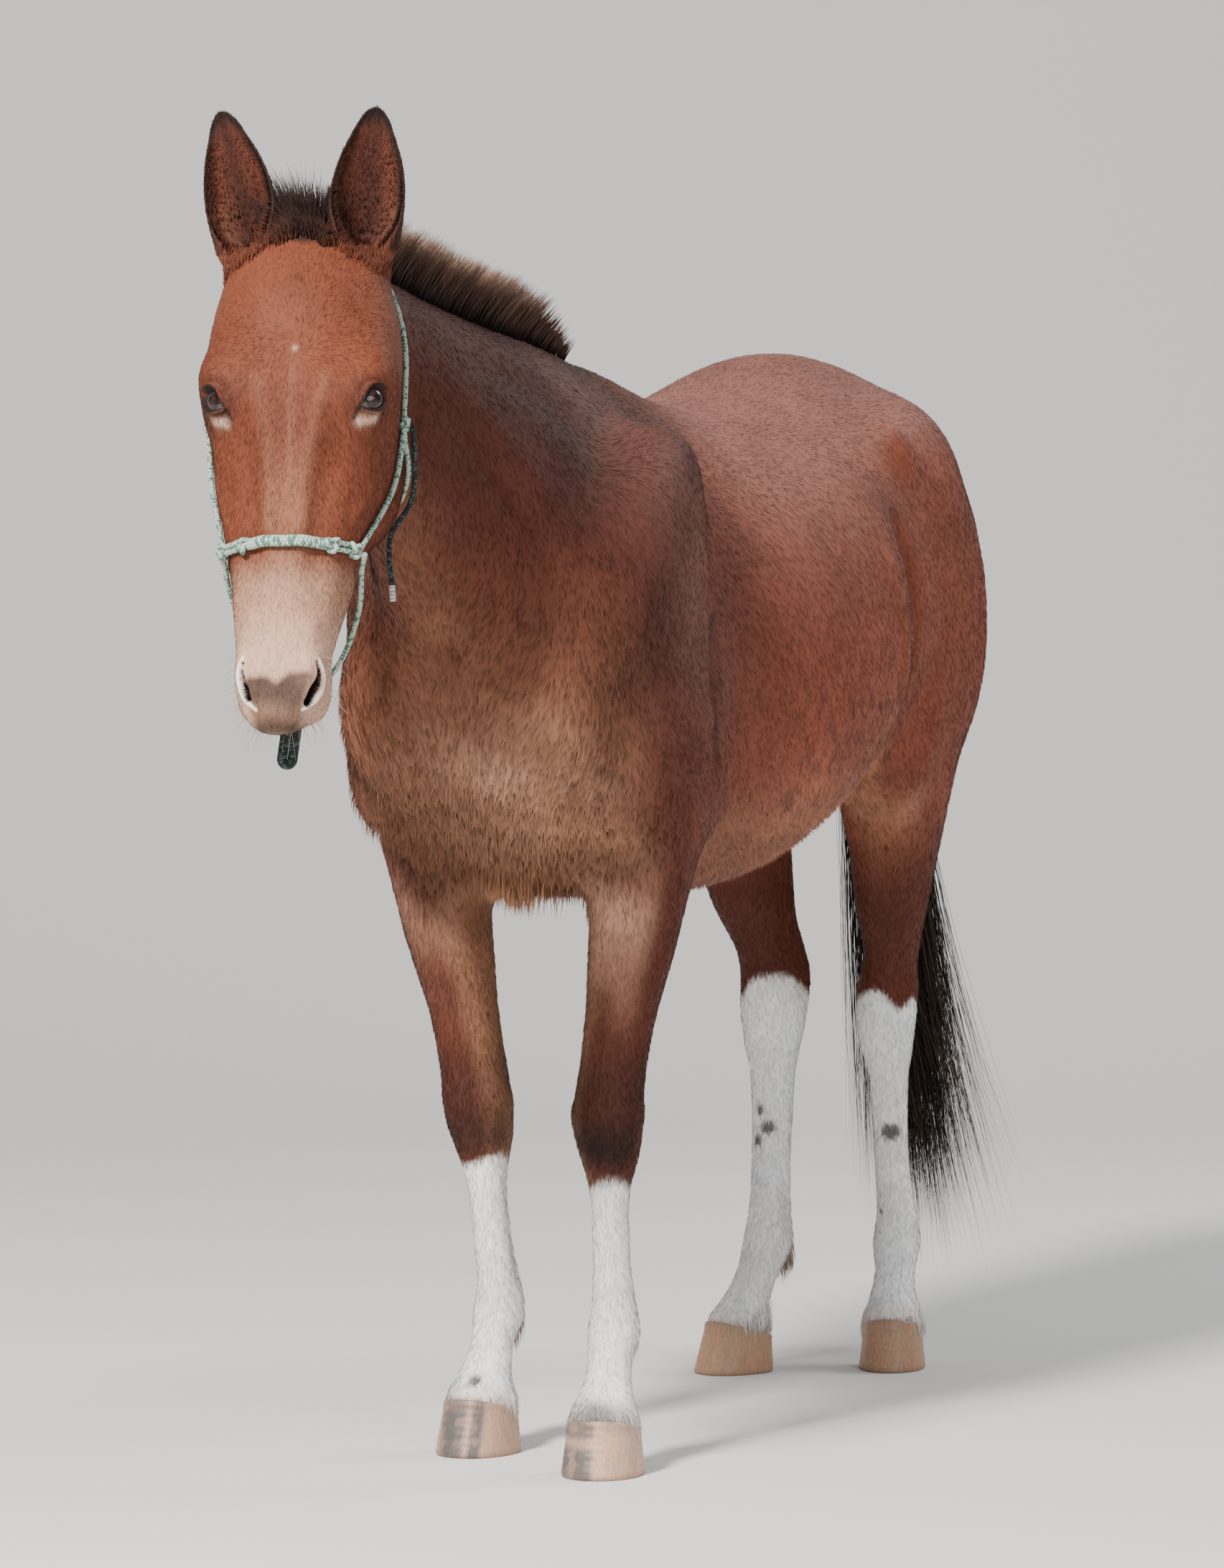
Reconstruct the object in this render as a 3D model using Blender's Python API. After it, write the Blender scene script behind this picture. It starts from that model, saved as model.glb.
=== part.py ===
"""A live mule at life size, standing at rest with its head turned a little to its left.

Metres. The mule faces -Y, its left side is +X, and the ground is z = 0. Places are measured from the
point on the ground under the middle of its chest. The last step shifts the whole animal so that the
middle of its outline lies over the origin.
"""

import math
import random

import bmesh
import bpy
import numpy as np
from mathutils import Matrix, Vector
from mathutils.bvhtree import BVHTree

WITHERS_HEIGHT = 1.525
CROUP_HEIGHT = 1.55
CHEST_FLOOR = 0.77
BARREL_HALF_WIDTH = 0.31
HIP_HALF_WIDTH = 0.265
KNEE_HEIGHT = 0.475
HOCK_HEIGHT = 0.565
FETLOCK_HEIGHT = 0.185
PASTERN_RUN = 0.058
HEAD_LENGTH = 0.64
EYE_RADIUS = 0.0235
EAR_LENGTH = 0.200
EAR_WIDTH = 0.100
MANE_HEIGHT = 0.088
TAIL_TIP_HEIGHT = 0.11
ROPE_RADIUS = 0.0036
CHIN_LOOP_BOTTOM = 0.984
CHIN_LOOP_HALF = 0.0068
CHIN_LOOP_RADIUS = 0.0048
GAP = 0.0003
VOXEL = 0.0085
TRUNK_TRIANGLES = 2000
LEG_TRIANGLES = 1760
HEAD_TRIANGLES = 1900

POLL = Vector((-0.058, -0.575, 1.637))
HEAD_TILT = math.radians(18)
HEAD_YAW = math.radians(15)
HEAD_ROLL = math.radians(-0.6)

BAY = (0.20, 0.062, 0.030)
DARK_BAY = (0.085, 0.030, 0.020)
WHITE_HAIR = (0.86, 0.84, 0.80)
BLACK_HAIR = (0.020, 0.014, 0.012)
HORN = (0.52, 0.36, 0.26)
EYE_BROWN = (0.018, 0.008, 0.006)
ROPE_GREEN = (0.42, 0.47, 0.41)
DARK_ROPE = (0.030, 0.045, 0.042)

# Each hoof's middle, how far its toe turns out in degrees, and the middle of the leg at the knee
# or hock. Each place is (outwards, back).
FEET = {
    "fore_left": {"side": 1, "hoof": (0.148, -0.065), "turn": 9, "joint": (0.126, 0.004)},
    "fore_right": {"side": -1, "hoof": (0.092, 0.070), "turn": 2, "joint": (0.119, 0.128)},
    "hind_left": {"side": 1, "hoof": (0.131, 1.150), "turn": 14, "joint": (0.094, 1.226)},
    "hind_right": {"side": -1, "hoof": (0.072, 1.022), "turn": 26, "joint": (0.072, 1.170)},
}
ELBOW_OUT = {"fore_left": 0.164, "fore_right": 0.182}
HOOF_TOE_TOP = 0.080
HOOF_HEEL_TOP = 0.052
HOOF_HALF_WIDTH = {"fore": 0.051, "hind": 0.046}
HOOF_FORWARD = {"fore": 0.058, "hind": 0.055}
HOOF_BACK = {"fore": 0.050, "hind": 0.050}


def material(name, colour, roughness=0.7, metallic=0.0):
    made = bpy.data.materials.new(name)
    made.use_nodes = True
    shader = made.node_tree.nodes["Principled BSDF"]
    shader.inputs["Base Color"].default_value = (*colour, 1.0)
    shader.inputs["Roughness"].default_value = roughness
    shader.inputs["Metallic"].default_value = metallic
    made.diffuse_color = (*colour, 1.0)
    return made


def smooth_rows(rows, steps):
    """Rows of sizes joined by a smooth curve through each, with so many steps to a span."""
    rows = np.array(rows, float)
    ends = np.vstack([2 * rows[0] - rows[1], rows, 2 * rows[-1] - rows[-2]])
    found = []
    for i in range(len(rows) - 1):
        a, b, c, d = ends[i : i + 4]
        for t in np.arange(steps) / steps:
            bend = (2 * a - 5 * b + 4 * c - d) * t**2 + (3 * b - a - 3 * c + d) * t**3
            found.append(0.5 * (2 * b + (c - a) * t + bend))
    found.append(rows[-1])
    return found


def ring(centre, right, up, half_width, rise, drop, power_up=2.0, power_down=2.0, count=28):
    """A closed outline, from an oval to a rounded box, with its own size above and below its centre."""
    points = []
    for k in range(count):
        angle = 2 * math.pi * k / count
        c, s = math.cos(angle), math.sin(angle)
        power = power_up if s >= 0 else power_down
        across = math.copysign(abs(c) ** (2 / power), c) * half_width
        along = math.copysign(abs(s) ** (2 / power), s) * (rise if s >= 0 else drop)
        points.append(Vector(centre) + right * across + up * along)
    return points


def mesh_object(name, points, faces, paint=None):
    mesh = bpy.data.meshes.new(name)
    mesh.from_pydata([tuple(p) for p in points], [], faces)
    made = bpy.data.objects.new(name, mesh)
    bpy.context.collection.objects.link(made)
    if paint:
        mesh.materials.append(paint)
    return made


def face_outwards(obj):
    shape = bmesh.new()
    shape.from_mesh(obj.data)
    bmesh.ops.recalc_face_normals(shape, faces=shape.faces)
    shape.to_mesh(obj.data)
    shape.free()
    return obj


def skin_rings(name, rings, paint=None):
    """Rings of equal count skinned one to the next, with both ends capped."""
    count = len(rings[0])
    points = [p for r in rings for p in r]
    faces = []
    for i in range(len(rings) - 1):
        a, b = i * count, (i + 1) * count
        for k in range(count):
            n = (k + 1) % count
            faces.append((a + k, a + n, b + n, b + k))
    faces.append(tuple(range(count))[::-1])
    faces.append(tuple((len(rings) - 1) * count + k for k in range(count)))
    return face_outwards(mesh_object(name, points, faces, paint))


def ball(name, centre, sizes, turn=(0, 0, 0), frame=None, fineness=3):
    """An egg-shaped muscle or bulge with three half sizes, turned by degrees about X, Y and Z."""
    shape = bmesh.new()
    bmesh.ops.create_icosphere(shape, subdivisions=fineness, radius=1.0)
    mesh = bpy.data.meshes.new(name)
    shape.to_mesh(mesh)
    shape.free()
    turned = Matrix.Rotation(math.radians(turn[2]), 4, "Z")
    turned = turned @ Matrix.Rotation(math.radians(turn[1]), 4, "Y")
    turned = turned @ Matrix.Rotation(math.radians(turn[0]), 4, "X")
    place = Matrix.Translation(Vector(centre)) @ turned @ Matrix.Diagonal((*sizes, 1.0))
    mesh.transform((frame or Matrix.Identity(4)) @ place)
    made = bpy.data.objects.new(name, mesh)
    bpy.context.collection.objects.link(made)
    return made


def tube(name, rows, count=12, paint=None, flat=1.0, across=(1, 0, 0)):
    """A round piece along x, y, z, radius. Flat scales it at right angles to the across direction."""
    rings = []
    for i, row in enumerate(rows):
        before, after = rows[max(i - 1, 0)], rows[min(i + 1, len(rows) - 1)]
        along = (Vector(after[:3]) - Vector(before[:3])).normalized()
        right = Vector(across) - along * along.dot(Vector(across))
        if right.length < 0.2:
            right = Vector((0, 1, 0)) - along * along.y
        right.normalize()
        up = along.cross(right)
        rings.append(ring(row[:3], right, up, row[3], row[3] * flat, row[3] * flat, count=count))
    return skin_rings(name, rings, paint)


def remove(*objects):
    for obj in objects:
        bpy.data.objects.remove(obj, do_unlink=True)


def apply_modifiers(obj):
    """Gives the object the mesh that its modifiers make, and takes the modifiers off."""
    graph = bpy.context.evaluated_depsgraph_get()
    mesh = bpy.data.meshes.new_from_object(obj.evaluated_get(graph))
    obj.modifiers.clear()
    obj.data = mesh
    return obj


def fuse_by_voxels(name, pieces, voxel):
    """Overlapping closed pieces made into one skin."""
    joined = bmesh.new()
    for piece in pieces:
        joined.from_mesh(piece.data)
    mesh = bpy.data.meshes.new(name)
    joined.to_mesh(mesh)
    joined.free()
    remove(*pieces)
    made = bpy.data.objects.new(name, mesh)
    bpy.context.collection.objects.link(made)
    remesh = made.modifiers.new("Fuse", "REMESH")
    remesh.mode = "VOXEL"
    remesh.voxel_size = voxel
    return apply_modifiers(made)


def boolean(obj, others, operation, solver="EXACT"):
    """One Boolean of the object with a collection of closed meshes, applied; the others go."""
    group = bpy.data.collections.new("Operands")
    bpy.context.scene.collection.children.link(group)
    for other in others:
        for owner in list(other.users_collection):
            owner.objects.unlink(other)
        group.objects.link(other)
    cut = obj.modifiers.new("Boolean", "BOOLEAN")
    cut.operation = operation
    cut.operand_type = "COLLECTION"
    cut.collection = group
    cut.solver = solver
    apply_modifiers(obj)
    remove(*others)
    bpy.data.collections.remove(group)
    return obj


def islands(obj):
    """The separate closed surfaces of a mesh, as lists of face indices, largest first."""
    shape = bmesh.new()
    shape.from_mesh(obj.data)
    shape.faces.ensure_lookup_table()
    left, found = set(range(len(shape.faces))), []
    while left:
        stack, group = [left.pop()], []
        while stack:
            here = stack.pop()
            group.append(here)
            for edge in shape.faces[here].edges:
                for other in edge.link_faces:
                    if other.index in left:
                        left.remove(other.index)
                        stack.append(other.index)
        found.append(group)
    shape.free()
    return sorted(found, key=len, reverse=True)


def keep_faces(obj, name, keep, paint=None):
    """A new object with only these faces of another."""
    shape = bmesh.new()
    shape.from_mesh(obj.data)
    keep = set(keep)
    gone = [f for f in shape.faces if f.index not in keep]
    bmesh.ops.delete(shape, geom=gone, context="FACES")
    mesh = bpy.data.meshes.new(name)
    shape.to_mesh(mesh)
    shape.free()
    made = bpy.data.objects.new(name, mesh)
    bpy.context.collection.objects.link(made)
    mesh.materials.clear()
    if paint:
        mesh.materials.append(paint)
    return made


def keep_largest(obj):
    """Only the largest closed surface stays."""
    groups = islands(obj)
    if len(groups) > 1:
        largest = keep_faces(obj, obj.name, groups[0])
        for slot in obj.data.materials:
            largest.data.materials.append(slot)
        obj.data = largest.data
        remove(largest)
    return obj


def swollen_copy(obj, clearance):
    """A copy whose skin stands off the original, to cut a neighbour clear of it."""
    mesh = obj.data.copy()
    normals = [v.normal.copy() for v in mesh.vertices]
    for vertex, normal in zip(mesh.vertices, normals):
        vertex.co += normal * clearance
    made = bpy.data.objects.new(obj.name + "_swollen", mesh)
    bpy.context.collection.objects.link(made)
    return made


def cut_clear(obj, *neighbours, clearance=GAP * 2):
    """Takes from the object whatever would touch its neighbours, and keeps its main body."""
    for neighbour in neighbours:
        boolean(obj, [swollen_copy(neighbour, clearance)], "DIFFERENCE")
    return keep_largest(obj)


def box_between(name, low, high, frame=None):
    shape = bmesh.new()
    bmesh.ops.create_cube(shape, size=1.0)
    mesh = bpy.data.meshes.new(name)
    shape.to_mesh(mesh)
    shape.free()
    low, high = Vector(low), Vector(high)
    place = Matrix.Translation((low + high) / 2) @ Matrix.Diagonal((*(high - low), 1.0))
    mesh.transform((frame or Matrix.Identity(4)) @ place)
    made = bpy.data.objects.new(name, mesh)
    bpy.context.collection.objects.link(made)
    return made


def plane_frame(point, normal, lateral=(1, 0, 0)):
    """A frame with its Z along the normal and its X near the lateral direction."""
    z = Vector(normal).normalized()
    y = z.cross(Vector(lateral)).normalized()
    x = y.cross(z)
    turn = Matrix((x, y, z)).transposed().to_4x4()
    return Matrix.Translation(Vector(point)) @ turn


def torso_piece():
    """Chest, barrel and hindquarters, as upright slices from the breast to the buttocks."""
    floor, barrel, hip = CHEST_FLOOR, BARREL_HALF_WIDTH, HIP_HALF_WIDTH
    # y, height of the widest place, half width, top, bottom, top roundness, bottom roundness
    slices = [
        (-0.240, 1.10, 0.060, 1.22, 1.00, 2.0, 2.0),
        (-0.220, 1.10, 0.130, 1.30, 0.93, 2.0, 2.0),
        (-0.155, 1.09, 0.195, 1.40, 0.86, 2.0, 2.1),
        (-0.050, 1.08, 0.230, WITHERS_HEIGHT - 0.07, floor + 0.04, 1.9, 2.2),
        (0.080, 1.08, 0.242, WITHERS_HEIGHT - 0.012, floor + 0.005, 1.65, 2.2),
        (0.180, 1.09, 0.260, WITHERS_HEIGHT - 0.003, floor, 1.6, 2.2),
        (0.300, 1.09, barrel * 0.93, WITHERS_HEIGHT - 0.040, floor - 0.005, 1.8, 2.15),
        (0.450, 1.08, barrel * 0.995, WITHERS_HEIGHT - 0.060, floor - 0.012, 2.0, 2.1),
        (0.600, 1.09, barrel, WITHERS_HEIGHT - 0.050, floor, 2.1, 2.1),
        (0.750, 1.12, barrel * 0.965, CROUP_HEIGHT - 0.045, floor + 0.045, 2.1, 2.1),
        (0.880, 1.16, barrel * 0.90, CROUP_HEIGHT - 0.008, floor + 0.105, 2.0, 2.1),
        (1.000, 1.20, hip, CROUP_HEIGHT, floor + 0.15, 2.0, 2.2),
        (1.140, 1.20, hip * 1.01, CROUP_HEIGHT - 0.026, floor + 0.17, 2.0, 2.3),
        (1.260, 1.18, hip * 0.94, CROUP_HEIGHT - 0.095, floor + 0.20, 2.1, 2.2),
        (1.345, 1.15, hip * 0.74, CROUP_HEIGHT - 0.205, floor + 0.25, 2.1, 2.0),
        (1.388, 1.14, hip * 0.42, CROUP_HEIGHT - 0.330, floor + 0.30, 2.0, 2.0),
    ]
    rings = []
    for y, widest, half, top, bottom, round_up, round_down in smooth_rows(slices, 3):
        sizes = (half, top - widest, widest - bottom, round_up, round_down)
        rings.append(ring((0, y, widest), Vector((1, 0, 0)), Vector((0, 0, 1)), *sizes))
    return skin_rings("torso_core", rings)


# The crest line's x, y and height over the withers, then the under line's x, y and z,
# the half width, and the roundness above and below
NECK = [
    (0.000, 0.34, -0.100, 0.000, 0.05, 0.90, 0.18, 1.8, 2.0),
    (0.000, 0.16, -0.012, 0.000, -0.155, 0.96, 0.185, 1.7, 2.0),
    (-0.003, -0.02, 0.022, -0.004, -0.250, 1.06, 0.150, 1.8, 2.0),
    (-0.010, -0.18, 0.045, -0.012, -0.300, 1.15, 0.118, 1.9, 2.0),
    (-0.024, -0.33, 0.076, -0.026, -0.355, 1.23, 0.096, 1.9, 2.0),
    (-0.042, -0.455, 0.108, -0.042, -0.405, 1.30, 0.083, 1.9, 2.0),
    (-0.054, -0.545, 0.124, -0.053, -0.455, 1.365, 0.078, 1.9, 2.0),
    (-0.058, -0.610, 0.100, -0.057, -0.560, 1.400, 0.066, 2.0, 2.0),
]


def crest_and_under(row):
    return Vector((row[0], row[1], WITHERS_HEIGHT + row[2])), Vector(row[3:6])


def neck_piece():
    """The neck as slices between its crest line and its under line."""
    rows = smooth_rows(NECK, 4)
    rings = []
    for i, row in enumerate(rows):
        crest, under = crest_and_under(row)
        before = sum(crest_and_under(rows[max(i - 1, 0)]), Vector())
        after = sum(crest_and_under(rows[min(i + 1, len(rows) - 1)]), Vector())
        up = (crest - under).normalized()
        right = (after - before).cross(up).normalized()
        half = (crest - under).length / 2
        rings.append(ring((crest + under) / 2, right, up, row[6], half, half, row[7], row[8]))
    return skin_rings("neck_core", rings)


def fetlock_place(name):
    """The fetlock's middle, up and back from the hoof along the line of its toe."""
    foot = FEET[name]
    angle = math.radians(foot["turn"])
    x, y = foot["hoof"]
    return x - PASTERN_RUN * math.sin(angle), y + PASTERN_RUN * math.cos(angle)


def limb_piece(name, rows):
    """A leg as level slices: height, x, y, half width, forward, back, roundness, share of the turn."""
    foot = FEET[name]
    side = foot["side"]
    rings = []
    for z, x, y, half, forward, back, power, share in smooth_rows(rows, 3):
        angle = math.radians(foot["turn"] * share) * side
        right = Vector((math.cos(angle), math.sin(angle), 0))
        front = Vector((math.sin(angle), -math.cos(angle), 0))
        rings.append(ring((x * side, y, z), right, front, half, forward, back, power, power, 20))
    return skin_rings("limb_" + name, rings)


def fore_limb(name):
    """From inside the shoulder down to the coronet."""
    foot = FEET[name]
    hoof_x, hoof_y = foot["hoof"]
    knee_x, knee_y = foot["joint"]
    fet_x, fet_y = fetlock_place(name)
    knee, fetlock = KNEE_HEIGHT, FETLOCK_HEIGHT
    elbow_x, elbow_y = ELBOW_OUT[name], 0.5 * knee_y + 0.050

    def between(share):
        return knee_x + (elbow_x - knee_x) * share, knee_y + (elbow_y - knee_y) * share

    def pastern(share):
        return fet_x + (hoof_x - fet_x) * share, fet_y + (hoof_y - fet_y) * share

    upper = knee_x * 0.65 + fet_x * 0.35, knee_y * 0.7 + fet_y * 0.3
    rows = [
        (1.130, 0.150, elbow_y - 0.02, 0.085, 0.150, 0.150, 2.0, 0),
        (1.000, elbow_x - 0.008, elbow_y - 0.01, 0.092, 0.140, 0.150, 2.0, 0),
        (0.900, elbow_x, elbow_y, 0.084, 0.112, 0.125, 2.1, 0),
        (0.820, *between(0.92), 0.074, 0.094, 0.098, 2.1, 0),
        (0.720, *between(0.66), 0.062, 0.077, 0.077, 2.1, 0.2),
        (0.610, *between(0.32), 0.048, 0.056, 0.055, 2.1, 0.5),
        (knee + 0.050, *between(0.08), 0.047, 0.049, 0.045, 2.4, 0.9),
        (knee, knee_x, knee_y - 0.002, 0.050, 0.047, 0.047, 2.6, 1),
        (knee - 0.045, knee_x * 0.85 + fet_x * 0.15, knee_y + 0.002, 0.043, 0.040, 0.046, 2.4, 1),
        (knee - 0.100, *upper, 0.028, 0.029, 0.042, 2.1, 1),
        (0.290, knee_x * 0.3 + fet_x * 0.7, knee_y * 0.35 + fet_y * 0.65, 0.027, 0.027, 0.040, 2.0, 1),
        (fetlock + 0.040, fet_x, fet_y + 0.003, 0.031, 0.031, 0.046, 2.0, 1),
        (fetlock, fet_x, fet_y, 0.039, 0.036, 0.048, 2.1, 1),
        (fetlock - 0.035, *pastern(0.3), 0.031, 0.033, 0.037, 2.1, 1),
        (0.115, *pastern(0.65), 0.036, 0.036, 0.038, 2.1, 1),
        (0.088, hoof_x, hoof_y + 0.003, 0.046, 0.048, 0.046, 2.1, 1),
        (0.060, hoof_x, hoof_y, 0.050, 0.055, 0.050, 2.1, 1),
        (0.030, hoof_x, hoof_y, 0.049, 0.055, 0.049, 2.1, 1),
    ]
    return limb_piece(name, rows)


def hind_limb(name):
    """From inside the haunch down to the coronet, with the point of the hock behind."""
    foot = FEET[name]
    hoof_x, hoof_y = foot["hoof"]
    hock_x, hock_y = foot["joint"]
    fet_x, fet_y = fetlock_place(name)
    hock, fetlock = HOCK_HEIGHT, FETLOCK_HEIGHT

    def cannon(share):
        return hock_x + (fet_x - hock_x) * share, hock_y + (fet_y - hock_y) * share

    def pastern(share):
        return fet_x + (hoof_x - fet_x) * share, fet_y + (hoof_y - fet_y) * share

    mid_x, mid_y = cannon(0.5)
    rows = [
        (1.300, 0.130, 1.100, 0.115, 0.185, 0.200, 2.0, 0),
        (1.150, 0.145, 1.100, 0.115, 0.190, 0.220, 2.0, 0),
        (1.000, 0.145, 1.090, 0.105, 0.170, 0.200, 2.1, 0),
        (0.900, 0.4 * hock_x + 0.100, 0.5 * hock_y + 0.515, 0.089, 0.142, 0.155, 2.1, 0.1),
        (0.800, 0.6 * hock_x + 0.068, 0.7 * hock_y + 0.315, 0.072, 0.106, 0.112, 2.1, 0.3),
        (0.700, 0.8 * hock_x + 0.036, hock_y - 0.030, 0.056, 0.074, 0.084, 2.1, 0.5),
        (hock + 0.075, hock_x + 0.010, hock_y - 0.008, 0.043, 0.054, 0.082, 2.0, 0.7),
        (hock + 0.030, hock_x + 0.002, hock_y, 0.044, 0.053, 0.080, 2.1, 0.8),
        (hock - 0.020, hock_x, hock_y - 0.002, 0.047, 0.050, 0.060, 2.4, 0.9),
        (hock - 0.075, hock_x, hock_y - 0.004, 0.043, 0.043, 0.048, 2.3, 1),
        (hock - 0.130, *cannon(0.25), 0.031, 0.034, 0.042, 2.1, 1),
        (0.320, mid_x, mid_y + 0.002, 0.028, 0.031, 0.041, 2.0, 1),
        (fetlock + 0.040, fet_x, fet_y + 0.003, 0.032, 0.033, 0.047, 2.0, 1),
        (fetlock, fet_x, fet_y, 0.039, 0.037, 0.049, 2.1, 1),
        (fetlock - 0.035, *pastern(0.3), 0.032, 0.034, 0.039, 2.1, 1),
        (0.115, *pastern(0.65), 0.036, 0.036, 0.038, 2.1, 1),
        (0.088, hoof_x, hoof_y + 0.003, 0.043, 0.046, 0.045, 2.1, 1),
        (0.060, hoof_x, hoof_y, 0.046, 0.052, 0.049, 2.1, 1),
        (0.030, hoof_x, hoof_y, 0.045, 0.052, 0.048, 2.1, 1),
    ]
    return limb_piece(name, rows)


def head_frame():
    """The head's own frame: X to its left, Y backwards and -Z from the poll down to the lips."""
    turn = Matrix.Rotation(HEAD_YAW, 4, "Z") @ Matrix.Rotation(HEAD_ROLL, 4, "Y")
    scale = Matrix.Scale(HEAD_LENGTH / 0.64, 4)
    return Matrix.Translation(POLL) @ turn @ Matrix.Rotation(-HEAD_TILT, 4, "X") @ scale


EYE_PLACE = (0.0905, -0.047, -0.212)
EYE_OUT = (0.86, -0.50, 0.02)


def head_pieces():
    """The skull's long box with its cheeks, brows, nostrils, lips and chin."""
    frame = head_frame()
    # down from the poll, forward face, back face, half width, roundness in front, behind
    slices = [
        (-0.024, 0.030, -0.060, 0.045, 2.0, 2.0),
        (-0.008, 0.050, -0.090, 0.082, 2.0, 2.0),
        (0.030, 0.070, -0.130, 0.106, 2.1, 2.0),
        (0.090, 0.084, -0.170, 0.122, 2.2, 2.0),
        (0.150, 0.091, -0.192, 0.124, 2.4, 2.0),
        (0.205, 0.091, -0.198, 0.119, 2.2, 2.1),
        (0.270, 0.084, -0.190, 0.112, 1.9, 2.1),
        (0.340, 0.076, -0.160, 0.102, 1.8, 2.1),
        (0.410, 0.068, -0.118, 0.089, 1.8, 2.0),
        (0.480, 0.062, -0.088, 0.073, 1.9, 2.0),
        (0.540, 0.056, -0.074, 0.062, 2.1, 2.0),
        (0.585, 0.046, -0.064, 0.056, 2.3, 2.1),
        (0.612, 0.030, -0.050, 0.043, 2.2, 2.1),
    ]
    right = frame.to_3x3() @ Vector((1, 0, 0))
    front = frame.to_3x3() @ Vector((0, -1, 0))
    rings = []
    for down, fore, back, half, round_fore, round_back in smooth_rows(slices, 3):
        # the widest place lies a little nearer the face than the jaw
        middle = (fore + back) / 2 + 0.10 * (fore - back)
        centre = frame @ Vector((0, -middle, -down))
        sizes = (half, fore - middle, middle - back, round_fore, round_back)
        rings.append(ring(centre, right, front, *sizes))
    pieces = [skin_rings("head_core", rings)]
    eye_x, eye_y, eye_z = EYE_PLACE
    for side in (-1, 1):
        pieces += [
            ball("brow", (0.084 * side, -0.022, -0.172), (0.046, 0.054, 0.050), frame=frame),
            ball("orbit", (eye_x * side, eye_y, eye_z), (0.0290, 0.0300, 0.0310), frame=frame),
            ball("arch", (0.100 * side, 0.014, -0.205), (0.026, 0.074, 0.044), (-6, 0, 0), frame),
            ball("cheek", (0.082 * side, 0.078, -0.240), (0.038, 0.108, 0.132), frame=frame),
            ball("ridge", (0.084 * side, -0.008, -0.300), (0.021, 0.024, 0.100), (4, 8 * side, 0), frame),
            ball("wing", (0.041 * side, -0.028, -0.584), (0.020, 0.030, 0.046), (10, 9 * side, 0), frame),
            ball("lip_side", (0.040 * side, 0.018, -0.578), (0.026, 0.040, 0.048), frame=frame),
            ball("ear_root", (0.068 * side, 0.014, -0.006), (0.040, 0.044, 0.040), frame=frame),
        ]
    pieces += [
        ball("upper_lip", (0, -0.020, -0.618), (0.048, 0.032, 0.036), (-14, 0, 0), frame),
        ball("chin", (0, 0.040, -0.602), (0.036, 0.028, 0.032), frame=frame),
        ball("forehead", (0, -0.058, -0.120), (0.085, 0.036, 0.095), frame=frame),
    ]
    return pieces


def muscle_pieces():
    """The broad muscles that swell under the skin, each side alike."""
    pieces = []
    for side in (-1, 1):
        pieces += [
            ball("shoulder", (0.155 * side, 0.010, 1.190), (0.082, 0.150, 0.270), (-22, 8 * side, 0)),
            ball("upper_arm", (0.164 * side, 0.010, 0.985), (0.086, 0.165, 0.135), (25, 0, 0)),
            ball("breast", (0.100 * side, -0.160, 1.050), (0.104, 0.092, 0.150), (0, 0, 0)),
            ball("elbow", (0.182 * side, 0.135, 0.930), (0.058, 0.080, 0.110), (20, 0, 0)),
            ball("haunch", (0.150 * side, 1.040, 1.290), (0.120, 0.220, 0.200), (20, 0, 0)),
            ball("thigh", (0.158 * side, 1.190, 1.130), (0.102, 0.166, 0.245), (0, 0, 0)),
            ball("stifle", (0.165 * side, 0.990, 0.960), (0.078, 0.100, 0.130), (0, 0, 0)),
            ball("hip_point", (0.205 * side, 0.880, 1.400), (0.050, 0.080, 0.045), (0, 12 * side, 0)),
        ]
    return pieces


# Down the middle of the dock: x, y, z, radius
DOCK = [
    (0.000, 1.270, 1.390, 0.046),
    (0.002, 1.340, 1.385, 0.042),
    (0.006, 1.388, 1.355, 0.038),
    (0.012, 1.422, 1.280, 0.033),
    (0.020, 1.436, 1.180, 0.028),
    (0.030, 1.440, 1.080, 0.022),
]


def weigh(obj, name, weight_at):
    group = obj.vertex_groups.new(name=name)
    for vertex in obj.data.vertices:
        group.add([vertex.index], max(0.0, min(1.0, weight_at(vertex.co))), "REPLACE")
    return group


def triangle_count(mesh, inside=None):
    found = 0
    for face in mesh.polygons:
        if inside is None or inside(face.center):
            found += len(face.vertices) - 2
    return found


def thin_out(obj, inside, target):
    """Fewer triangles in one region of the skin, with the rest left as it is."""
    weigh(obj, "region", lambda co: 1.0 if inside(co) else 0.0)
    whole, here = triangle_count(obj.data), triangle_count(obj.data, inside)
    thin = obj.modifiers.new("Thin", "DECIMATE")
    thin.ratio = (whole - here + target) / whole
    thin.vertex_group = "region"
    thin.use_collapse_triangulate = True
    apply_modifiers(obj)
    obj.vertex_groups.clear()


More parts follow.
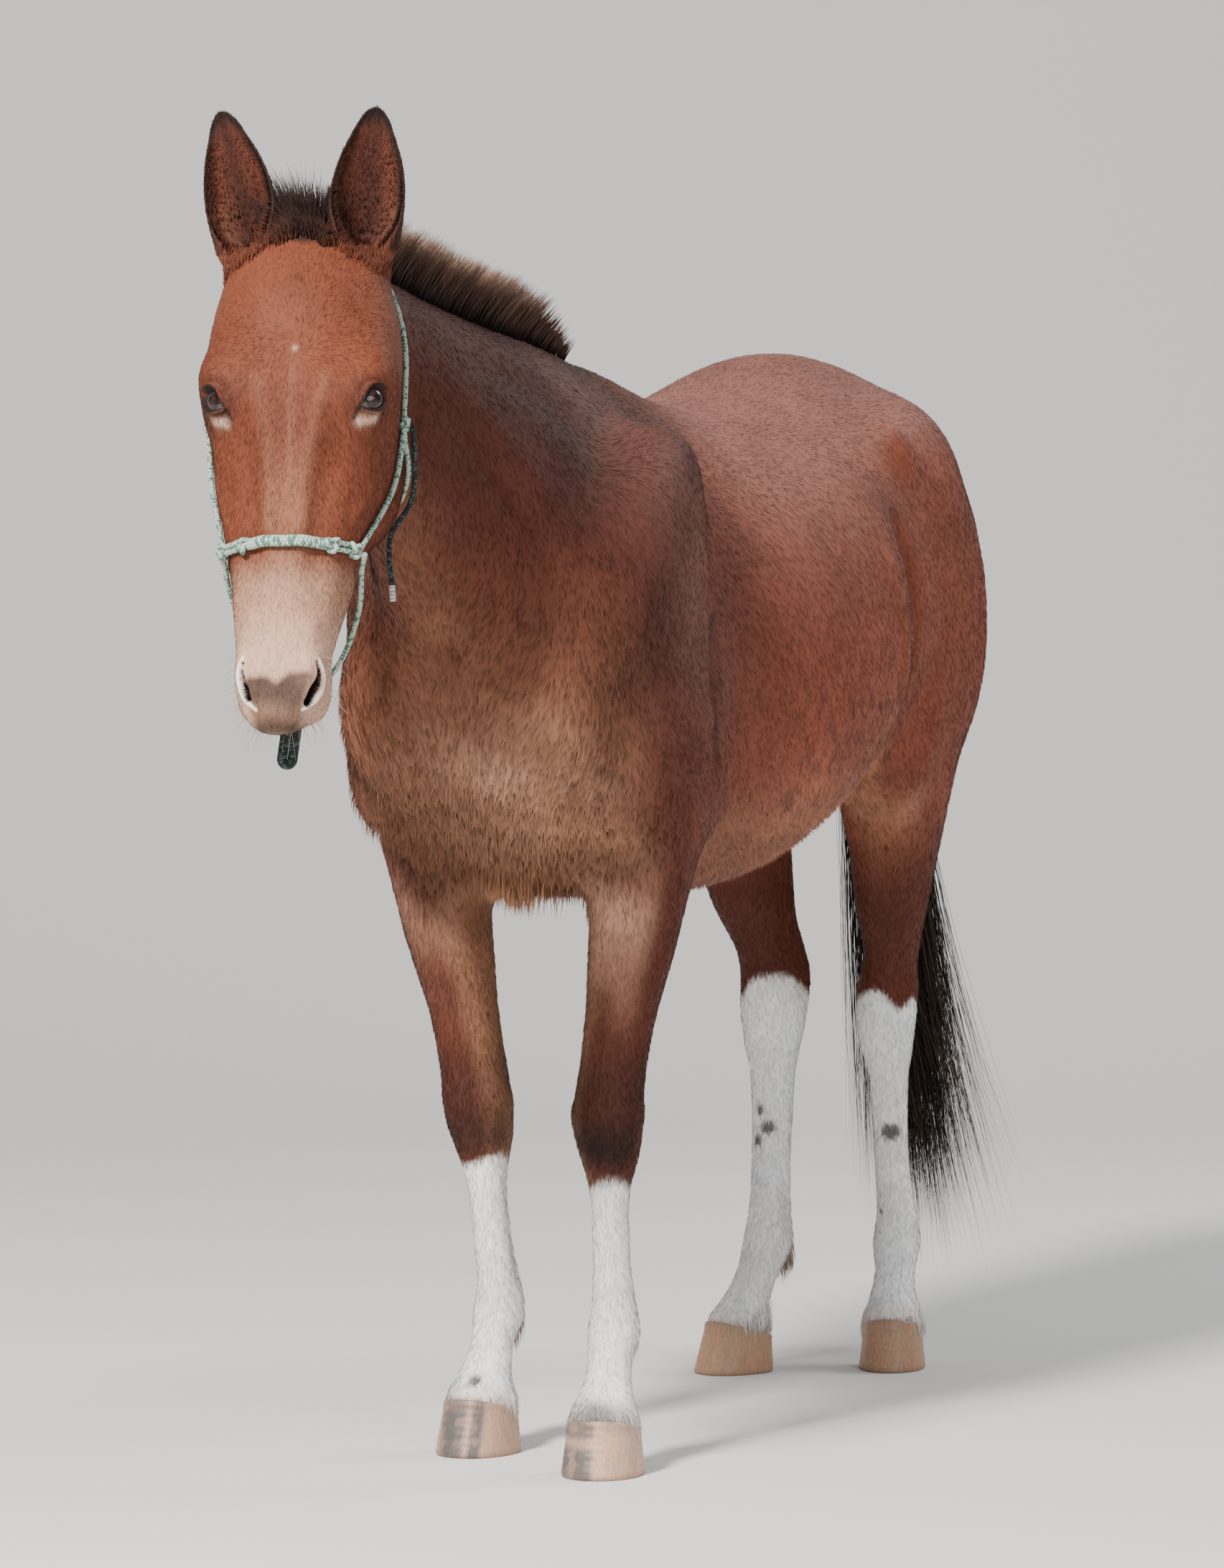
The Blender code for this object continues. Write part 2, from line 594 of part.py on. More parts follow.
def fused_flesh():
    """The whole animal's flesh as one skin, softened where the great muscles meet."""
    pieces = [torso_piece(), neck_piece()]
    pieces += [fore_limb("fore_left"), fore_limb("fore_right")]
    pieces += [hind_limb("hind_left"), hind_limb("hind_right")]
    pieces += muscle_pieces() + head_pieces()
    flesh = fuse_by_voxels("flesh", pieces, VOXEL)
    behind_head = head_frame().inverted()

    def on_head(co):
        local = behind_head @ co
        return local.y < 0.20 and co.z > 0.93 and co.y < -0.40

    def on_legs(co):
        return co.z < 0.74

    def face_weight(co):
        local = behind_head @ co
        return min((co.z - 0.93) / 0.1, (0.04 - local.y) / 0.05, (local.z + 0.53) / 0.06)

    weigh(flesh, "trunk", lambda co: min((co.z - 0.72) / 0.15, (co.y + 0.48) / 0.10))
    weigh(flesh, "neck", lambda co: min((co.z - 0.72) / 0.15, (co.y + 0.60) / 0.08))
    weigh(flesh, "head", face_weight)
    settle = (("Settle", 9, ""), ("Head", 9, "head"), ("Neck", 12, "neck"), ("Blend", 45, "trunk"))
    for name, passes, group in settle:
        soften = flesh.modifiers.new(name, "SMOOTH")
        soften.factor, soften.iterations, soften.vertex_group = 0.5, passes, group
    apply_modifiers(flesh)
    flesh.vertex_groups.clear()
    thin_out(flesh, on_head, HEAD_TRIANGLES)
    thin_out(flesh, on_legs, LEG_TRIANGLES)
    thin_out(flesh, lambda co: not on_head(co) and not on_legs(co), TRUNK_TRIANGLES)
    return flesh


def foot_frame(name):
    """The hoof's frame on the ground: X outwards to the mule's left, -Y towards the toe."""
    foot = FEET[name]
    x, y = foot["hoof"]
    place = Matrix.Translation((x * foot["side"], y, 0))
    return place @ Matrix.Rotation(math.radians(foot["turn"]) * foot["side"], 4, "Z")


def coronet_frame(name):
    """The sloping plane where the horn ends and the hair begins, higher at the toe."""
    kind = name.split("_")[0]
    run = HOOF_FORWARD[kind] + HOOF_BACK[kind]
    slope = math.atan2(HOOF_TOE_TOP - HOOF_HEEL_TOP, run)
    middle = HOOF_TOE_TOP - HOOF_FORWARD[kind] * math.tan(slope)
    tilt = Matrix.Rotation(-slope, 4, "X")
    return foot_frame(name) @ Matrix.Translation((0, 0, middle)) @ tilt


def hoof(name, paint):
    """Upright, narrow horn: an oval wall that widens a little to a flat sole, cut at the coronet."""
    kind = name.split("_")[0]
    half, forward, back = HOOF_HALF_WIDTH[kind], HOOF_FORWARD[kind], HOOF_BACK[kind]
    frame = foot_frame(name)
    right = frame.to_3x3() @ Vector((1, 0, 0))
    front = frame.to_3x3() @ Vector((0, -1, 0))
    levels = [
        # height, half width, forward, back
        (0.000, half * 1.03, forward + 0.019, back * 0.92),
        (0.004, half * 1.06, forward + 0.021, back * 0.97),
        (0.045, half * 1.03, forward + 0.010, back),
        (HOOF_TOE_TOP + 0.014, half, forward + 0.001, back),
    ]
    rings = []
    for z, wide, ahead, behind in levels:
        centre = frame @ Vector((0, 0, z))
        rings.append(ring(centre, right, front, wide, ahead, behind, 2.2, 2.6, 24))
    made = skin_rings("hoof_" + name, rings, paint)
    above = box_between("above", (-0.2, -0.2, -GAP / 2), (0.2, 0.2, 0.2), coronet_frame(name))
    return boolean(made, [above], "DIFFERENCE")


def neck_cut_frame():
    """The sloping plane between neck and torso, its Z towards the neck."""
    return plane_frame((0, -0.075, 1.28), (0, -0.86, 0.50))


def body_cutters():
    """Everything that parts the flesh into its nodes: thin sheets, and the space of the four hooves."""
    half = GAP / 2
    cutters = []
    for name in FEET:
        below = (-0.2, -0.2, -0.3), (0.2, 0.2, half)
        cutters.append(box_between("below_" + name, *below, coronet_frame(name)))
    throat = plane_frame((-0.05, -0.468, 1.50), (0.12, -0.97, -0.20))
    cutters.append(box_between("head_cut", (-0.30, -0.30, -half), (0.30, 0.30, half), throat))
    cutters.append(box_between("neck_cut", (-0.5, -0.5, -half), (0.5, 0.5, half), neck_cut_frame()))
    for name in FEET:
        foot = FEET[name]
        side = foot["side"]
        if name.startswith("fore"):
            start, slope = CHEST_FLOOR - 0.020, 0.60
            front, rear = -0.30, 0.5 * foot["joint"][1] + 0.180
            wall = rear
        else:
            start, slope = CHEST_FLOOR + 0.095, 0.50
            front, rear = 0.885, 1.50
            wall = front
        away = Vector((side, 0, slope)).normalized()
        frame = plane_frame((0, 0, start), away.cross(Vector((0, 1, 0))) * side, away * side)
        inner, outer = (-0.5, 0.002) if side < 0 else (-0.002, 0.5)
        cutters.append(box_between("roof_" + name, (inner, front, -half), (outer, rear, half), frame))
        roof = start + slope * 0.5
        outer_top = roof - slope * 0.05 + half
        points = [(0, start - 0.15), (0.45, start - 0.15), (0.45, outer_top), (0, start + half)]
        rings = []
        for y in (wall - half, wall + half):
            rings.append([Vector((x * side, y, z)) for x, z in points])
        cutters.append(skin_rings("wall_" + name, rings))
    return cutters


def part_flesh(flesh, paints):
    """The flesh cut through at each thin sheet, and each piece named by where it lies."""
    cut = boolean(flesh, body_cutters(), "DIFFERENCE")
    found = {}
    for group in islands(cut):
        centre = sum((cut.data.polygons[i].center for i in group), Vector()) / len(group)
        if len(group) < 60:
            continue
        if centre.z < 0.85:
            kind = "leg_fore" if centre.y < 0.6 else "leg_hind"
            name = kind + ("_left" if centre.x > 0 else "_right")
        elif centre.y < -0.50:
            name = "head"
        elif centre.y < 0.0:
            name = "neck"
        else:
            name = "torso"
        found[name] = keep_faces(cut, name, group, paints[name])
    remove(cut)
    return found


def eye_frame(side):
    """The eye's frame: Z straight out of the socket, X towards the inner corner of the lids."""
    head = head_frame()
    x, y, z = EYE_PLACE
    centre = head @ Vector((x * side, y, z))
    out = head.to_3x3() @ Vector((EYE_OUT[0] * side, EYE_OUT[1], EYE_OUT[2]))
    inner_corner = head.to_3x3() @ Vector((-0.42 * side, -0.62, -0.62))
    out.normalize()
    along = (inner_corner - out * inner_corner.dot(out)).normalized()
    turn = Matrix((along, out.cross(along), out)).transposed().to_4x4()
    return Matrix.Translation(centre) @ turn


def lid_opening(side):
    """An almond, pointed at the inner corner, from inside the socket out through the lids."""
    frame = eye_frame(side)
    count, half_long, half_open = 9, 0.0228, 0.0145
    upper, lower = [], []
    for k in range(count):
        t = -1 + 2 * k / (count - 1)
        lift = (1 - t * t) ** 0.75
        upper.append((t * half_long, lift * half_open))
        lower.append((t * half_long, -lift * half_open * 0.80))
    outline = upper + lower[-2:0:-1]
    rings = []
    for depth in (0.010, 0.05):
        rings.append([frame @ Vector((x, y, depth)) for x, y in outline])
    return skin_rings("lid_opening", rings)


def surface_tree(obj):
    return BVHTree.FromObject(obj, bpy.context.evaluated_depsgraph_get())


def on_surface(tree, place, stand_off=0.0):
    point, normal, _, _ = tree.find_nearest(Vector(place))
    return point + normal * stand_off


def curve_on_head(tree, local_points, radius, stand_off=0.0, steps=3):
    """A path over the head's skin through points in its own frame, with its radius."""
    head = head_frame()
    rows = []
    for x, y, z, share in smooth_rows([(*p, 1.0) if len(p) == 3 else p for p in local_points], steps):
        point = on_surface(tree, head @ Vector((x, y, z)), stand_off)
        rows.append((*point, radius * share))
    return rows


def finish_head(head_node):
    """Sockets and lids, nostrils and the line of the mouth."""
    tree = surface_tree(head_node)
    cutters = []
    for side in (-1, 1):
        socket = EYE_RADIUS
        cutters.append(ball("socket", (0, 0, 0), (socket,) * 3, frame=eye_frame(side), fineness=2))
        cutters.append(lid_opening(side))
        nostril = [
            (0.053 * side, -0.050, -0.548, 0.35),
            (0.060 * side, -0.048, -0.575, 0.9),
            (0.056 * side, -0.056, -0.602, 1.15),
            (0.042 * side, -0.066, -0.622, 0.7),
        ]
        cutters.append(tube("nostril", curve_on_head(tree, nostril, 0.0085, -0.001), 8))
    lips = [
        (-0.056, 0.030, -0.560, 0.5),
        (-0.052, 0.022, -0.600),
        (-0.034, 0.012, -0.640),
        (0.0, 0.010, -0.652),
        (0.034, 0.012, -0.640),
        (0.052, 0.022, -0.600),
        (0.056, 0.030, -0.560, 0.5),
    ]
    across = head_frame().to_3x3() @ Vector((0, 0.98, -0.22))
    mouth = tube("mouth", curve_on_head(tree, lips, 0.0032), 6, across=across)
    for cutter in cutters:
        boolean(head_node, [cutter], "DIFFERENCE")
    boolean(head_node, [mouth], "DIFFERENCE", "MANIFOLD")
    return keep_largest(head_node)


def eyeball(side, paint):
    """The eye itself, a little flattened in front as a real one looks between its lids."""
    frame = eye_frame(side)
    name = "eye_left" if side > 0 else "eye_right"
    made = ball(name, (0, 0, 0), (EYE_RADIUS - GAP,) * 3, frame=frame, fineness=2)
    made.data.materials.append(paint)
    return made


EAR_ROOT = {-1: (-0.072, 0.004, -0.004), 1: (0.069, 0.004, -0.004)}
EAR_LEAN_OUT = {-1: math.radians(10.5), 1: math.radians(5.5)}
EAR_LEAN_FORWARD = math.radians(6)


def ear_frame(side):
    """The ear's frame at its root: Z up the ear, -Y the way that its cup opens."""
    root = head_frame() @ Vector(EAR_ROOT[side])
    turn = Matrix.Rotation(HEAD_YAW + math.radians(14) * side, 4, "Z")
    lean = Matrix.Rotation(EAR_LEAN_OUT[side] * side, 4, "Y")
    lean = lean @ Matrix.Rotation(EAR_LEAN_FORWARD, 4, "X")
    return Matrix.Translation(root) @ turn @ lean


# Share of the length, half width, depth of the cup, half angle of the wall, wall thickness
EAR_LEVELS = [
    (0.00, 0.70, 0.72, 150, 0.0085),
    (0.10, 0.84, 0.68, 142, 0.0085),
    (0.22, 0.97, 0.60, 124, 0.0080),
    (0.36, 1.00, 0.54, 104, 0.0075),
    (0.52, 0.95, 0.46, 92, 0.0070),
    (0.68, 0.79, 0.36, 84, 0.0065),
    (0.82, 0.53, 0.26, 78, 0.0060),
    (0.93, 0.31, 0.18, 74, 0.0055),
    (1.00, 0.11, 0.10, 70, 0.0045),
]


def ear(side, paint):
    """A tall pointed cup of hide: nearly a tube at the root, widest at two fifths, flat at the tip."""
    frame = ear_frame(side)
    steps = 6
    rings = []
    for share, width, depth, angle, wall in EAR_LEVELS:
        half = width * EAR_WIDTH / 2
        cup = depth * EAR_WIDTH / 2
        limit = math.radians(angle)
        outer, inner = [], []
        for k in range(steps + 1):
            a = limit * (2 * k / steps - 1)
            # the rim is rolled thin, the middle of the wall is full
            thick = wall * (0.55 + 0.45 * math.cos(a / limit * math.pi / 2))
            outward = Vector((math.sin(a) / half, math.cos(a) / cup, 0)).normalized()
            base = Vector((half * math.sin(a), cup * math.cos(a), share * EAR_LENGTH))
            outer.append(frame @ base)
            shrink = min(thick, 0.42 * half)
            inner.append(frame @ (base - outward * shrink))
        rings.append(outer + inner[::-1])
    name = "ear_left" if side > 0 else "ear_right"
    return skin_rings(name, rings, paint)


def ear_seat(side):
    """What is taken off the head for the ear to stand in: the ear's outline, filled and a little larger."""
    frame = ear_frame(side)
    right = frame.to_3x3() @ Vector((1, 0, 0))
    back = frame.to_3x3() @ Vector((0, 1, 0))
    room = 2 * GAP
    rings = []
    for share, width, depth, _, _ in EAR_LEVELS[:5]:
        half, cup = width * EAR_WIDTH / 2 + room, depth * EAR_WIDTH / 2 + room
        centre = frame @ Vector((0, 0, share * EAR_LENGTH - (GAP if share == 0 else 0)))
        rings.append(ring(centre, right, back, half, cup, cup, count=24))
    return skin_rings("ear_seat", rings)


def lock(name, path, widths, thickness, normal):
    """A flat tapered lock along a path, its widths at the path's points, ending in a point."""
    rings = []
    for i in range(len(path) - 1):
        here = Vector(path[i])
        along = (Vector(path[i + 1]) - Vector(path[max(i - 1, 0)])).normalized()
        face = Vector(normal) - along * along.dot(Vector(normal))
        face.normalize()
        side = along.cross(face)
        half, thick = widths[i] / 2, thickness * widths[i] / max(widths) / 2
        rings.append([here + side * half, here + face * thick, here - side * half, here - face * thick])
    points = [p for r in rings for p in r] + [Vector(path[-1])]
    tip = len(points) - 1
    faces = [(3, 2, 1, 0)]
    for i in range(len(rings) - 1):
        a, b = i * 4, (i + 1) * 4
        for k in range(4):
            n = (k + 1) % 4
            faces.append((a + k, a + n, b + n))
            faces.append((a + k, b + n, b + k))
    last = (len(rings) - 1) * 4
    for k in range(4):
        faces.append((last + k, last + (k + 1) % 4, tip))
    return face_outwards(mesh_object(name, points, faces))


def mane_locks():
    """A clipped mane: short locks set close along the crest, fanning up to either side."""
    draw = random.Random(7)
    rows = smooth_rows(NECK, 12)
    crest = [crest_and_under(row)[0] for row in rows]
    made = []
    start, stop, spacing = -0.478, 0.070, 0.0178
    count = int((stop - start) / spacing)
    for i in range(count):
        y = start + spacing * (i + 0.5)
        near = min(crest, key=lambda p: abs(p.y - y))
        ends = min(1.0, (i + 2.5) / 6, (count - i + 2.0) / 6)
        height = MANE_HEIGHT * ends * draw.uniform(0.88, 1.08)
        lean = (-1) ** i * draw.uniform(0.05, 0.22)
        back = draw.uniform(0.30, 0.55)
        root = Vector((near.x, y, near.z - 0.035))
        up = Vector((lean, back, 1.0)).normalized()
        bend = Vector((lean * 0.25, 0.2, -0.05)) * height
        length = 0.035 + height
        path = [root, root + up * length * 0.5, root + up * length * 0.84 + bend * 0.4]
        path.append(root + up * length + bend)
        wide = draw.uniform(0.052, 0.062)
        made.append(lock("mane_lock", path, [wide * 0.8, wide, wide * 0.70, 0], 0.022, (1, 0, 0)))
    return made


def forelock_locks():
    """The short upright tuft between the ears."""
    draw = random.Random(11)
    head = head_frame()
    made = []
    count = 12
    for i in range(count):
        t = -1 + 2 * (i + 0.5) / count
        row = i % 2
        root = head @ Vector((t * 0.022, -0.026 + 0.030 * row, -0.012))
        up = Vector((t * 0.42 + draw.uniform(-0.08, 0.08), -0.08 + 0.25 * row, 1.0)).normalized()
        up = Matrix.Rotation(HEAD_YAW, 3, "Z") @ up
        length = 0.112 * (1 - 0.16 * abs(t)) * draw.uniform(0.88, 1.08)
        bend = Vector((t * 0.10, 0.12, 0)) * length
        path = [root, root + up * length * 0.55, root + up * length * 0.82 + bend * 0.3]
        path.append(root + up * length + bend)
        wide = draw.uniform(0.022, 0.029)
        made.append(lock("forelock", path, [wide, wide, wide * 0.6, 0], 0.012, (0.25 * t, -1, 0.1)))
    return made


def tail_locks():
    """Long flat locks from all round the dock, hanging and drifting to the mule's left."""
    draw = random.Random(5)
    rows = smooth_rows(DOCK, 8)
    made = []
    count = 21
    for i in range(count):
        share = 0.30 + 0.70 * ((i * 0.618) % 1.0)
        spot = rows[min(int(share * (len(rows) - 1)), len(rows) - 1)]
        centre, radius = Vector(spot[:3]), spot[3]
        angle = 2 * math.pi * ((i * 0.382) % 1.0)
        out = Vector((math.cos(angle), 0.25 + 0.75 * math.sin(angle), 0))
        root = centre + out * radius * 0.35
        drift = 0.02 + 0.22 * ((i * 0.755) % 1.0) ** 1.6
        reach = (spot[2] - TAIL_TIP_HEIGHT) * draw.uniform(0.72, 1.0)
        if reach > 1.05:
            reach = draw.uniform(0.80, 1.05)
        back = draw.uniform(-0.01, 0.06)
        path = [root]
        for t in (0.16, 0.45, 0.75, 1.0):
            swing = drift * (reach * t / 1.15) ** 2
            x = root.x + out.x * 0.035 * math.sin(min(t * 2.2, 1.6)) + swing
            y = root.y + out.y * 0.030 * math.sin(min(t * 2.2, 1.6)) + back * t
            path.append(Vector((x, y, root.z - reach * t + 0.02 * (1 - t) * out.y)))
        wide = draw.uniform(0.050, 0.068)
        widths = [wide * 0.6, wide, wide * 1.05, wide * 0.66, 0]
        made.append(lock("tail_lock", path, widths, 0.016, (out.x * 0.9, out.y, 0.05)))
    return made


def add_locks(node, locks):
    """Locks and the node that they grow from made one body, without loose scraps."""
    boolean(node, locks, "UNION", "MANIFOLD")
    return keep_largest(node)


# The halter's ropes in the head's own frame, for its left side; the right side mirrors them
NOSEBAND_DOWN = -0.408
KNOT_TURNS = (-76, -38, 38, 76)
CHEEK_ROPE = [
    (0.090, -0.012, -0.408),
    (0.106, 0.026, -0.350),
    (0.116, 0.050, -0.280),
    (0.116, 0.056, -0.205),
    (0.112, 0.054, -0.130),
    (0.104, 0.056, -0.060),
]
CROWN_ROPE = [(0.104, 0.056, -0.060), (0.092, 0.064, 0.000), (0.050, 0.062, 0.028), (0, 0.058, 0.036)]
THROAT_ROPE = [(0.116, 0.060, -0.215), (0.104, 0.120, -0.262), (0.066, 0.166, -0.296), (0, 0.170, -0.305)]
CURB_ROPE = [
    (0.094, -0.022, -0.409),
    (0.086, 0.004, -0.426),
    (0.078, 0.040, -0.470),
    (0.046, 0.080, -0.530),
    (-0.010, 0.098, -0.572),
]
TIE_KNOT = (0.116, 0.058, -0.207)
CHIN_KNOT = (-0.010, 0.100, -0.574)


def mirrored(half_path):
    """From the right end over to the left end, through the point on the middle."""
    return [(-x, y, z) for x, y, z in half_path[:-1]] + half_path[::-1]


def held_off(tree, place, room):
    """The place itself, or one that much outside the skin where the place is nearer to it or inside."""
    point = Vector(place)
    nearest, normal, _, _ = tree.find_nearest(point)
    out = (point - nearest).dot(normal)
    return point if out > room else point + normal * (room - out)


def halter(tree, head_node, neck_node, paint):
    """One rope, tied: doubled over the nose with four knots, single round the cheeks, poll and jaw."""
    head = head_frame()
    down = head.to_3x3() @ Vector((0, 0, 1))
    stand_off = ROPE_RADIUS * 1.6
    nose = []
    for degrees in range(KNOT_TURNS[0], KNOT_TURNS[-1] + 1, 19):
        a = math.radians(degrees)
        nose.append((0.11 * math.sin(a), -0.01 - 0.08 * math.cos(a), NOSEBAND_DOWN))
    rows = curve_on_head(tree, nose, ROPE_RADIUS * 2.1, stand_off, 2)
    pieces = [tube("nose", rows, 8, flat=0.48, across=down)]
    for path in (mirrored(CROWN_ROPE), CHEEK_ROPE, [(-x, y, z) for x, y, z in CHEEK_ROPE]):
        rows = curve_on_head(tree, path, ROPE_RADIUS, stand_off, 2)
        pieces.append(tube("rope", rows, 5, across=head.to_3x3() @ Vector((0, 0.3, 1))))
    for path in (mirrored(CURB_ROPE), mirrored(THROAT_ROPE)):
        rows = []
        for place in smooth_rows(path, 3):
            rows.append((*held_off(tree, head @ Vector(place), stand_off), ROPE_RADIUS))
        pieces.append(tube("under_jaw", rows, 5, across=head.to_3x3() @ Vector((0, 1, 0.5))))
    knots = [TIE_KNOT, (-TIE_KNOT[0], TIE_KNOT[1], TIE_KNOT[2]), CHIN_KNOT]
    for degrees in KNOT_TURNS:
        a = math.radians(degrees)
        knots.append((0.11 * math.sin(a), -0.01 - 0.08 * math.cos(a), NOSEBAND_DOWN))
    for place in knots:
        spot = on_surface(tree, head @ Vector(place), ROPE_RADIUS * 1.5)
        if place == CHIN_KNOT:
            spot = held_off(tree, head @ Vector(place), ROPE_RADIUS * 2)
        sizes = (ROPE_RADIUS * 2.9, ROPE_RADIUS * 2.5, ROPE_RADIUS * 2.9)
        pieces.append(ball("knot", spot, sizes, (20, 35, 10), fineness=1))
    made = pieces.pop(0)
    made.name = "halter"
    made.data.materials.append(paint)
    boolean(made, pieces, "UNION", "MANIFOLD")
    return cut_clear(made, head_node, neck_node)


def chin_loop(tree, head_node, halter_node, paint):
    """The dark loop that hangs under the chin from the lowest knot: down, round and up again."""
    top = held_off(tree, head_frame() @ Vector(CHIN_KNOT), 0.008)
    bottom = Vector((top.x - 0.012, top.y, CHIN_LOOP_BOTTOM))
    side = head_frame().to_3x3() @ Vector((1, 0, 0))
    down = (bottom - top).normalized()
    side = (side - down * side.dot(down)).normalized()
    straight = (bottom - top).length - CHIN_LOOP_HALF
    rows = []
    for t in (0.0, 0.5, 0.95):
        rows.append((*(top + down * straight * t - side * CHIN_LOOP_HALF), CHIN_LOOP_RADIUS))
    for k in range(7):
        angle = math.pi * k / 6
        turn = down * math.sin(angle) - side * math.cos(angle)
        rows.append((*(top + down * straight + turn * CHIN_LOOP_HALF), CHIN_LOOP_RADIUS))
    for t in (0.95, 0.5, 0.0):
        rows.append((*(top + down * straight * t + side * CHIN_LOOP_HALF), CHIN_LOOP_RADIUS))
    made = tube("halter_chin_loop", rows, 8, paint, across=down.cross(side))
    return cut_clear(made, head_node, halter_node)


# From the tie knot down behind the jaw, on the ground's axes
ROPE_END = [
    (0.078, -0.549, 1.418),
    (0.066, -0.530, 1.385),
    (0.050, -0.512, 1.352),
    (0.026, -0.500, 1.322),
    (0.018, -0.494, 1.290),
    (0.019, -0.490, 1.250),
    (0.022, -0.489, 1.220),
    (0.024, -0.489, 1.192),
]


def rope_end(tree, paint):
    """The free end of the halter rope, which hangs clear of the head from the tie knot."""
    points = [held_off(tree, place, ROPE_RADIUS * 4.5) for place in ROPE_END]
    curve = bpy.data.curves.new("halter_end", "CURVE")
    curve.dimensions = "3D"
    curve.bevel_depth = ROPE_RADIUS
    curve.bevel_resolution = 2
    curve.use_fill_caps = True
    rows = smooth_rows([tuple(p) for p in points], 3)
    spline = curve.splines.new("POLY")
    spline.points.add(len(rows) - 1)
    for point, row in zip(spline.points, rows):
        point.co = (*row, 1.0)
    curve.materials.append(paint)
    made = bpy.data.objects.new("halter_end", curve)
    bpy.context.collection.objects.link(made)
    return made


def stand_over_origin():
    """Shifts everything so that the middle of the outline lies over the origin, feet on the ground."""
    bpy.context.view_layer.update()
    corners = []
    for obj in bpy.data.objects:
        if obj.type == "MESH":
            corners += [v.co for v in obj.data.vertices]
    low = [min(c[k] for c in corners) for k in range(3)]
    high = [max(c[k] for c in corners) for k in range(3)]
    shift = Vector((-(low[0] + high[0]) / 2, -(low[1] + high[1]) / 2, -low[2]))
    for obj in bpy.data.objects:
        obj.data.transform(Matrix.Translation(shift))
    return shift


def clear_scene():
    for obj in list(bpy.data.objects):
        bpy.data.objects.remove(obj, do_unlink=True)


def main():
    clear_scene()
    hide = material("bay_hide", BAY)
    dark_hide = material("dark_bay_hide", DARK_BAY)
    white_hide = material("white_hide", WHITE_HAIR)
    black_hair = material("black_hair", BLACK_HAIR)
    horn = material("horn", HORN, 0.45)
    wet = material("wet_eye", EYE_BROWN, 0.05)
    paints = {"head": hide, "neck": dark_hide, "torso": hide}
    for name in FEET:
        paints["leg_" + name] = white_hide
    flesh = fused_flesh()
    nodes = part_flesh(flesh, paints)
    head_node = nodes["head"]
    finish_head(head_node)
    bare_head = surface_tree(head_node)
    add_locks(head_node, forelock_locks())
    for side in (-1, 1):
        boolean(head_node, [ear_seat(side)], "DIFFERENCE")
    keep_largest(head_node)
    for side in (-1, 1):
        ear(side, dark_hide)
        eyeball(side, wet)
    for name in FEET:
        hoof(name, horn)
    rope = material("halter_rope", ROPE_GREEN)
    dark_rope = material("dark_rope", DARK_ROPE)
    add_locks(nodes["neck"], mane_locks())
    behind = box_between("behind", (-0.3, -0.5, -0.3), (0.3, 0.5, GAP), neck_cut_frame())
    keep_largest(boolean(nodes["neck"], [behind], "DIFFERENCE"))
    halter_node = halter(bare_head, head_node, nodes["neck"], rope)
    chin_loop(bare_head, head_node, halter_node, dark_rope)
    rope_end(bare_head, dark_rope)
    tail = tube("tail", smooth_rows(DOCK, 2), 12, black_hair)
    add_locks(tail, tail_locks())
    cut_clear(tail, nodes["torso"], nodes["leg_hind_left"], nodes["leg_hind_right"])
    return stand_over_origin()


SHIFT = main()
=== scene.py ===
# %% [markdown]
# # A live mule, standing
#
# The solids give the mule's true outline and its pose. This script dresses them. One skin takes the
# place of all the flesh, and coat, mane, tail, eyes, hooves and the rope halter are put over it.
# Everything is in metres, in the frame of the solids: the mule faces -Y and stands on z = 0.

import math

import bmesh
import bpy
import numpy as np
from mathutils import Matrix, Vector
from mathutils.bvhtree import BVHTree


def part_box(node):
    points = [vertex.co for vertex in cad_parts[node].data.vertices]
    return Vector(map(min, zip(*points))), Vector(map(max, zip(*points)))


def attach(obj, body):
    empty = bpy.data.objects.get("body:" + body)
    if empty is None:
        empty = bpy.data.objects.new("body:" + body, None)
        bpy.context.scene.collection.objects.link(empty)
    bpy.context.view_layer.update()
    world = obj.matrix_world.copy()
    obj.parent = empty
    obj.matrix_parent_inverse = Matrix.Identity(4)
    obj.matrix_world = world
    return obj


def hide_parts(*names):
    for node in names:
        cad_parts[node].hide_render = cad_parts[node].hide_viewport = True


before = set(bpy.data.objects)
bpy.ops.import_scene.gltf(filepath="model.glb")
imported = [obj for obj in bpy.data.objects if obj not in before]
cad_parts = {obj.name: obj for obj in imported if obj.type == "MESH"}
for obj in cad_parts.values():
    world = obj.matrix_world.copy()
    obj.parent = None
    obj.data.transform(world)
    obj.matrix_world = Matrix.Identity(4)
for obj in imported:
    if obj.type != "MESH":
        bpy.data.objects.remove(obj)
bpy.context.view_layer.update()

# %% [markdown]
# The solids were modelled from a point on the ground under the chest and then shifted over the
# origin. The left eye's place is known in both, which gives that shift. The head has a frame of its
# own, from the poll down to the lips, and most of the face is easier to place in it.

# %% The shift and the head's frame
POLL = Vector((-0.058, -0.575, 1.637))
YAW, ROLL, TILT = math.radians(15), math.radians(-0.6), math.radians(18)
turn = Matrix.Rotation(YAW, 4, "Z") @ Matrix.Rotation(ROLL, 4, "Y") @ Matrix.Rotation(-TILT, 4, "X")
EYE_PLACE, EYE_OUT, EYE_RADIUS = Vector((0.0905, -0.047, -0.212)), Vector((0.86, -0.5, 0.02)), 0.0235
low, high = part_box("eye_left")
shift = (low + high) / 2 - (POLL + turn.to_3x3() @ EYE_PLACE)
head = Matrix.Translation(POLL + shift) @ turn
HEAD = np.array(head.to_3x3())
POLL_AT = np.array(POLL + shift)
SHIFT = np.array(shift)


def in_head(points):
    """World points in the head's own frame: X to its left, Y backwards, -Z down to the lips."""
    return (np.asarray(points) - POLL_AT) @ HEAD


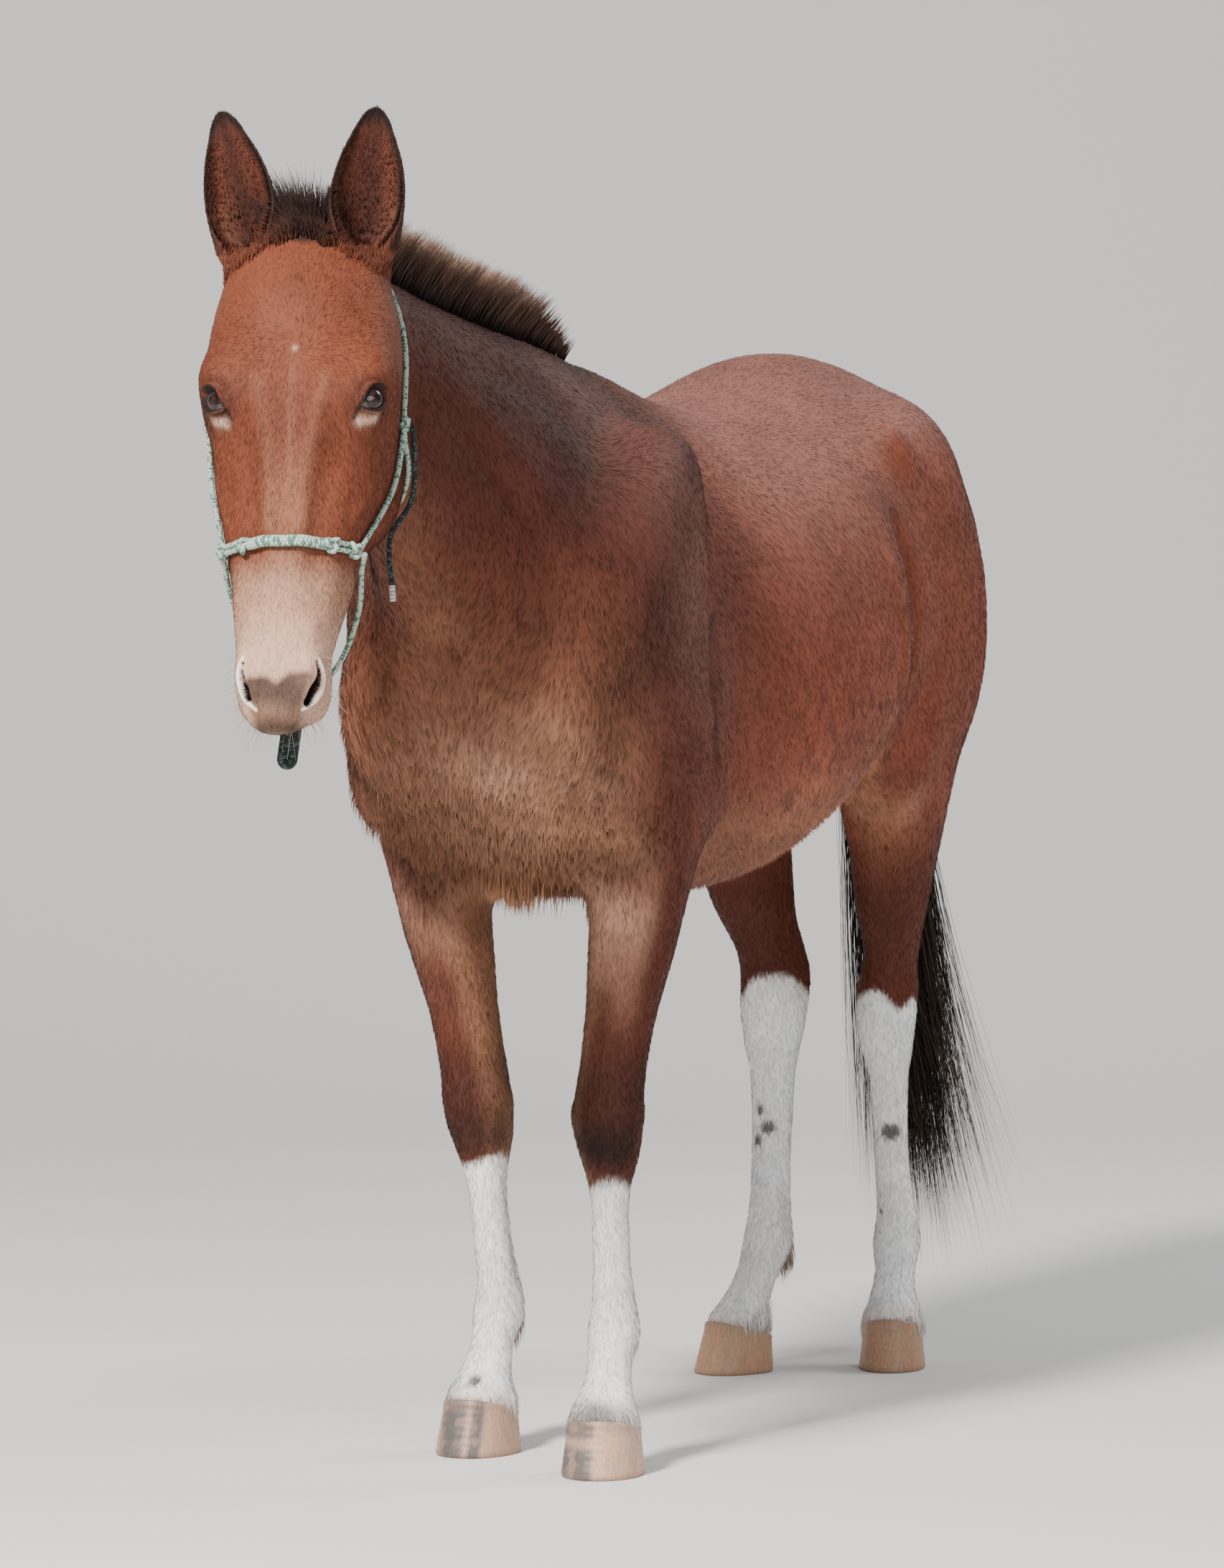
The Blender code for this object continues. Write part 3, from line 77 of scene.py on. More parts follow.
def from_head(points):
    return np.asarray(points) @ HEAD.T + POLL_AT


print("shift", [round(v, 4) for v in shift])

# %% [markdown]
# The camera stands to the mule's front left with a long lens, a little above the chest's height. The
# lens and place were worked out from the photo: the horizon gives the height, and the feet and
# withers give the distance.

# %% Camera


def new_object(name, data):
    made = bpy.data.objects.new(name, data)
    bpy.context.scene.collection.objects.link(made)
    return made


camera_data = bpy.data.cameras.new("camera")
camera_data.lens, camera_data.sensor_width = 156.6, 36.0
camera = new_object("camera", camera_data)
camera.location = Vector((3.618, -8.623, 1.33)) + shift
camera.rotation_euler = (math.radians(90 - 2.423), 0, math.radians(22))
bpy.context.scene.camera = camera
print("camera at", [round(v, 3) for v in camera.location])

# %% [markdown]
# The free end of the halter rope hangs from its knot behind the cheek: about 0.26 m of limp braid,
# 7 mm thick. The points are those of the solid, joined by one smooth curve.

# %% The path of the rope's free end
ROPE_RADIUS = 0.0036
low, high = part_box("halter_end")


def smooth_rows(rows, steps):
    """Rows of numbers joined by a smooth curve through each, with so many steps to a span."""
    rows = np.array(rows, float)
    ends = np.vstack([2 * rows[0] - rows[1], rows, 2 * rows[-1] - rows[-2]])
    found = []
    for i in range(len(rows) - 1):
        a, b, c, d = ends[i : i + 4]
        for t in np.arange(steps) / steps:
            bend = (2 * a - 5 * b + 4 * c - d) * t**2 + (3 * b - a - 3 * c + d) * t**3
            found.append(0.5 * (2 * b + (c - a) * t + bend))
    found.append(rows[-1])
    return np.array(found)


def lengths(vectors):
    return np.linalg.norm(vectors, axis=1)


def run_of(path):
    """How many metres along a path each of its points lies."""
    return np.concatenate([[0], np.cumsum(lengths(np.diff(path, axis=0)))])


def ring_faces(rows, around, other_way=False):
    """The four-sided faces between rings of points that were laid one after another."""
    faces = []
    for i in range(rows - 1):
        for k in range(around):
            a, b = i * around + k, i * around + (k + 1) % around
            faces.append((a, a + around, b + around, b) if other_way else (a, b, b + around, a + around))
    return faces


def face_outwards(mesh, weld=0.0):
    """Turns all faces of a closed mesh outwards, once points that lie together are welded."""
    shape = bmesh.new()
    shape.from_mesh(mesh)
    if weld:
        bmesh.ops.remove_doubles(shape, verts=shape.verts, dist=weld)
    bmesh.ops.recalc_face_normals(shape, faces=shape.faces)
    shape.to_mesh(mesh)
    shape.free()


def tube_mesh(name, path, radii, count=12, flat=1.0, across=None):
    """A round closed tube with its own UV map: U once round, V in metres along."""
    path = np.asarray(path, float)
    radii = np.broadcast_to(np.asarray(radii, float), len(path))
    along = np.gradient(path, axis=0)
    along /= lengths(along)[:, None]
    side = np.zeros_like(path)
    first = np.array((0.0, 1.0, 0.0)) if across is None else np.asarray(across, float)
    if abs(first @ along[0]) > 0.9:
        first = np.array((1.0, 0.0, 0.0))
    for i, t in enumerate(along):
        base = first if (i == 0 or across is not None) else side[i - 1]
        base = base - t * (base @ t)
        side[i] = base / max(np.linalg.norm(base), 1e-9)
    up = np.cross(along, side)
    turns = 2 * np.pi * np.arange(count) / count
    ring = np.cos(turns)[None, :, None] * side[:, None, :]
    ring = ring + np.sin(turns)[None, :, None] * up[:, None, :] * flat
    points = path[:, None, :] + ring * radii[:, None, None]
    rows = len(path)
    faces, uvs, run = ring_faces(rows, count), [], run_of(path)
    for i in range(rows - 1):
        for k in range(count):
            a, b = k / count, (k + 1) / count
            uvs += [(a, run[i]), (b, run[i]), (b, run[i + 1]), (a, run[i + 1])]
    for ring_at, order in ((0, -1), (rows - 1, 1)):
        faces.append(tuple(ring_at * count + k for k in range(count))[::order])
        uvs += [(k / count, run[ring_at]) for k in range(count)]
    mesh = bpy.data.meshes.new(name)
    mesh.from_pydata(points.reshape(-1, 3).tolist(), [], faces)
    layer = mesh.uv_layers.new(name="rope")
    layer.data.foreach_set("uv", np.array(uvs, np.float32).ravel())
    face_outwards(mesh)
    mesh.shade_smooth()
    return mesh


def add_piece(name, mesh, replaced=()):
    """A finished mesh as a piece that rides on the mule."""
    piece = new_object(name, mesh)
    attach(piece, "root")
    if replaced:
        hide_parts(*replaced)
    return piece


def merged_copy(node):
    """A CAD node's loose triangles welded into one closed mesh."""
    shape = bmesh.new()
    shape.from_mesh(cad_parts[node].data)
    bmesh.ops.remove_doubles(shape, verts=shape.verts, dist=0.00002)
    bmesh.ops.recalc_face_normals(shape, faces=shape.faces)
    return shape


ROPE_END = [
    (0.0784, -0.5488, 1.418),
    (0.0717, -0.5283, 1.385),
    (0.0628, -0.5069, 1.3506),
    (0.0465, -0.4865, 1.3167),
    (0.0204, -0.4847, 1.2817),
    (0.019, -0.49, 1.25),
    (0.022, -0.489, 1.22),
    (0.024, -0.489, 1.192),
]
end_path = smooth_rows(ROPE_END, 4) + SHIFT

# %% The rope's free end and its whipped tip
end_mesh = tube_mesh("rope_end", end_path, ROPE_RADIUS, 14)
rope_end = add_piece("rope_end", end_mesh, ["halter_end"])
tip_path = end_path[-4:] + np.array((0, 0, -0.0002))
tip_rows = np.linspace(0, 1, 22)
tip_line = np.array([np.interp(tip_rows, np.linspace(0, 1, 4), tip_path[:, k]) for k in range(3)]).T
tip_radii = ROPE_RADIUS * (1.1 + 0.06 * np.cos(np.arange(22) * np.pi))
rope_tip = add_piece("rope_tip", tube_mesh("rope_tip", tip_line, tip_radii, 14))

# %% [markdown]
# ## The skin
#
# A live animal has no seam, but the solids are cut into parts. Copies of the flesh parts, each swollen
# a hair's breadth so that the cuts close, are fused into one skin by a voxel remesh. The sockets and
# the ears' roots are filled first, because eyes and ears are made anew and finer.

# %% Fuse the flesh into one skin
FLESH = ["head", "neck", "torso"] + [f"leg_{a}_{b}" for a in ("fore", "hind") for b in ("left", "right")]
VOXEL = 0.0066
joined = bmesh.new()
for node in FLESH:
    shape = merged_copy(node)
    for vertex in shape.verts:
        vertex.co += vertex.normal * 0.0006
    if node.startswith("leg"):
        for vertex in shape.verts:
            if vertex.co.z < 0.0835:
                vertex.co.z -= 0.01
    copy = bpy.data.meshes.new("copy")
    shape.to_mesh(copy)
    shape.free()
    joined.from_mesh(copy)
    bpy.data.meshes.remove(copy)
for side in (-1, 1):
    eye_at = Matrix.Translation(head @ Vector((EYE_PLACE.x * side, EYE_PLACE.y, EYE_PLACE.z)))
    bmesh.ops.create_icosphere(joined, subdivisions=3, radius=EYE_RADIUS + 0.0006, matrix=eye_at)
    ear_root_at = head @ Matrix.Translation((0.069 * side, 0.012, -0.014))
    root = ear_root_at @ Matrix.Diagonal((0.039, 0.04, 0.036, 1))
    bmesh.ops.create_icosphere(joined, subdivisions=3, radius=1.0, matrix=root)
skin_mesh = bpy.data.meshes.new("skin")
joined.to_mesh(skin_mesh)
joined.free()
skin = new_object("skin", skin_mesh)


def select_only(obj):
    bpy.ops.object.select_all(action="DESELECT")
    obj.select_set(True)
    bpy.context.view_layer.objects.active = obj


select_only(skin)
fuse = skin.modifiers.new("fuse", "REMESH")
fuse.mode = "VOXEL"
fuse.voxel_size = VOXEL
bpy.ops.object.modifier_apply(modifier="fuse")
print("skin", len(skin.data.vertices), "points")

# %% [markdown]
# Arrays of numbers move thousands of points at once. The skin's points and edges are read into them,
# so that each region can be relaxed by its own amount: much on the trunk, little on face and legs.

# %% Helpers for moving many points


def read_points(mesh):
    points = np.empty(len(mesh.vertices) * 3, np.float32)
    mesh.vertices.foreach_get("co", points)
    return points.reshape(-1, 3).astype(float)


def write_points(mesh, points):
    mesh.vertices.foreach_set("co", np.asarray(points, np.float32).ravel())
    mesh.update()


def read_edges(mesh):
    edges = np.empty(len(mesh.edges) * 2, np.int32)
    mesh.edges.foreach_get("vertices", edges)
    return edges.reshape(-1, 2)


def read_normals(mesh):
    normals = np.empty(len(mesh.vertices) * 3, np.float32)
    mesh.vertex_normals.foreach_get("vector", normals)
    return normals.reshape(-1, 3).astype(float)


def relax(points, edges, weight, rounds):
    """Each round moves each point towards the middle of its neighbours by its own weight."""
    a, b = edges.T
    n = len(points)
    degree = np.maximum(np.bincount(np.concatenate([a, b]), minlength=n), 1)[:, None]
    for _ in range(rounds):
        middle = np.empty_like(points)
        for k in range(3):
            middle[:, k] = np.bincount(a, points[b, k], n) + np.bincount(b, points[a, k], n)
        points = points + weight[:, None] * (middle / degree - points)
    return points


def ramp(value, start, stop):
    """0 before start, 1 after stop, and a soft curve between them."""
    t = np.clip((value - start) / (stop - start), 0, 1)
    return t * t * (3 - 2 * t)


def spread(value, middle, width):
    return np.exp(-(((value - middle) / width) ** 2))


def to_line(points, line):
    """Each point's distance to a polyline, and how far along it, from 0 to 1, the nearest place is."""
    line = np.asarray(line, float)
    best = np.full(len(points), 9.0)
    where = np.zeros(len(points))
    for i in range(len(line) - 1):
        a, d = line[i], line[i + 1] - line[i]
        t = np.clip(((points - a) @ d) / max(d @ d, 1e-12), 0, 1)
        gap = lengths(points - a - t[:, None] * d)
        nearer = gap < best
        best[nearer] = gap[nearer]
        where[nearer] = (i + t[nearer]) / (len(line) - 1)
    return best, where


def throat_side(points):
    """How far a point lies on the head's side of the throat, in metres."""
    facing = np.array((0.12, -0.97, -0.2))
    return (points - SHIFT - np.array((-0.05, -0.468, 1.5))) @ (facing / np.linalg.norm(facing))


print("helpers ready")

# %% Take the mane and forelock lumps down, and relax
# how far along the body, how far to the side, and how high
CREST = [(0.34, 0.0, 1.425), (0.16, 0.0, 1.513), (-0.02, -0.003, 1.547), (-0.18, -0.01, 1.57)]
CREST += [(-0.33, -0.024, 1.601), (-0.455, -0.042, 1.633), (-0.545, -0.054, 1.649)]
crest_rows = smooth_rows(CREST, 8)[::-1]


def crest_at(y):
    """The crest's x and height at a place along the body, in the solids' first frame."""
    return tuple(np.interp(y, crest_rows[:, 0], crest_rows[:, k]) for k in (1, 2))


points, edges = read_points(skin.data), read_edges(skin.data)
place, face_place = points - SHIFT, in_head(points)
crest_x, crest_z = crest_at(place[:, 1])
over = place[:, 2] - crest_z
on_mane = (np.abs(place[:, 0] - crest_x) < 0.075) & (place[:, 1] > -0.53)
on_mane &= (place[:, 1] < 0.16) & (over > 0)
points[on_mane, 2] -= over[on_mane] * 0.6
POLL_HALF, POLL_TOP = 0.055, 0.016
lump = (np.abs(face_place[:, 0]) < POLL_HALF) & (np.abs(face_place[:, 1] + 0.005) < 0.085)
lump &= (face_place[:, 2] > POLL_TOP) & (throat_side(points) > 0.0)
lowered = face_place[lump]
dome = 0.02 - 0.011 * (lowered[:, 0] / POLL_HALF) ** 2
lowered[:, 2] = dome + (lowered[:, 2] - POLL_TOP) * 0.12
points[lump] = from_head(lowered)
on_face = ramp(throat_side(points), -0.02, 0.04) * ramp(place[:, 2], 0.93, 1.0)
on_leg = 1 - ramp(place[:, 2], 0.66, 0.84)
on_neck = ramp(-place[:, 1], 0.05, 0.25)
weight = 0.5 * (1 - 0.45 * on_neck) * (1 - 0.8 * on_face) * (1 - 0.88 * on_leg)
weight = np.where(on_mane | lump, 0.5, weight)
points = relax(points, edges, weight, 100)
write_points(skin.data, points)
print("relaxed;", int(on_mane.sum()), "mane points lowered")

# %% [markdown]
# The face has the finest forms, so the skin is divided there until its faces are small enough to
# carry lids, nostrils and lips: once over the head, and again round the openings.

# %% Divide the face more finely


def divide(mesh, wanted):
    """Splits each edge whose two ends are wanted."""
    shape = bmesh.new()
    shape.from_mesh(mesh)
    chosen = [e for e in shape.edges if wanted[e.verts[0].index] and wanted[e.verts[1].index]]
    bmesh.ops.subdivide_edges(shape, edges=chosen, cuts=1, use_grid_fill=True)
    bmesh.ops.triangulate(shape, faces=[f for f in shape.faces if len(f.verts) > 4])
    shape.to_mesh(mesh)
    shape.free()
    mesh.update()


def eye_matrix(side):
    """The eye's frame: Z straight out of the socket, X towards the inner corner of the lids."""
    centre = head @ Vector((EYE_PLACE.x * side, EYE_PLACE.y, EYE_PLACE.z))
    out = head.to_3x3() @ Vector((EYE_OUT.x * side, EYE_OUT.y, EYE_OUT.z))
    corner = head.to_3x3() @ Vector((-0.42 * side, -0.62, -0.62))
    out.normalize()
    along = (corner - out * corner.dot(out)).normalized()
    return Matrix.Translation(centre) @ Matrix((along, out.cross(along), out)).transposed().to_4x4()


EYES = {side: eye_matrix(side) for side in (-1, 1)}


def head_way(side, way):
    """A direction of the head's frame as the eye's frame has it."""
    return EYES[side].to_3x3().inverted() @ head.to_3x3() @ Vector(way)


EYE_UP = {side: math.copysign(1, head_way(side, (0, 0, 1)).y) for side in (-1, 1)}


def in_eye(points, side):
    """Points in an eye's frame. Y is made to run upwards on both sides."""
    found = (points - np.array(EYES[side].translation)) @ np.array(EYES[side].to_3x3())
    found[:, 1] *= EYE_UP[side]
    return found


def from_eye(points, side):
    points = points * np.array((1, EYE_UP[side], 1))
    return points @ np.array(EYES[side].to_3x3()).T + np.array(EYES[side].translation)


NOSTRILS = {
    1: [(0.054, -0.042, -0.558), (0.056, -0.038, -0.574), (0.054, -0.038, -0.588), (0.044, -0.042, -0.613)],
    -1: [(-0.046, -0.051, -0.558), (-0.046, -0.05, -0.576), (-0.043, -0.048, -0.592),
         (-0.036, -0.043, -0.608)],
}
NOSTRIL_RIMS = {
    1: [(0.056, -0.04, -0.552), (0.0605, -0.028, -0.568), (0.0595, -0.022, -0.591),
        (0.05, -0.034, -0.61), (0.034, -0.042, -0.622)],
    -1: [(-0.047, -0.05, -0.552), (-0.05, -0.046, -0.57), (-0.0485, -0.042, -0.588),
         (-0.04, -0.041, -0.606), (-0.026, -0.045, -0.622)],
}
LIPS = [(-0.056, 0.03, -0.56), (-0.052, 0.022, -0.6), (-0.034, 0.012, -0.64), (0.0, 0.01, -0.652)]
LIPS += [(-x, y, z) for x, y, z in LIPS[-2::-1]]


def flipped(line):
    return [(-x, y, z) for x, y, z in line]


points = read_points(skin.data)
divide(skin.data, (throat_side(points) > -0.01) & (points[:, 2] > 0.93))
points = read_points(skin.data)
near = np.zeros(len(points), bool)
for side in (-1, 1):
    near |= lengths(points - np.array(EYES[side].translation)) < 0.052
face_place = in_head(points)
for line, reach in ((NOSTRILS[1], 0.03), (NOSTRILS[-1], 0.03), (LIPS, 0.016)):
    near |= to_line(face_place, smooth_rows(line, 3))[0] < reach
divide(skin.data, near)
points, edges = read_points(skin.data), read_edges(skin.data)
on_face = ramp(throat_side(points), -0.01, 0.02) * (points[:, 2] > 0.93)
points = relax(points, edges, 0.5 * on_face, 5)
write_points(skin.data, points)
print("skin", len(points), "points after dividing")

# %% [markdown]
# Broad strokes bring out bone and muscle as a sculptor's thumb would: each is a line over the body, a
# reach and a depth. A stroke pushes the points near its line in or out along the skin's normals.

# %% Sculpt the body


def stroke(points, normals, line, reach, depth, mirror=True, frame_of="body"):
    """Moves points near a line out by depth, or in where depth is negative."""
    local = in_head(points) if frame_of == "head" else points - SHIFT
    for path in (line, flipped(line)) if mirror else (line,):
        path = np.asarray(path, float)
        box = np.all((local > path.min(0) - reach * 2) & (local < path.max(0) + reach * 2), axis=1)
        index = np.flatnonzero(box)
        if not len(index):
            continue
        gap, where = to_line(local[index], smooth_rows(path, 4))
        fade = np.clip(np.minimum(where, 1 - where) * 5, 0, 1) * 0.75 + 0.25
        points[index] += normals[index] * (depth * fade * np.exp(-((gap / reach) ** 2)))[:, None]
    return points


BODY_STROKES = [
    # the groove between the breast muscles, the windpipe's groove, the shoulder blade and behind it
    ([(0, -0.27, 1.2), (0, -0.28, 1.08), (0, -0.25, 0.95), (0, -0.18, 0.86)], 0.022, -0.012),
    ([(0.06, -0.44, 1.34), (0.085, -0.33, 1.2), (0.115, -0.24, 1.06)], 0.024, -0.009),
    ([(0.06, -0.3, 1.52), (0.095, -0.12, 1.44), (0.15, 0.02, 1.33)], 0.03, -0.004),
    ([(0.11, 0.08, 1.45), (0.18, -0.02, 1.3), (0.22, -0.11, 1.12)], 0.04, 0.007),
    ([(0.15, 0.22, 1.42), (0.225, 0.17, 1.25), (0.25, 0.15, 1.08), (0.235, 0.16, 0.95)], 0.04, -0.0035),
    ([(0.215, -0.14, 1.1), (0.225, -0.06, 1.03), (0.225, 0.06, 0.99)], 0.022, -0.007),
    ([(0.235, 0.08, 1.06), (0.235, 0.12, 0.98), (0.215, 0.13, 0.9)], 0.03, 0.006),
    # the flank's fold, the point of the hip, the thigh's hind edge and the groove before it
    ([(0.285, 0.78, 1.33), (0.285, 0.83, 1.2), (0.262, 0.86, 1.06), (0.225, 0.85, 0.96)], 0.026, -0.014),
    ([(0.3, 0.7, 1.3), (0.3, 0.74, 1.14), (0.27, 0.77, 1.00)], 0.03, 0.004),
    ([(0.215, 0.86, 1.44), (0.245, 0.91, 1.37)], 0.03, 0.008),
    ([(0.23, 1.24, 1.28), (0.24, 1.22, 1.14), (0.205, 1.2, 1.00), (0.15, 1.22, 0.86)], 0.024, -0.008),
    ([(0.25, 1.05, 1.06), (0.225, 1.02, 0.96), (0.19, 1.04, 0.86)], 0.04, 0.006),
    # the crease behind the elbow, the folds of the breast and the muscle over the forearm
    ([(0.235, 0.125, 1.16), (0.242, 0.112, 1.06), (0.235, 0.11, 0.98), (0.215, 0.115, 0.9)], 0.014, -0.012),
    ([(0.15, -0.23, 1.02), (0.12, -0.24, 0.93), (0.06, -0.2, 0.86)], 0.02, -0.007),
    ([(0.085, -0.27, 1.1), (0.085, -0.27, 0.98), (0.06, -0.22, 0.9)], 0.045, 0.008),
    ([(0.19, -0.1, 0.93), (0.18, -0.08, 0.83), (0.155, -0.05, 0.72)], 0.03, 0.005),
    ([(0.12, -0.1, 0.9), (0.125, -0.09, 0.8), (0.13, -0.06, 0.66)], 0.014, -0.004),
    # the neck's own muscles
    ([(0.075, -0.42, 1.52), (0.1, -0.3, 1.42), (0.13, -0.18, 1.3)], 0.03, 0.004),
    ([(0.07, -0.4, 1.46), (0.1, -0.28, 1.34), (0.135, -0.18, 1.22)], 0.02, -0.005),
]
points, normals = read_points(skin.data), read_normals(skin.data)
for line, reach, depth in BODY_STROKES:
    points = stroke(points, normals, line, reach, depth * 1.5, mirror=line[0][0] != 0)

# %% Tendons and joints of the legs
FEET = {
    "fore_left": (1, (0.148, -0.065), 9, (0.126, 0.004)),
    "fore_right": (-1, (0.092, 0.07), 2, (0.119, 0.128)),
    "hind_left": (1, (0.131, 1.15), 14, (0.094, 1.226)),
    "hind_right": (-1, (0.072, 1.022), 26, (0.072, 1.17)),
}


def leg_axis(name):
    """The middle of the leg below the knee or hock: rows of x, y, z, and which way is out and back."""
    side, hoof, toe, joint = FEET[name]
    angle = math.radians(toe)
    fetlock = (hoof[0] - 0.058 * math.sin(angle), hoof[1] + 0.058 * math.cos(angle))
    top = 0.475 if name.startswith("fore") else 0.565
    line = np.array([(joint[0] * side, joint[1], top), (fetlock[0] * side, fetlock[1], 0.185)])
    back = np.array((-math.sin(angle) * side, math.cos(angle), 0))
    return line, np.array((math.cos(angle), math.sin(angle) * side, 0)), back


for name in FEET:
    (top, low_end), out, back = leg_axis(name)
    rise = np.array((0, 0, 1))
    for way in (-1, 1):
        shank = [top * (1 - t) + low_end * t + out * 0.03 * way for t in (0.28, 0.5, 0.72, 0.88)]
        groove = [p + back * 0.014 for p in shank]
        points = stroke(points, normals, groove, 0.008, -0.0035, mirror=False)
        shank = [top * (1 - t) + low_end * t + out * 0.028 * way for t in (0.3, 0.6, 0.85)]
        bone = [p - back * 0.01 for p in shank]
        points = stroke(points, normals, bone, 0.01, 0.001, mirror=False)
        knob = [top + out * 0.05 * way + rise * 0.028, top + out * 0.05 * way - rise * 0.006]
        points = stroke(points, normals, knob, 0.018, 0.003, mirror=False)
        joint = [low_end + out * 0.038 * way + back * reach for reach in (0.004, 0.014)]
        points = stroke(points, normals, joint, 0.016, 0.0025, mirror=False)
    step = [low_end + back * 0.048 + rise * 0.004, low_end + back * 0.048 - rise * 0.01]
    points = stroke(points, normals, step, 0.02, 0.004, mirror=False)
write_points(skin.data, points)
print("body and legs sculpted with", len(BODY_STROKES) + 28, "strokes")

# %% [markdown]
# On the face the strokes are smaller: the long crest below the eye, the edges of the nose bone, the
# hollow over the eye, the folds of the lids, the rims of the nostrils and the line of the mouth.

# %% Sculpt the face
FACE_STROKES = [
    # the crest of the cheek and the hollow under it
    ([(0.1, 0.035, -0.235), (0.094, 0.000, -0.3), (0.078, -0.022, -0.37)], 0.009, 0.006),
    ([(0.09, 0.028, -0.345), (0.078, 0.000, -0.41), (0.062, -0.004, -0.47)], 0.02, -0.004),
    # the edges of the nose bone, the flat between them and the hollows beside it
    ([(0.046, -0.084, -0.195), (0.036, -0.081, -0.235), (0.025, -0.075, -0.305), (0.023, -0.069, -0.365),
      (0.021, -0.062, -0.45)], 0.011, 0.0036),
    ([(0.0, -0.088, -0.21), (0.0, -0.08, -0.3), (0.0, -0.07, -0.42)], 0.011, -0.0012),
    ([(0.066, -0.07, -0.245), (0.052, -0.064, -0.32), (0.044, -0.056, -0.4), (0.04, -0.046, -0.47)],
     0.019, -0.005),
    # the arch over the eye, the hollow over that, and the temple
    ([(0.111, -0.022, -0.186), (0.102, -0.05, -0.18), (0.084, -0.066, -0.196)], 0.011, 0.0055),
    ([(0.092, -0.006, -0.135), (0.078, -0.03, -0.128)], 0.018, -0.006),
    ([(0.083, -0.072, -0.228), (0.078, -0.07, -0.262)], 0.008, -0.0035),
    ([(0.104, -0.03, -0.248), (0.094, -0.046, -0.256)], 0.007, 0.002),
    ([(0.112, 0.09, -0.15), (0.116, 0.11, -0.25), (0.098, 0.1, -0.34)], 0.022, 0.0035),
    ([(0.108, 0.02, -0.15), (0.112, 0.032, -0.19)], 0.016, 0.003),
    # above the nostrils, between them, the chin and the corners of the mouth
    ([(0.046, -0.052, -0.5), (0.05, -0.048, -0.535)], 0.012, 0.003),
    ([(0.03, -0.056, -0.54), (0.03, -0.054, -0.59)], 0.009, -0.003),
    ([(0.0, -0.052, -0.56), (0.0, -0.052, -0.605)], 0.012, 0.002),
    ([(0.0, -0.04, -0.628), (0.0, -0.03, -0.645)], 0.007, -0.0025),
    ([(0.02, -0.036, -0.632), (0.026, -0.028, -0.64)], 0.01, 0.002),
    ([(0.03, 0.045, -0.59), (0.0, 0.06, -0.6)], 0.01, 0.003),
    ([(0.058, 0.03, -0.545), (0.06, 0.034, -0.52)], 0.008, -0.003),
]
points, normals = read_points(skin.data), read_normals(skin.data)
for line, reach, depth in FACE_STROKES:
    points = stroke(points, normals, line, reach, depth, mirror=line[0][0] != 0, frame_of="head")
face = in_head(points)
on_face = ramp(throat_side(points), 0.0, 0.06) * (points[:, 2] > 0.93)
down = -face[:, 2]
sway = on_face * (-0.004 * ramp(down, 0.26, 0.4) - 0.006 * ramp(down, 0.42, 0.58))
face[:, 0] *= 1 - on_face * 0.055 * spread(down, 0.6, 0.055)
face[:, 0] += sway - on_face * 0.005 * ramp(-face[:, 0], 0.05, 0.1) * spread(down, 0.2, 0.1)
points = np.where((on_face > 0)[:, None], from_head(face), points)
write_points(skin.data, points)

# %% Inset the skin by the depth of the coat
points, normals = read_points(skin.data), read_normals(skin.data)
place = points - SHIFT
on_face = ramp(throat_side(points), -0.02, 0.03) * (points[:, 2] > 0.93)
on_leg = 1 - ramp(place[:, 2], 0.55, 0.8)
coat_depth = 0.0022 * (1 - 0.65 * on_face) * (1 - 0.75 * on_leg)
points -= normals * coat_depth[:, None]
write_points(skin.data, points)
points, normals = read_points(skin.data), read_normals(skin.data)
flare = spread(points[:, 2], 0.086, 0.01) * 0.003
level_normals = normals * np.array((1, 1, 0))
write_points(skin.data, points + level_normals * flare[:, None])
print("inset by", (coat_depth.min() * 1000).round(1), "to", (coat_depth.max() * 1000).round(1), "mm")

# %% Cut in the lids, nostrils and lips
LID_LONG, LID_OPEN = 0.023, 0.015


def almond(u, v):
    """Below 1 inside the opening of the lids, 1 on its edge."""
    lift = np.clip(1 - (u / LID_LONG) ** 2, 0, 1) ** 0.75
    height = np.where(v > 0, LID_OPEN, LID_OPEN * 0.92) * np.maximum(lift, 0.02)
    return np.where(np.abs(u) < LID_LONG, np.abs(v) / height, 9.0)


points = read_points(skin.data)
for side in (-1, 1):
    eye = in_eye(points, side)
    index = np.flatnonzero((lengths(eye) < 0.05) & (eye[:, 2] > 0.0))
    local = eye[index]
    ratio = almond(local[:, 0], local[:, 1])
    radius = lengths(local)
    inside = ramp(-ratio, -1.05, -0.8)
    lid = EYE_RADIUS + 0.0024
    close = 1 - ramp(radius - EYE_RADIUS, 0.004, 0.02)
    sunk = (1 - inside) * np.maximum(radius, lid) + inside * (EYE_RADIUS - 0.0035)
    wanted = np.where(inside > 0, sunk, np.maximum(radius, lid * close))
    fold = spread(ratio, 1.75, 0.28) * (local[:, 1] > -0.004) * -0.0022
    swell = spread(ratio, 1.28, 0.22) * 0.0012
    wanted = wanted + (fold + swell) * (np.abs(local[:, 0]) < 0.03)
    points[index] = from_eye(local / radius[:, None] * wanted[:, None], side)
write_points(skin.data, points)
uncut = BVHTree.FromPolygons([Vector(p) for p in points], [tuple(f.vertices) for f in skin.data.polygons])


def laid(line):
    """A line on the face, laid on the skin as it was before the cuts, in the head's frame."""
    return in_head([tuple(uncut.find_nearest(head @ Vector(p))[0]) for p in smooth_rows(line, 5)])


def swayed(line):
    """A line by the mouth, moved over with the lower head."""
    return [(x - 0.008, y, z) for x, y, z in line]


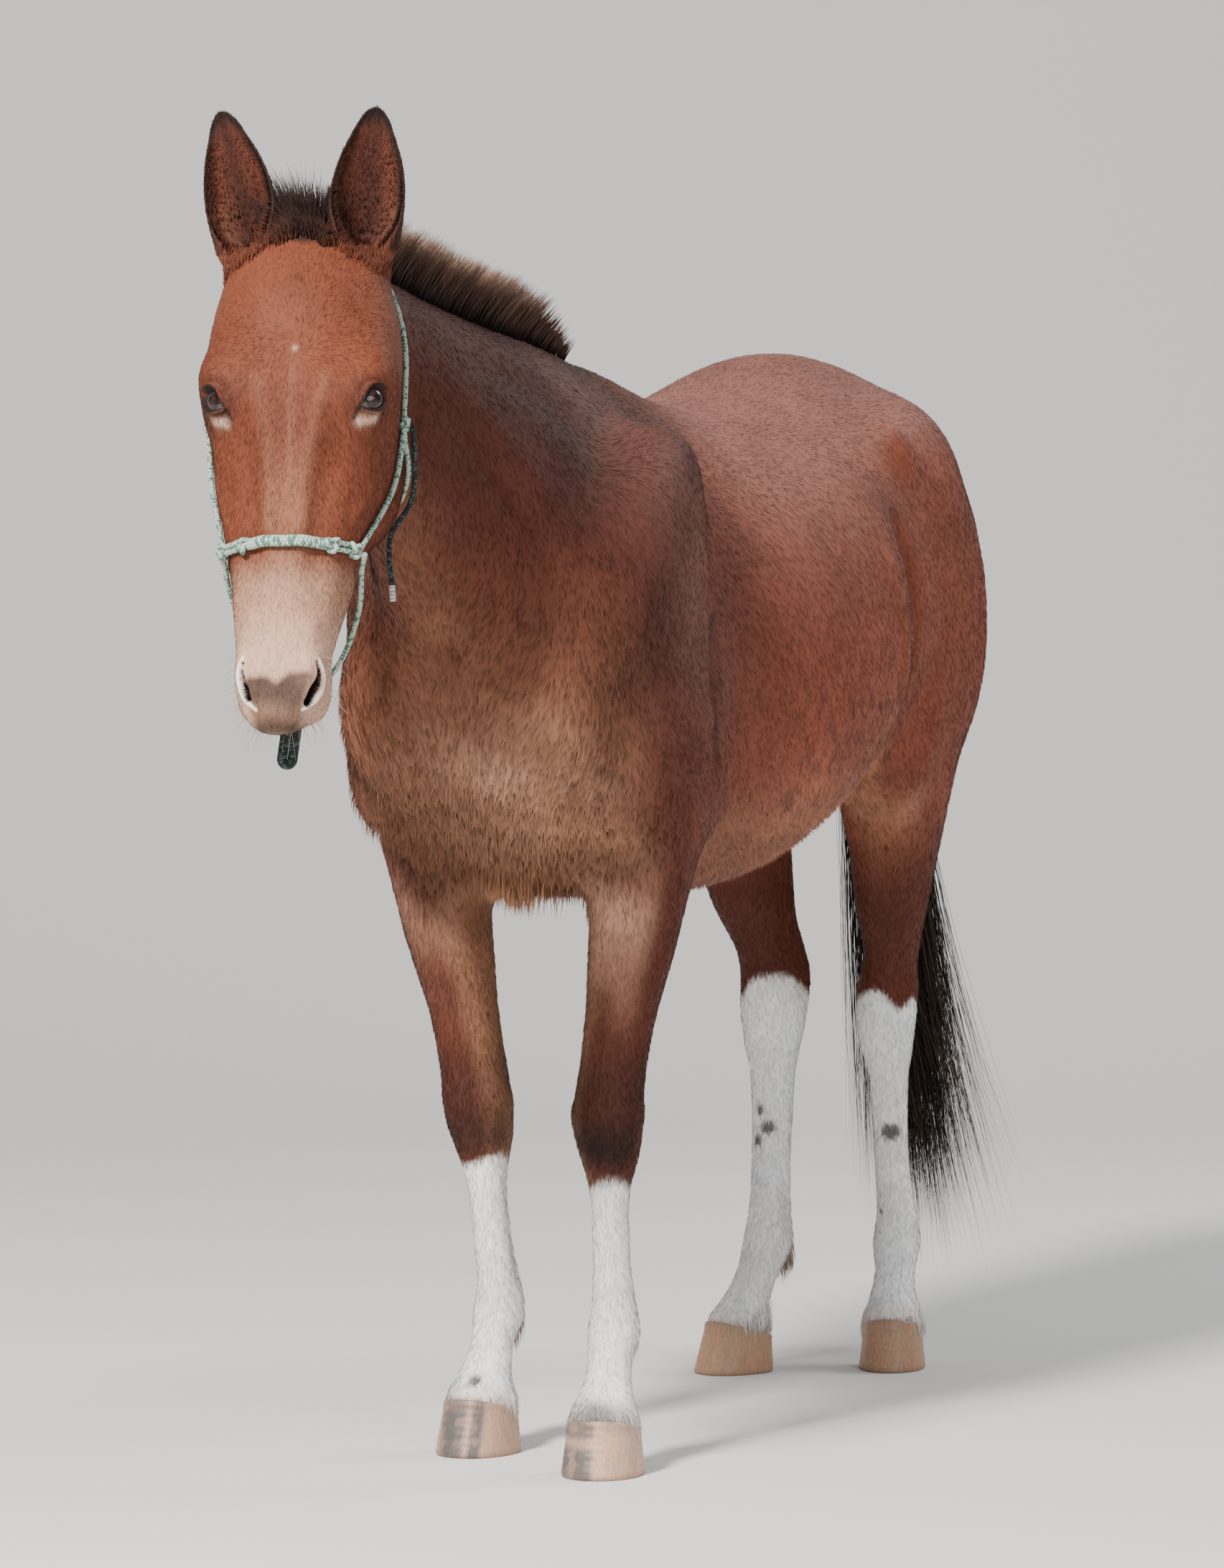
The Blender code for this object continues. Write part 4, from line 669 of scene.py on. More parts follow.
nostril_lines = {side: laid(swayed(NOSTRILS[side])) for side in (-1, 1)}
rim_lines = {side: laid(swayed(NOSTRIL_RIMS[side])) for side in (-1, 1)}
nostril_out = {}
for side in (-1, 1):
    faced = [uncut.find_nearest(head @ Vector(p))[1] for p in nostril_lines[side]]
    nostril_out[side] = np.array(sum(faced, Vector()).normalized()) @ HEAD


def nostril_gap(face, side, line):
    """How far points are from a line by the nostril, seen straight on, and how far along it they lie."""
    out = nostril_out[side]
    middle = nostril_lines[side].mean(0)
    gap, where = to_line(face - np.outer(face @ out, out), line - np.outer(line @ out, out))
    return gap + 9 * (lengths(face - middle) > 0.055), where


def nostril_bore(side, where):
    """Half the width of the opening along its line. The nostril turned from the camera is narrower."""
    widest = 0.006 * (1.0 if side > 0 else 0.62)
    return widest * np.interp(where, [0, 0.15, 0.45, 0.75, 1], [0.5, 0.5, 0.8, 1.25, 1.0])


lip_line = laid(swayed(LIPS))
TEAR_CORNER = [(0.087, -0.064, -0.225), (0.0835, -0.062, -0.233), (0.08, -0.06, -0.2405)]
UNDER_EYE = [(0.0875, -0.0575, -0.244), (0.093, -0.051, -0.2385), (0.0985, -0.044, -0.2325)]
corner_lines = {1: laid(TEAR_CORNER), -1: laid(flipped(TEAR_CORNER))}
cream_lines = {1: laid(UNDER_EYE), -1: laid(flipped(UNDER_EYE))}
normals = read_normals(skin.data)
for side in (-1, 1):
    face_place = in_head(points)
    gap, where = nostril_gap(face_place, side, nostril_lines[side])
    bore = nostril_bore(side, where)
    rim_gap, rim_where = nostril_gap(face_place, side, rim_lines[side])
    rim = spread(rim_gap, 0, 0.005) * np.interp(rim_where, [0, 0.3, 0.7, 1], [0.2, 0.9, 1, 0.2]) * 0.0042
    hole = (1 - ramp(gap, bore * 0.35, bore * 1.1)) * -0.018
    crease = spread(to_line(face_place, corner_lines[side])[0], 0, 0.0028) * -0.002
    points = points + normals * (rim + hole + crease)[:, None]
gap, where = to_line(in_head(points), lip_line)
slit = -0.005 * np.exp(-((gap / 0.0026) ** 2)) + 0.0014 * np.exp(-(((gap - 0.007) / 0.004) ** 2))
points = points + normals * slit[:, None]
write_points(skin.data, points)
print("lids, nostrils and lips cut in")

# %% [markdown]
# ## The ears
#
# A mule's ear is a long pointed cup of thin hide, nearly a tube at its root, with a rolled rim. It is
# laid as rings of points round the outer wall and back round the inner one, and then joined to the
# head by a Boolean union, so that the skin runs on into it.

# %% Ears
EAR_ROOT = {-1: (-0.072, 0.004, -0.004), 1: (0.069, 0.004, -0.004)}
EAR_OUT = {-1: math.radians(10.5), 1: math.radians(5.5)}
EAR_LENGTH, EAR_WIDTH = 0.2, 0.1
# share of the length, half width, depth of the cup, half angle of the wall, wall thickness
EAR_LEVELS = [
    (0.00, 0.7, 0.72, 150, 0.0085),
    (0.1, 0.84, 0.68, 142, 0.0085),
    (0.22, 0.97, 0.6, 124, 0.008),
    (0.36, 1.00, 0.54, 104, 0.007),
    (0.52, 0.95, 0.46, 92, 0.006),
    (0.68, 0.8, 0.36, 84, 0.005),
    (0.82, 0.58, 0.27, 78, 0.0045),
    (0.91, 0.42, 0.19, 74, 0.004),
    (0.965, 0.26, 0.12, 70, 0.0034),
    (0.992, 0.1, 0.06, 66, 0.0026),
]
EAR_ROWS = np.array(EAR_LEVELS)


def ear_matrix(side):
    place = Matrix.Translation(head @ Vector(EAR_ROOT[side]))
    turned = Matrix.Rotation(YAW + math.radians(14) * side, 4, "Z")
    leaned = place @ turned @ Matrix.Rotation(EAR_OUT[side] * side, 4, "Y")
    return leaned @ Matrix.Rotation(math.radians(6), 4, "X")


EAR_FRAMES = {side: ear_matrix(side) for side in (-1, 1)}


def in_ear(points, side):
    """Points in an ear's frame: Z along the ear from its root, X to the mule's left."""
    inverse = EAR_FRAMES[side].inverted()
    return points @ np.array(inverse.to_3x3()).T + np.array(inverse.translation)


def off_axis(local):
    return lengths(local[:, :2])


def ear_place(points, normals, side):
    """Share of the ear's length, angle round it, that angle's limit, half width, and inside or not."""
    local = in_ear(points, side)
    facing = normals @ np.array(EAR_FRAMES[side].to_3x3())
    share = local[:, 2] / EAR_LENGTH
    half, cup, limit = (np.interp(share, EAR_ROWS[:, 0], EAR_ROWS[:, k]) for k in (1, 2, 3))
    half, cup = half * EAR_WIDTH / 2, cup * EAR_WIDTH / 2
    a = np.arctan2(local[:, 0] / half, local[:, 1] / cup)
    inside = facing[:, 0] * np.sin(a) / half + facing[:, 1] * np.cos(a) / cup < 0
    return share, a, np.radians(limit), half, inside


def ear_wall(row, a, depth=0.0):
    """A point of the ear's wall at an angle round it, so far in from its outside."""
    share, width, cup_depth, angle, wall = row
    half, cup = width * EAR_WIDTH / 2 - 0.0008, cup_depth * EAR_WIDTH / 2 - 0.0008
    outward = np.array((math.sin(a) / half, math.cos(a) / cup, 0))
    outward /= np.linalg.norm(outward)
    base = np.array((half * math.sin(a), cup * math.cos(a), share * EAR_LENGTH))
    return base - outward * min(depth, 0.42 * half)


ears, ear_steps = [], 26
for side in (-1, 1):
    rings = []
    for row in smooth_rows(EAR_LEVELS, 5):
        limit = math.radians(row[3])
        outer, inner = [], []
        for k in range(ear_steps + 1):
            a = limit * (2 * k / ear_steps - 1)
            thick = row[4] * (0.42 + 0.58 * math.cos(a / limit * math.pi / 2) ** 0.7)
            ripple = 0.0006 * math.sin(a * 9) * math.cos(a / limit * math.pi / 2)
            outer.append(ear_wall(row, a))
            inner.append(ear_wall(row, a, thick + ripple))
        rings.append(outer + inner[::-1])
    count = len(rings[0])
    faces = [tuple(range(count))[::-1]] + ring_faces(len(rings), count)
    faces.append(tuple((len(rings) - 1) * count + k for k in range(count)))
    mesh = bpy.data.meshes.new("ear")
    mesh.from_pydata([tuple(p) for ring in rings for p in ring], [], faces)
    mesh.transform(EAR_FRAMES[side])
    face_outwards(mesh)
    ears.append(new_object("ear", mesh))
before = len(skin.data.vertices)
for ear in ears:
    select_only(skin)
    union = skin.modifiers.new("union", "BOOLEAN")
    union.operation, union.solver, union.object = "UNION", "MANIFOLD", ear
    bpy.ops.object.modifier_apply(modifier="union")
    bpy.data.objects.remove(ear)
print("skin", before, "points, with ears", len(skin.data.vertices))
points, edges = read_points(skin.data), read_edges(skin.data)
near_root = np.zeros(len(points))
for side in (-1, 1):
    local = in_ear(points, side)
    near_root = np.maximum(near_root, spread(local[:, 2], 0.004, 0.014) * (off_axis(local) < 0.058))
points = relax(points, edges, 0.5 * near_root * (near_root > 0.15), 5)
write_points(skin.data, points)
normals = read_normals(skin.data)
for side in (-1, 1):
    local = in_ear(points, side)
    outer = np.clip(ramp(local[:, 0] * side, -0.02, 0.03) + ramp(local[:, 1], 0.0, 0.03), 0, 1)
    swell = 0.0065 * spread(local[:, 2], 0.01, 0.022) * outer * (off_axis(local) < 0.062)
    points += normals * swell[:, None]
    near_root = spread(local[:, 2], 0.008, 0.026) * (off_axis(local) < 0.066)
    points = relax(points, edges, 0.5 * near_root * (near_root > 0.1), 8)
write_points(skin.data, points)

# %% [markdown]
# ## Colours and markings
#
# This mule is a bay: a red-brown coat that is darker on neck and shoulder, tan on the lower chest and
# muzzle, with white stockings below knees and hocks. Each marking is a soft mask worked out from
# where a point lies, and the same function colours skin, coat and hair, so that they agree.

# %% Colours by place
BAY = (0.126, 0.033, 0.0185)
LIVER = (0.036, 0.012, 0.009)
RED = (0.165, 0.046, 0.023)
TAN = (0.29, 0.135, 0.074)
BEIGE = (0.41, 0.225, 0.15)
CREAM = (0.6, 0.39, 0.29)
WHITE = (0.86, 0.835, 0.8)
PALE = (0.86, 0.74, 0.66)
# near black for the dark points and markings, and for painted shade in the folds and the mouth's parting
BLACK_AND_SHADE = (0.014, 0.009, 0.008)
NOSTRIL_SHADOW = (0.007, 0.004, 0.004)
MUZZLE = (0.052, 0.03, 0.021)
BLADE_SHEEN = (0.135, 0.062, 0.05)
SAND = (0.5, 0.275, 0.175)
SHEEN = (0.33, 0.205, 0.185)
EAR_BROWN = (0.078, 0.024, 0.014)
SLATE_HAIR = (0.11, 0.11, 0.115)
PINK = (0.42, 0.22, 0.17)
WHITE_TOPS = {"fore_left": 0.392, "fore_right": 0.402, "hind_left": 0.562, "hind_right": 0.592}
# ermine spots: place in the solids' first frame, and half width and half height
SPOTS = [
    ((-0.0561, 1.0886, 0.366), 0.015, 0.013),
    ((-0.07, 1.095, 0.392), 0.01, 0.013),
    ((-0.072, 1.1, 0.345), 0.009, 0.01),
    ((0.1123, 1.187, 0.358), 0.015, 0.013),
    ((0.1, 1.19, 0.236), 0.005, 0.005),
    ((-0.088, 0.03, 0.105), 0.013, 0.01),
    ((0.112, -0.1, 0.105), 0.01, 0.008),
]
OUT_OF_LEG = {name: leg_axis(name) for name in FEET}


def mixed(colour, target, mask):
    mask = np.clip(mask, 0, 1)[:, None]
    return colour * (1 - mask) + np.asarray(target)[None, :] * mask


def wavering(place, scale, seed):
    """A cheap soft noise from a few waves, from -1 to 1."""
    draw = np.random.default_rng(seed)
    bent = place + 0.35 / scale * np.sin(place[:, [1, 2, 0]] * scale * 0.8)
    total = np.zeros(len(place))
    for _ in range(14):
        direction = draw.normal(size=3)
        direction *= scale * draw.uniform(0.8, 1.7) / np.linalg.norm(direction)
        total += np.sin(bent @ direction + draw.uniform(0, 6.28))
    return total / 4.4


# painted shade in the deepest folds: behind the elbow, at the flank, and two across the breast's corner
CREASE_SHADOWS = [
    ([(0.235, 0.125, 1.16), (0.242, 0.112, 1.06), (0.235, 0.11, 0.98), (0.215, 0.115, 0.9)], 0.01, 0.8),
    ([(0.285, 0.79, 1.34), (0.285, 0.83, 1.2), (0.262, 0.86, 1.06), (0.225, 0.85, 0.96)], 0.013, 0.62),
    ([(0.165, -0.18, 0.975), (0.205, -0.12, 0.945)], 0.006, 0.55),
    ([(0.15, -0.19, 0.945), (0.195, -0.13, 0.91)], 0.006, 0.5),
]


def hide_colours(points, normals):
    """The coat's colour at each point, from its place and the way that it faces."""
    place, face = points - SHIFT, in_head(points)
    x, y, z = place.T
    fx, fy, fz = face.T
    to_side, to_back, to_top = normals.T
    down = -fz
    waver, fine = wavering(place, 14, 1), wavering(place, 45, 2)
    colour = np.tile(np.array(BAY), (len(points), 1))

    def lay(target, mask):
        colour[:] = mixed(colour, target, mask)

    # trunk
    on_neck = ramp(-y, -0.22, 0.1)
    high = ramp(z, 1.15, 1.48)
    lay(LIVER, (0.22 + 0.42 * high) * on_neck + 0.08 * waver * on_neck)
    stripe = spread(y + 0.2 * (z - 1.2), -0.09, 0.1) * ramp(z, 0.92, 1.12)
    lay(LIVER, 0.62 * stripe + 0.06 * waver)
    # painted sheen: a greyish band over the shoulder blade
    blade = spread(y + 0.3 * (z - 1.2), 0.06, 0.09) * ramp(z, 0.9, 1.1)
    lay(BLADE_SHEEN, 0.6 * blade)
    lay(LIVER, 0.45 * ramp(z, 1.3, 1.44) * spread(y, 0.1, 0.22))
    lay(LIVER, 0.28 * ramp(z, 1.36, 1.52) * ramp(y, 0.0, 0.3))
    # darker over the hindquarters, with painted shade along the flank's fold
    flank = spread(y + 0.3 * (z - 1.1), 0.84, 0.06) * (z < 1.36)
    lay(LIVER, 0.2 * ramp(y, 0.9, 1.2) + 0.35 * flank)
    breast = ramp(-y, 0.02, 0.16) * (1 - ramp(z, 0.98, 1.3))
    lay(TAN, 0.26 * breast * (1 + 0.35 * waver))
    # the tan patch low on the breast is real, and it is lightened as painted light where it faces forward
    low_breast = spread(x, 0.065, 0.13) * spread(z, 0.91, 0.1) * ramp(-to_back, 0.1, 0.6) * (y < 0.05)
    lay(SAND, 0.8 * low_breast * (1 + 0.3 * fine))
    belly = ramp(-to_top, 0.25, 0.85) * ramp(z, 0.7, 0.78)
    lay(TAN, 0.45 * belly * (y < 1.3))
    side_belly = ramp(1.2 - z, 0, 0.18) * ramp(z, 0.74, 0.85) * ramp(y, 0.22, 0.4)
    flecks = wavering(place, 120, 5) + 0.7 * wavering(place, 240, 6)
    lay(LIVER, 0.46 * side_belly * (1 - ramp(y, 0.9, 1.0)) * ramp(flecks, -0.1, 0.9))
    lit = ramp(y, 0.12, 0.42) * ramp(z, 0.72, 0.9)
    colour *= (1 + 0.75 * lit)[:, None]
    lay(SHEEN, 0.24 * lit * ramp(to_top, -0.1, 0.9))
    folded = np.stack([np.abs(x), y, z], 1)
    # painted shade along each fold
    for line, reach, dark in CREASE_SHADOWS:
        lay(BLACK_AND_SHADE, dark * spread(to_line(folded, line)[0], 0, reach))
    # legs above the stockings
    fore = (y < 0.55) & (z < 0.92)
    hind = (y >= 0.55) & (z < 1.0)
    forearm = ramp(0.9 - z, 0, 0.15) * fore
    lay(LIVER, 0.3 * forearm)
    inner = ramp(-to_side * np.sign(x), 0.1, 0.8)
    lay(TAN, 0.62 * forearm * inner)
    # painted light: the forward-facing front of the forearms paler, the left one more
    forearm_lit_front = ramp(-to_back, 0.3, 0.9) * ramp(z, 0.55, 0.78) * (1 + 0.4 * fine)
    lay(BEIGE, (0.3 + 0.25 * (x > 0)) * forearm * forearm_lit_front)
    lay(BLACK_AND_SHADE, 0.8 * spread(z, 0.445, 0.04) * fore * ramp(-to_back, -0.2, 0.6) * (1 + 0.3 * fine))
    lay(BLACK_AND_SHADE, 0.45 * spread(z, 0.52, 0.05) * fore)
    gaskin = ramp(0.95 - z, 0, 0.22) * hind
    lay(LIVER, 0.1 * gaskin)
    lay(BLACK_AND_SHADE, 0.28 * spread(z, 0.66, 0.09) * hind * ramp(-to_back, -0.1, 0.7))
    patch = lengths((place - np.array((-0.082, 0.055, 0.625))) / np.array((0.022, 0.05, 0.04)))
    lay(BEIGE, 0.85 * (1 - ramp(patch + 0.25 * fine, 0.5, 1.1)))
    # face
    on_head = ramp(throat_side(points), -0.02, 0.05) * (z > 0.93)
    lay(RED, 0.8 * on_head)
    lay(BAY, 0.55 * on_head * ramp(fy, 0.00, 0.07))
    lay(LIVER, 0.45 * on_head * ramp(fy, 0.05, 0.14))
    lay(TAN, 0.4 * on_head * spread(fx, 0, 0.03) * ramp(down, 0.24, 0.36) * ramp(-fy, 0.02, 0.05))
    lay(BEIGE, on_head * ramp(down, 0.405, 0.47) * (0.85 + 0.1 * waver))
    lay(CREAM, 0.55 * on_head * ramp(down, 0.47, 0.56))
    # painted highlight along the edges of the nose bone
    edges_of_nose = []
    for w in (-1, 1):
        nose_edge = [(w * 0.046 - 0.001, -0.084, -0.195), (w * 0.025 - 0.003, -0.075, -0.305)]
        nose_edge += [(w * 0.022 - 0.005, -0.069, -0.38)]
        edges_of_nose.append(to_line(face, nose_edge)[0])
    lay(BEIGE, 0.1 * on_head * spread(np.minimum(*edges_of_nose), 0, 0.01))
    # painted sheen down the middle of the face
    nose_line = spread(fx, 0.001, 0.006) * ramp(down, 0.15, 0.22) * (1 - ramp(down, 0.3, 0.38))
    lay(BEIGE, 0.14 * on_head * nose_line * ramp(-fy, 0.04, 0.06))
    for spot_x, spot_z, size, shade in ((0.0045, -0.155, 0.0034, CREAM), (0.0015, -0.056, 0.007, LIVER)):
        lay(shade, 0.5 * on_head * spread(np.hypot(fx - spot_x, fz - spot_z), 0, size) * (fy < 0))
    for side in (-1, 1):
        eye = in_eye(points, side)
        near = lengths(eye)
        ratio = almond(eye[:, 0], eye[:, 1])
        lay(LIVER, 0.6 * spread(near, 0.022, 0.016) * (on_head > 0))
        lay(CREAM, 0.76 * spread(to_line(face, cream_lines[side])[0], 0, 0.0064 + 0.0012 * fine))
        lay(BLACK_AND_SHADE, 0.95 * spread(to_line(face, corner_lines[side])[0], 0, 0.0034))
        lay(BLACK_AND_SHADE, ramp(-ratio, -1.4, -1.1) * (near < 0.045))
    mid_x, narrower = fx + 0.008, 0.22 * (down - 0.6)
    top_edge = 0.572 + 0.01 * spread(mid_x, 0, 0.01) + 0.004 * fine
    between = 1 - ramp(np.abs(mid_x), 0.03 - narrower, 0.046 - narrower)
    between *= ramp(down, top_edge - 0.006, top_edge + 0.008) * (1 - ramp(down, 0.644, 0.658))
    between *= ramp(-fy, -0.03, 0.000)
    lay(MUZZLE, np.clip(0.92 * between * (1 + 0.16 * fine), 0, 0.96))
    lay(BEIGE, 0.16 * between * spread(down, 0.626, 0.012) * (1 + 0.8 * fine))
    for side in (-1, 1):
        gap, where = nostril_gap(face, side, nostril_lines[side])
        rim_gap, rim_where = nostril_gap(face, side, rim_lines[side])
        hole = nostril_bore(side, where)
        rim_width = 0.0056 * np.interp(rim_where, [0, 0.2, 0.7, 1], [0.5, 0.95, 1.0, 0.45])
        lay(PALE, 0.85 * (1 - ramp(rim_gap, rim_width * 0.35, rim_width)))
        # painted shadow inside each nostril
        lay(NOSTRIL_SHADOW, 1 - ramp(gap, hole * 0.85, hole * 1.2))
    lips = to_line(face, lip_line)[0]
    lay(PINK, 0.6 * spread(lips, 0.004, 0.007) * on_head)
    # painted shade along the parting of the lips
    lay(BLACK_AND_SHADE, 0.8 * (1 - ramp(lips, 0.001, 0.003)))
    # crest and forelock
    crest_x, crest_z = crest_at(y)
    over = z - crest_z
    mane = ramp(over, -0.02, 0.004) * (np.abs(x - crest_x) < 0.06) * (y > -0.56) * ramp(0.14 - y, 0, 0.05)
    lay(BLACK_AND_SHADE, 0.95 * mane)
    low_edge = np.interp(fy, (-0.055, -0.02), (-0.007, -0.012)) + 16 * fx ** 2
    tuft = spread(fx, 0, 0.03) * ramp(fz + 0.006 * fine - low_edge, 0, 0.012) * (fy < 0.07) * (on_head > 0)
    lay(BLACK_AND_SHADE, 0.9 * tuft)
    # ears
    for side in (-1, 1):
        share, a, limit, half, inside = ear_place(points, normals, side)
        there = (share > 0.08) & (share < 1.2) & (off_axis(in_ear(points, side)) < 0.07)
        rim = np.exp(-((limit - np.abs(a)) * half / 0.0085) ** 2)
        cupped = there * inside
        lay(EAR_BROWN, there * ramp(share, 0.0, 0.12))
        lay(LIVER, 0.75 * there * (1 - inside))
        # the inside of the cup dark brown, darkest down its middle as painted shade in the hollow
        lay(LIVER, cupped * (0.4 + 0.4 * spread(a, 0.12 * side, 0.34)))
        lay(BAY, 0.32 * cupped * spread(np.abs(a), 0.55 * limit, 0.3) * (share < 0.8))
        low_side = spread(share, 0.22, 0.16) * spread(np.abs(a), 0.6 * limit, 0.45)
        lay(TAN, 0.24 * cupped * low_side)
        edge = 0.75 * rim * ramp(share, 0.05, 0.4) + 0.8 * ramp(share, 0.84, 0.97)
        lay(BLACK_AND_SHADE, there * np.clip(edge, 0, 0.9))
    # stockings and their spots
    for name, top in WHITE_TOPS.items():
        side = FEET[name][0]
        mine = (x * side > 0) & (fore if name.startswith("fore") else hind)
        line, out, back = OUT_OF_LEG[name]
        from_axis = place[:, :2] - line[0, :2]
        around = np.arctan2(from_axis @ out[:2], -from_axis @ back[:2])
        edge = top + 0.006 * np.sin(around * 2 + side) + 0.005 * fine
        if name.startswith("hind"):
            edge = edge - 0.036 * spread(around, 0.45 * side, 0.45) + 0.012 * np.cos(around)
        lay(WHITE, mine * ramp(edge - z, -0.006, 0.01))
        lay(PINK, mine * 0.25 * (1 - ramp(z, 0.085, 0.105)))
        if name.startswith("fore"):
            front = spread(around, 0.25 * side - 0.15, 0.42) * (1 - ramp(z + 0.008 * fine, 0.088, 0.112))
            lay(SLATE_HAIR, 0.8 * mine * front)
    for spot, half, tall in SPOTS:
        gap = (place - np.array(spot)) / np.array((half, half * 2.2, tall))
        lay(BLACK_AND_SHADE, 0.85 * (1 - ramp(lengths(gap) + 0.12 * fine, 0.7, 1.15)))
    shade = 1 + 0.07 * waver + 0.05 * fine
    return np.clip(colour * shade[:, None], 0.004, 0.85)


def paint(mesh, colours, name="coat"):
    attribute = mesh.color_attributes.new(name, "FLOAT_COLOR", "POINT")
    rgba = np.ones((len(colours), 4), np.float32)
    rgba[:, :3] = colours
    attribute.data.foreach_set("color", rgba.ravel())


points, normals = read_points(skin.data), read_normals(skin.data)
skin_colours = hide_colours(points, normals)
paint(skin.data, skin_colours)
skin.data.shade_smooth()
print("skin coloured, mean", skin_colours.mean(0).round(3))

# %% [markdown]
# ## Materials for coat and hair
#
# The mottling of a coat is the same effect on skin, coat and hair, so it is a node group: it takes the
# painted colour, a tuft's own tone and a strength, and gives the colour back with soft patches and
# fine streaks. The shader itself stays in each material.

# %% The mottling group


def add_node(tree, kind, inputs=(), **settings):
    """A node with its settings. Each input is given a value, or the output that is linked to it."""
    made = tree.nodes.new("ShaderNode" + kind if not kind.startswith("NodeGroup") else kind)
    for name, value in settings.items():
        setattr(made, name, value)
    for name, value in dict(inputs).items():
        if isinstance(value, bpy.types.NodeSocket):
            tree.links.new(value, made.inputs[name])
        else:
            made.inputs[name].default_value = value
    return made


def math_node(tree, operation, a, b=None, c=None):
    given = {k: value for k, value in enumerate((a, b, c)) if value is not None}
    return add_node(tree, "Math", given, operation=operation).outputs[0]


def scaled_colour(tree, colour, factor):
    return add_node(tree, "VectorMath", {0: colour, "Scale": factor}, operation="SCALE").outputs["Vector"]


def painted_colour(tree):
    """The colour that was laid on the points of the mesh."""
    return add_node(tree, "VertexColor", layer_name="coat").outputs["Color"]


def own_place(tree):
    return add_node(tree, "TexCoord").outputs["Object"]


def noise_node(tree, scale, detail, where):
    return add_node(tree, "TexNoise", {"Scale": scale, "Detail": detail, "Vector": where}).outputs["Fac"]


def new_group(name, given, results):
    """An empty node group with named inputs and outputs, each a number or a colour."""
    tree = bpy.data.node_groups.new(name, "ShaderNodeTree")
    for way, sockets in (("INPUT", given), ("OUTPUT", results)):
        for socket, kind in sockets.items():
            tree.interface.new_socket(socket, in_out=way, socket_type="NodeSocket" + kind)
    return tree, add_node(tree, "NodeGroupInput").outputs, add_node(tree, "NodeGroupOutput").inputs


MOTTLING_INPUTS = {"Tone": "Float", "Strength": "Float"}
mottle, given, result = new_group("coat_mottling", MOTTLING_INPUTS, {"Colour": "Color"})
patches = noise_node(mottle, 9.0, 5.0, own_place(mottle))
turned_hair = {"Rotation": (math.radians(38), 0, 0), "Scale": (260, 260, 34), "Vector": own_place(mottle)}
streaks = noise_node(mottle, 1.0, 3.0, add_node(mottle, "Mapping", turned_hair).outputs["Vector"])
soft = math_node(mottle, "SUBTRACT", patches, 0.5)
sharp = math_node(mottle, "SUBTRACT", streaks, 0.5)
both = math_node(mottle, "MULTIPLY_ADD", sharp, 0.9, soft)
strong = math_node(mottle, "MULTIPLY", both, given["Strength"])
toned = math_node(mottle, "ADD", strong, given["Tone"])
bright = math_node(mottle, "ADD", toned, 1.0)
mottle.links.new(scaled_colour(mottle, painted_colour(mottle), bright), result["Colour"])
print("group", mottle.name, "with", len(mottle.nodes), "nodes")

# %% Skin and hair materials


def new_material(name, roughness, specular=0.5):
    made = bpy.data.materials.new(name)
    made.use_nodes = True
    shader = made.node_tree.nodes["Principled BSDF"]
    shader.inputs["Roughness"].default_value = roughness
    shader.inputs["Specular IOR Level"].default_value = specular
    return made, made.node_tree, shader


def add_bump(tree, shader, height, strength, distance):
    bump = add_node(tree, "Bump", {"Strength": strength, "Distance": distance, "Height": height})
    tree.links.new(bump.outputs["Normal"], shader.inputs["Normal"])


def coat_material(name, roughness, specular, strength, bump):
    made, tree, shader = new_material(name, roughness, specular)
    tone = add_node(tree, "Attribute", attribute_name="tone").outputs["Fac"]
    coloured = add_node(tree, "Group", node_tree=mottle)
    coloured.inputs["Strength"].default_value = strength
    tree.links.new(tone, coloured.inputs["Tone"])
    tree.links.new(coloured.outputs["Colour"], shader.inputs["Base Color"])
    if bump:
        add_bump(tree, shader, noise_node(tree, 420.0, 4.0, own_place(tree)), bump, 0.0015)
    return made


hide_material = coat_material("hide", 0.62, 0.13, 0.6, 0.5)
tuft_material = coat_material("coat_hair", 0.52, 0.11, 0.6, 0)
long_material = coat_material("long_hair", 0.52, 0.12, 0.2, 0)
skin.data.materials.clear()
skin.data.materials.append(hide_material)
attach(skin, "root")
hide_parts(*FLESH, "ear_left", "ear_right")
print("materials", [m.name for m in bpy.data.materials][:12])

# %% [markdown]
# ## The coat
#
# The short coat lies flat, so skin colour and bump give most of it, and small solid tufts give the
# rest: where they lie over one another, and where they break the outline. Each tuft is a closed
# sliver of four triangles. Where it grows, how long it is and which way it lies come from its region.

# %% Which way the coat lies


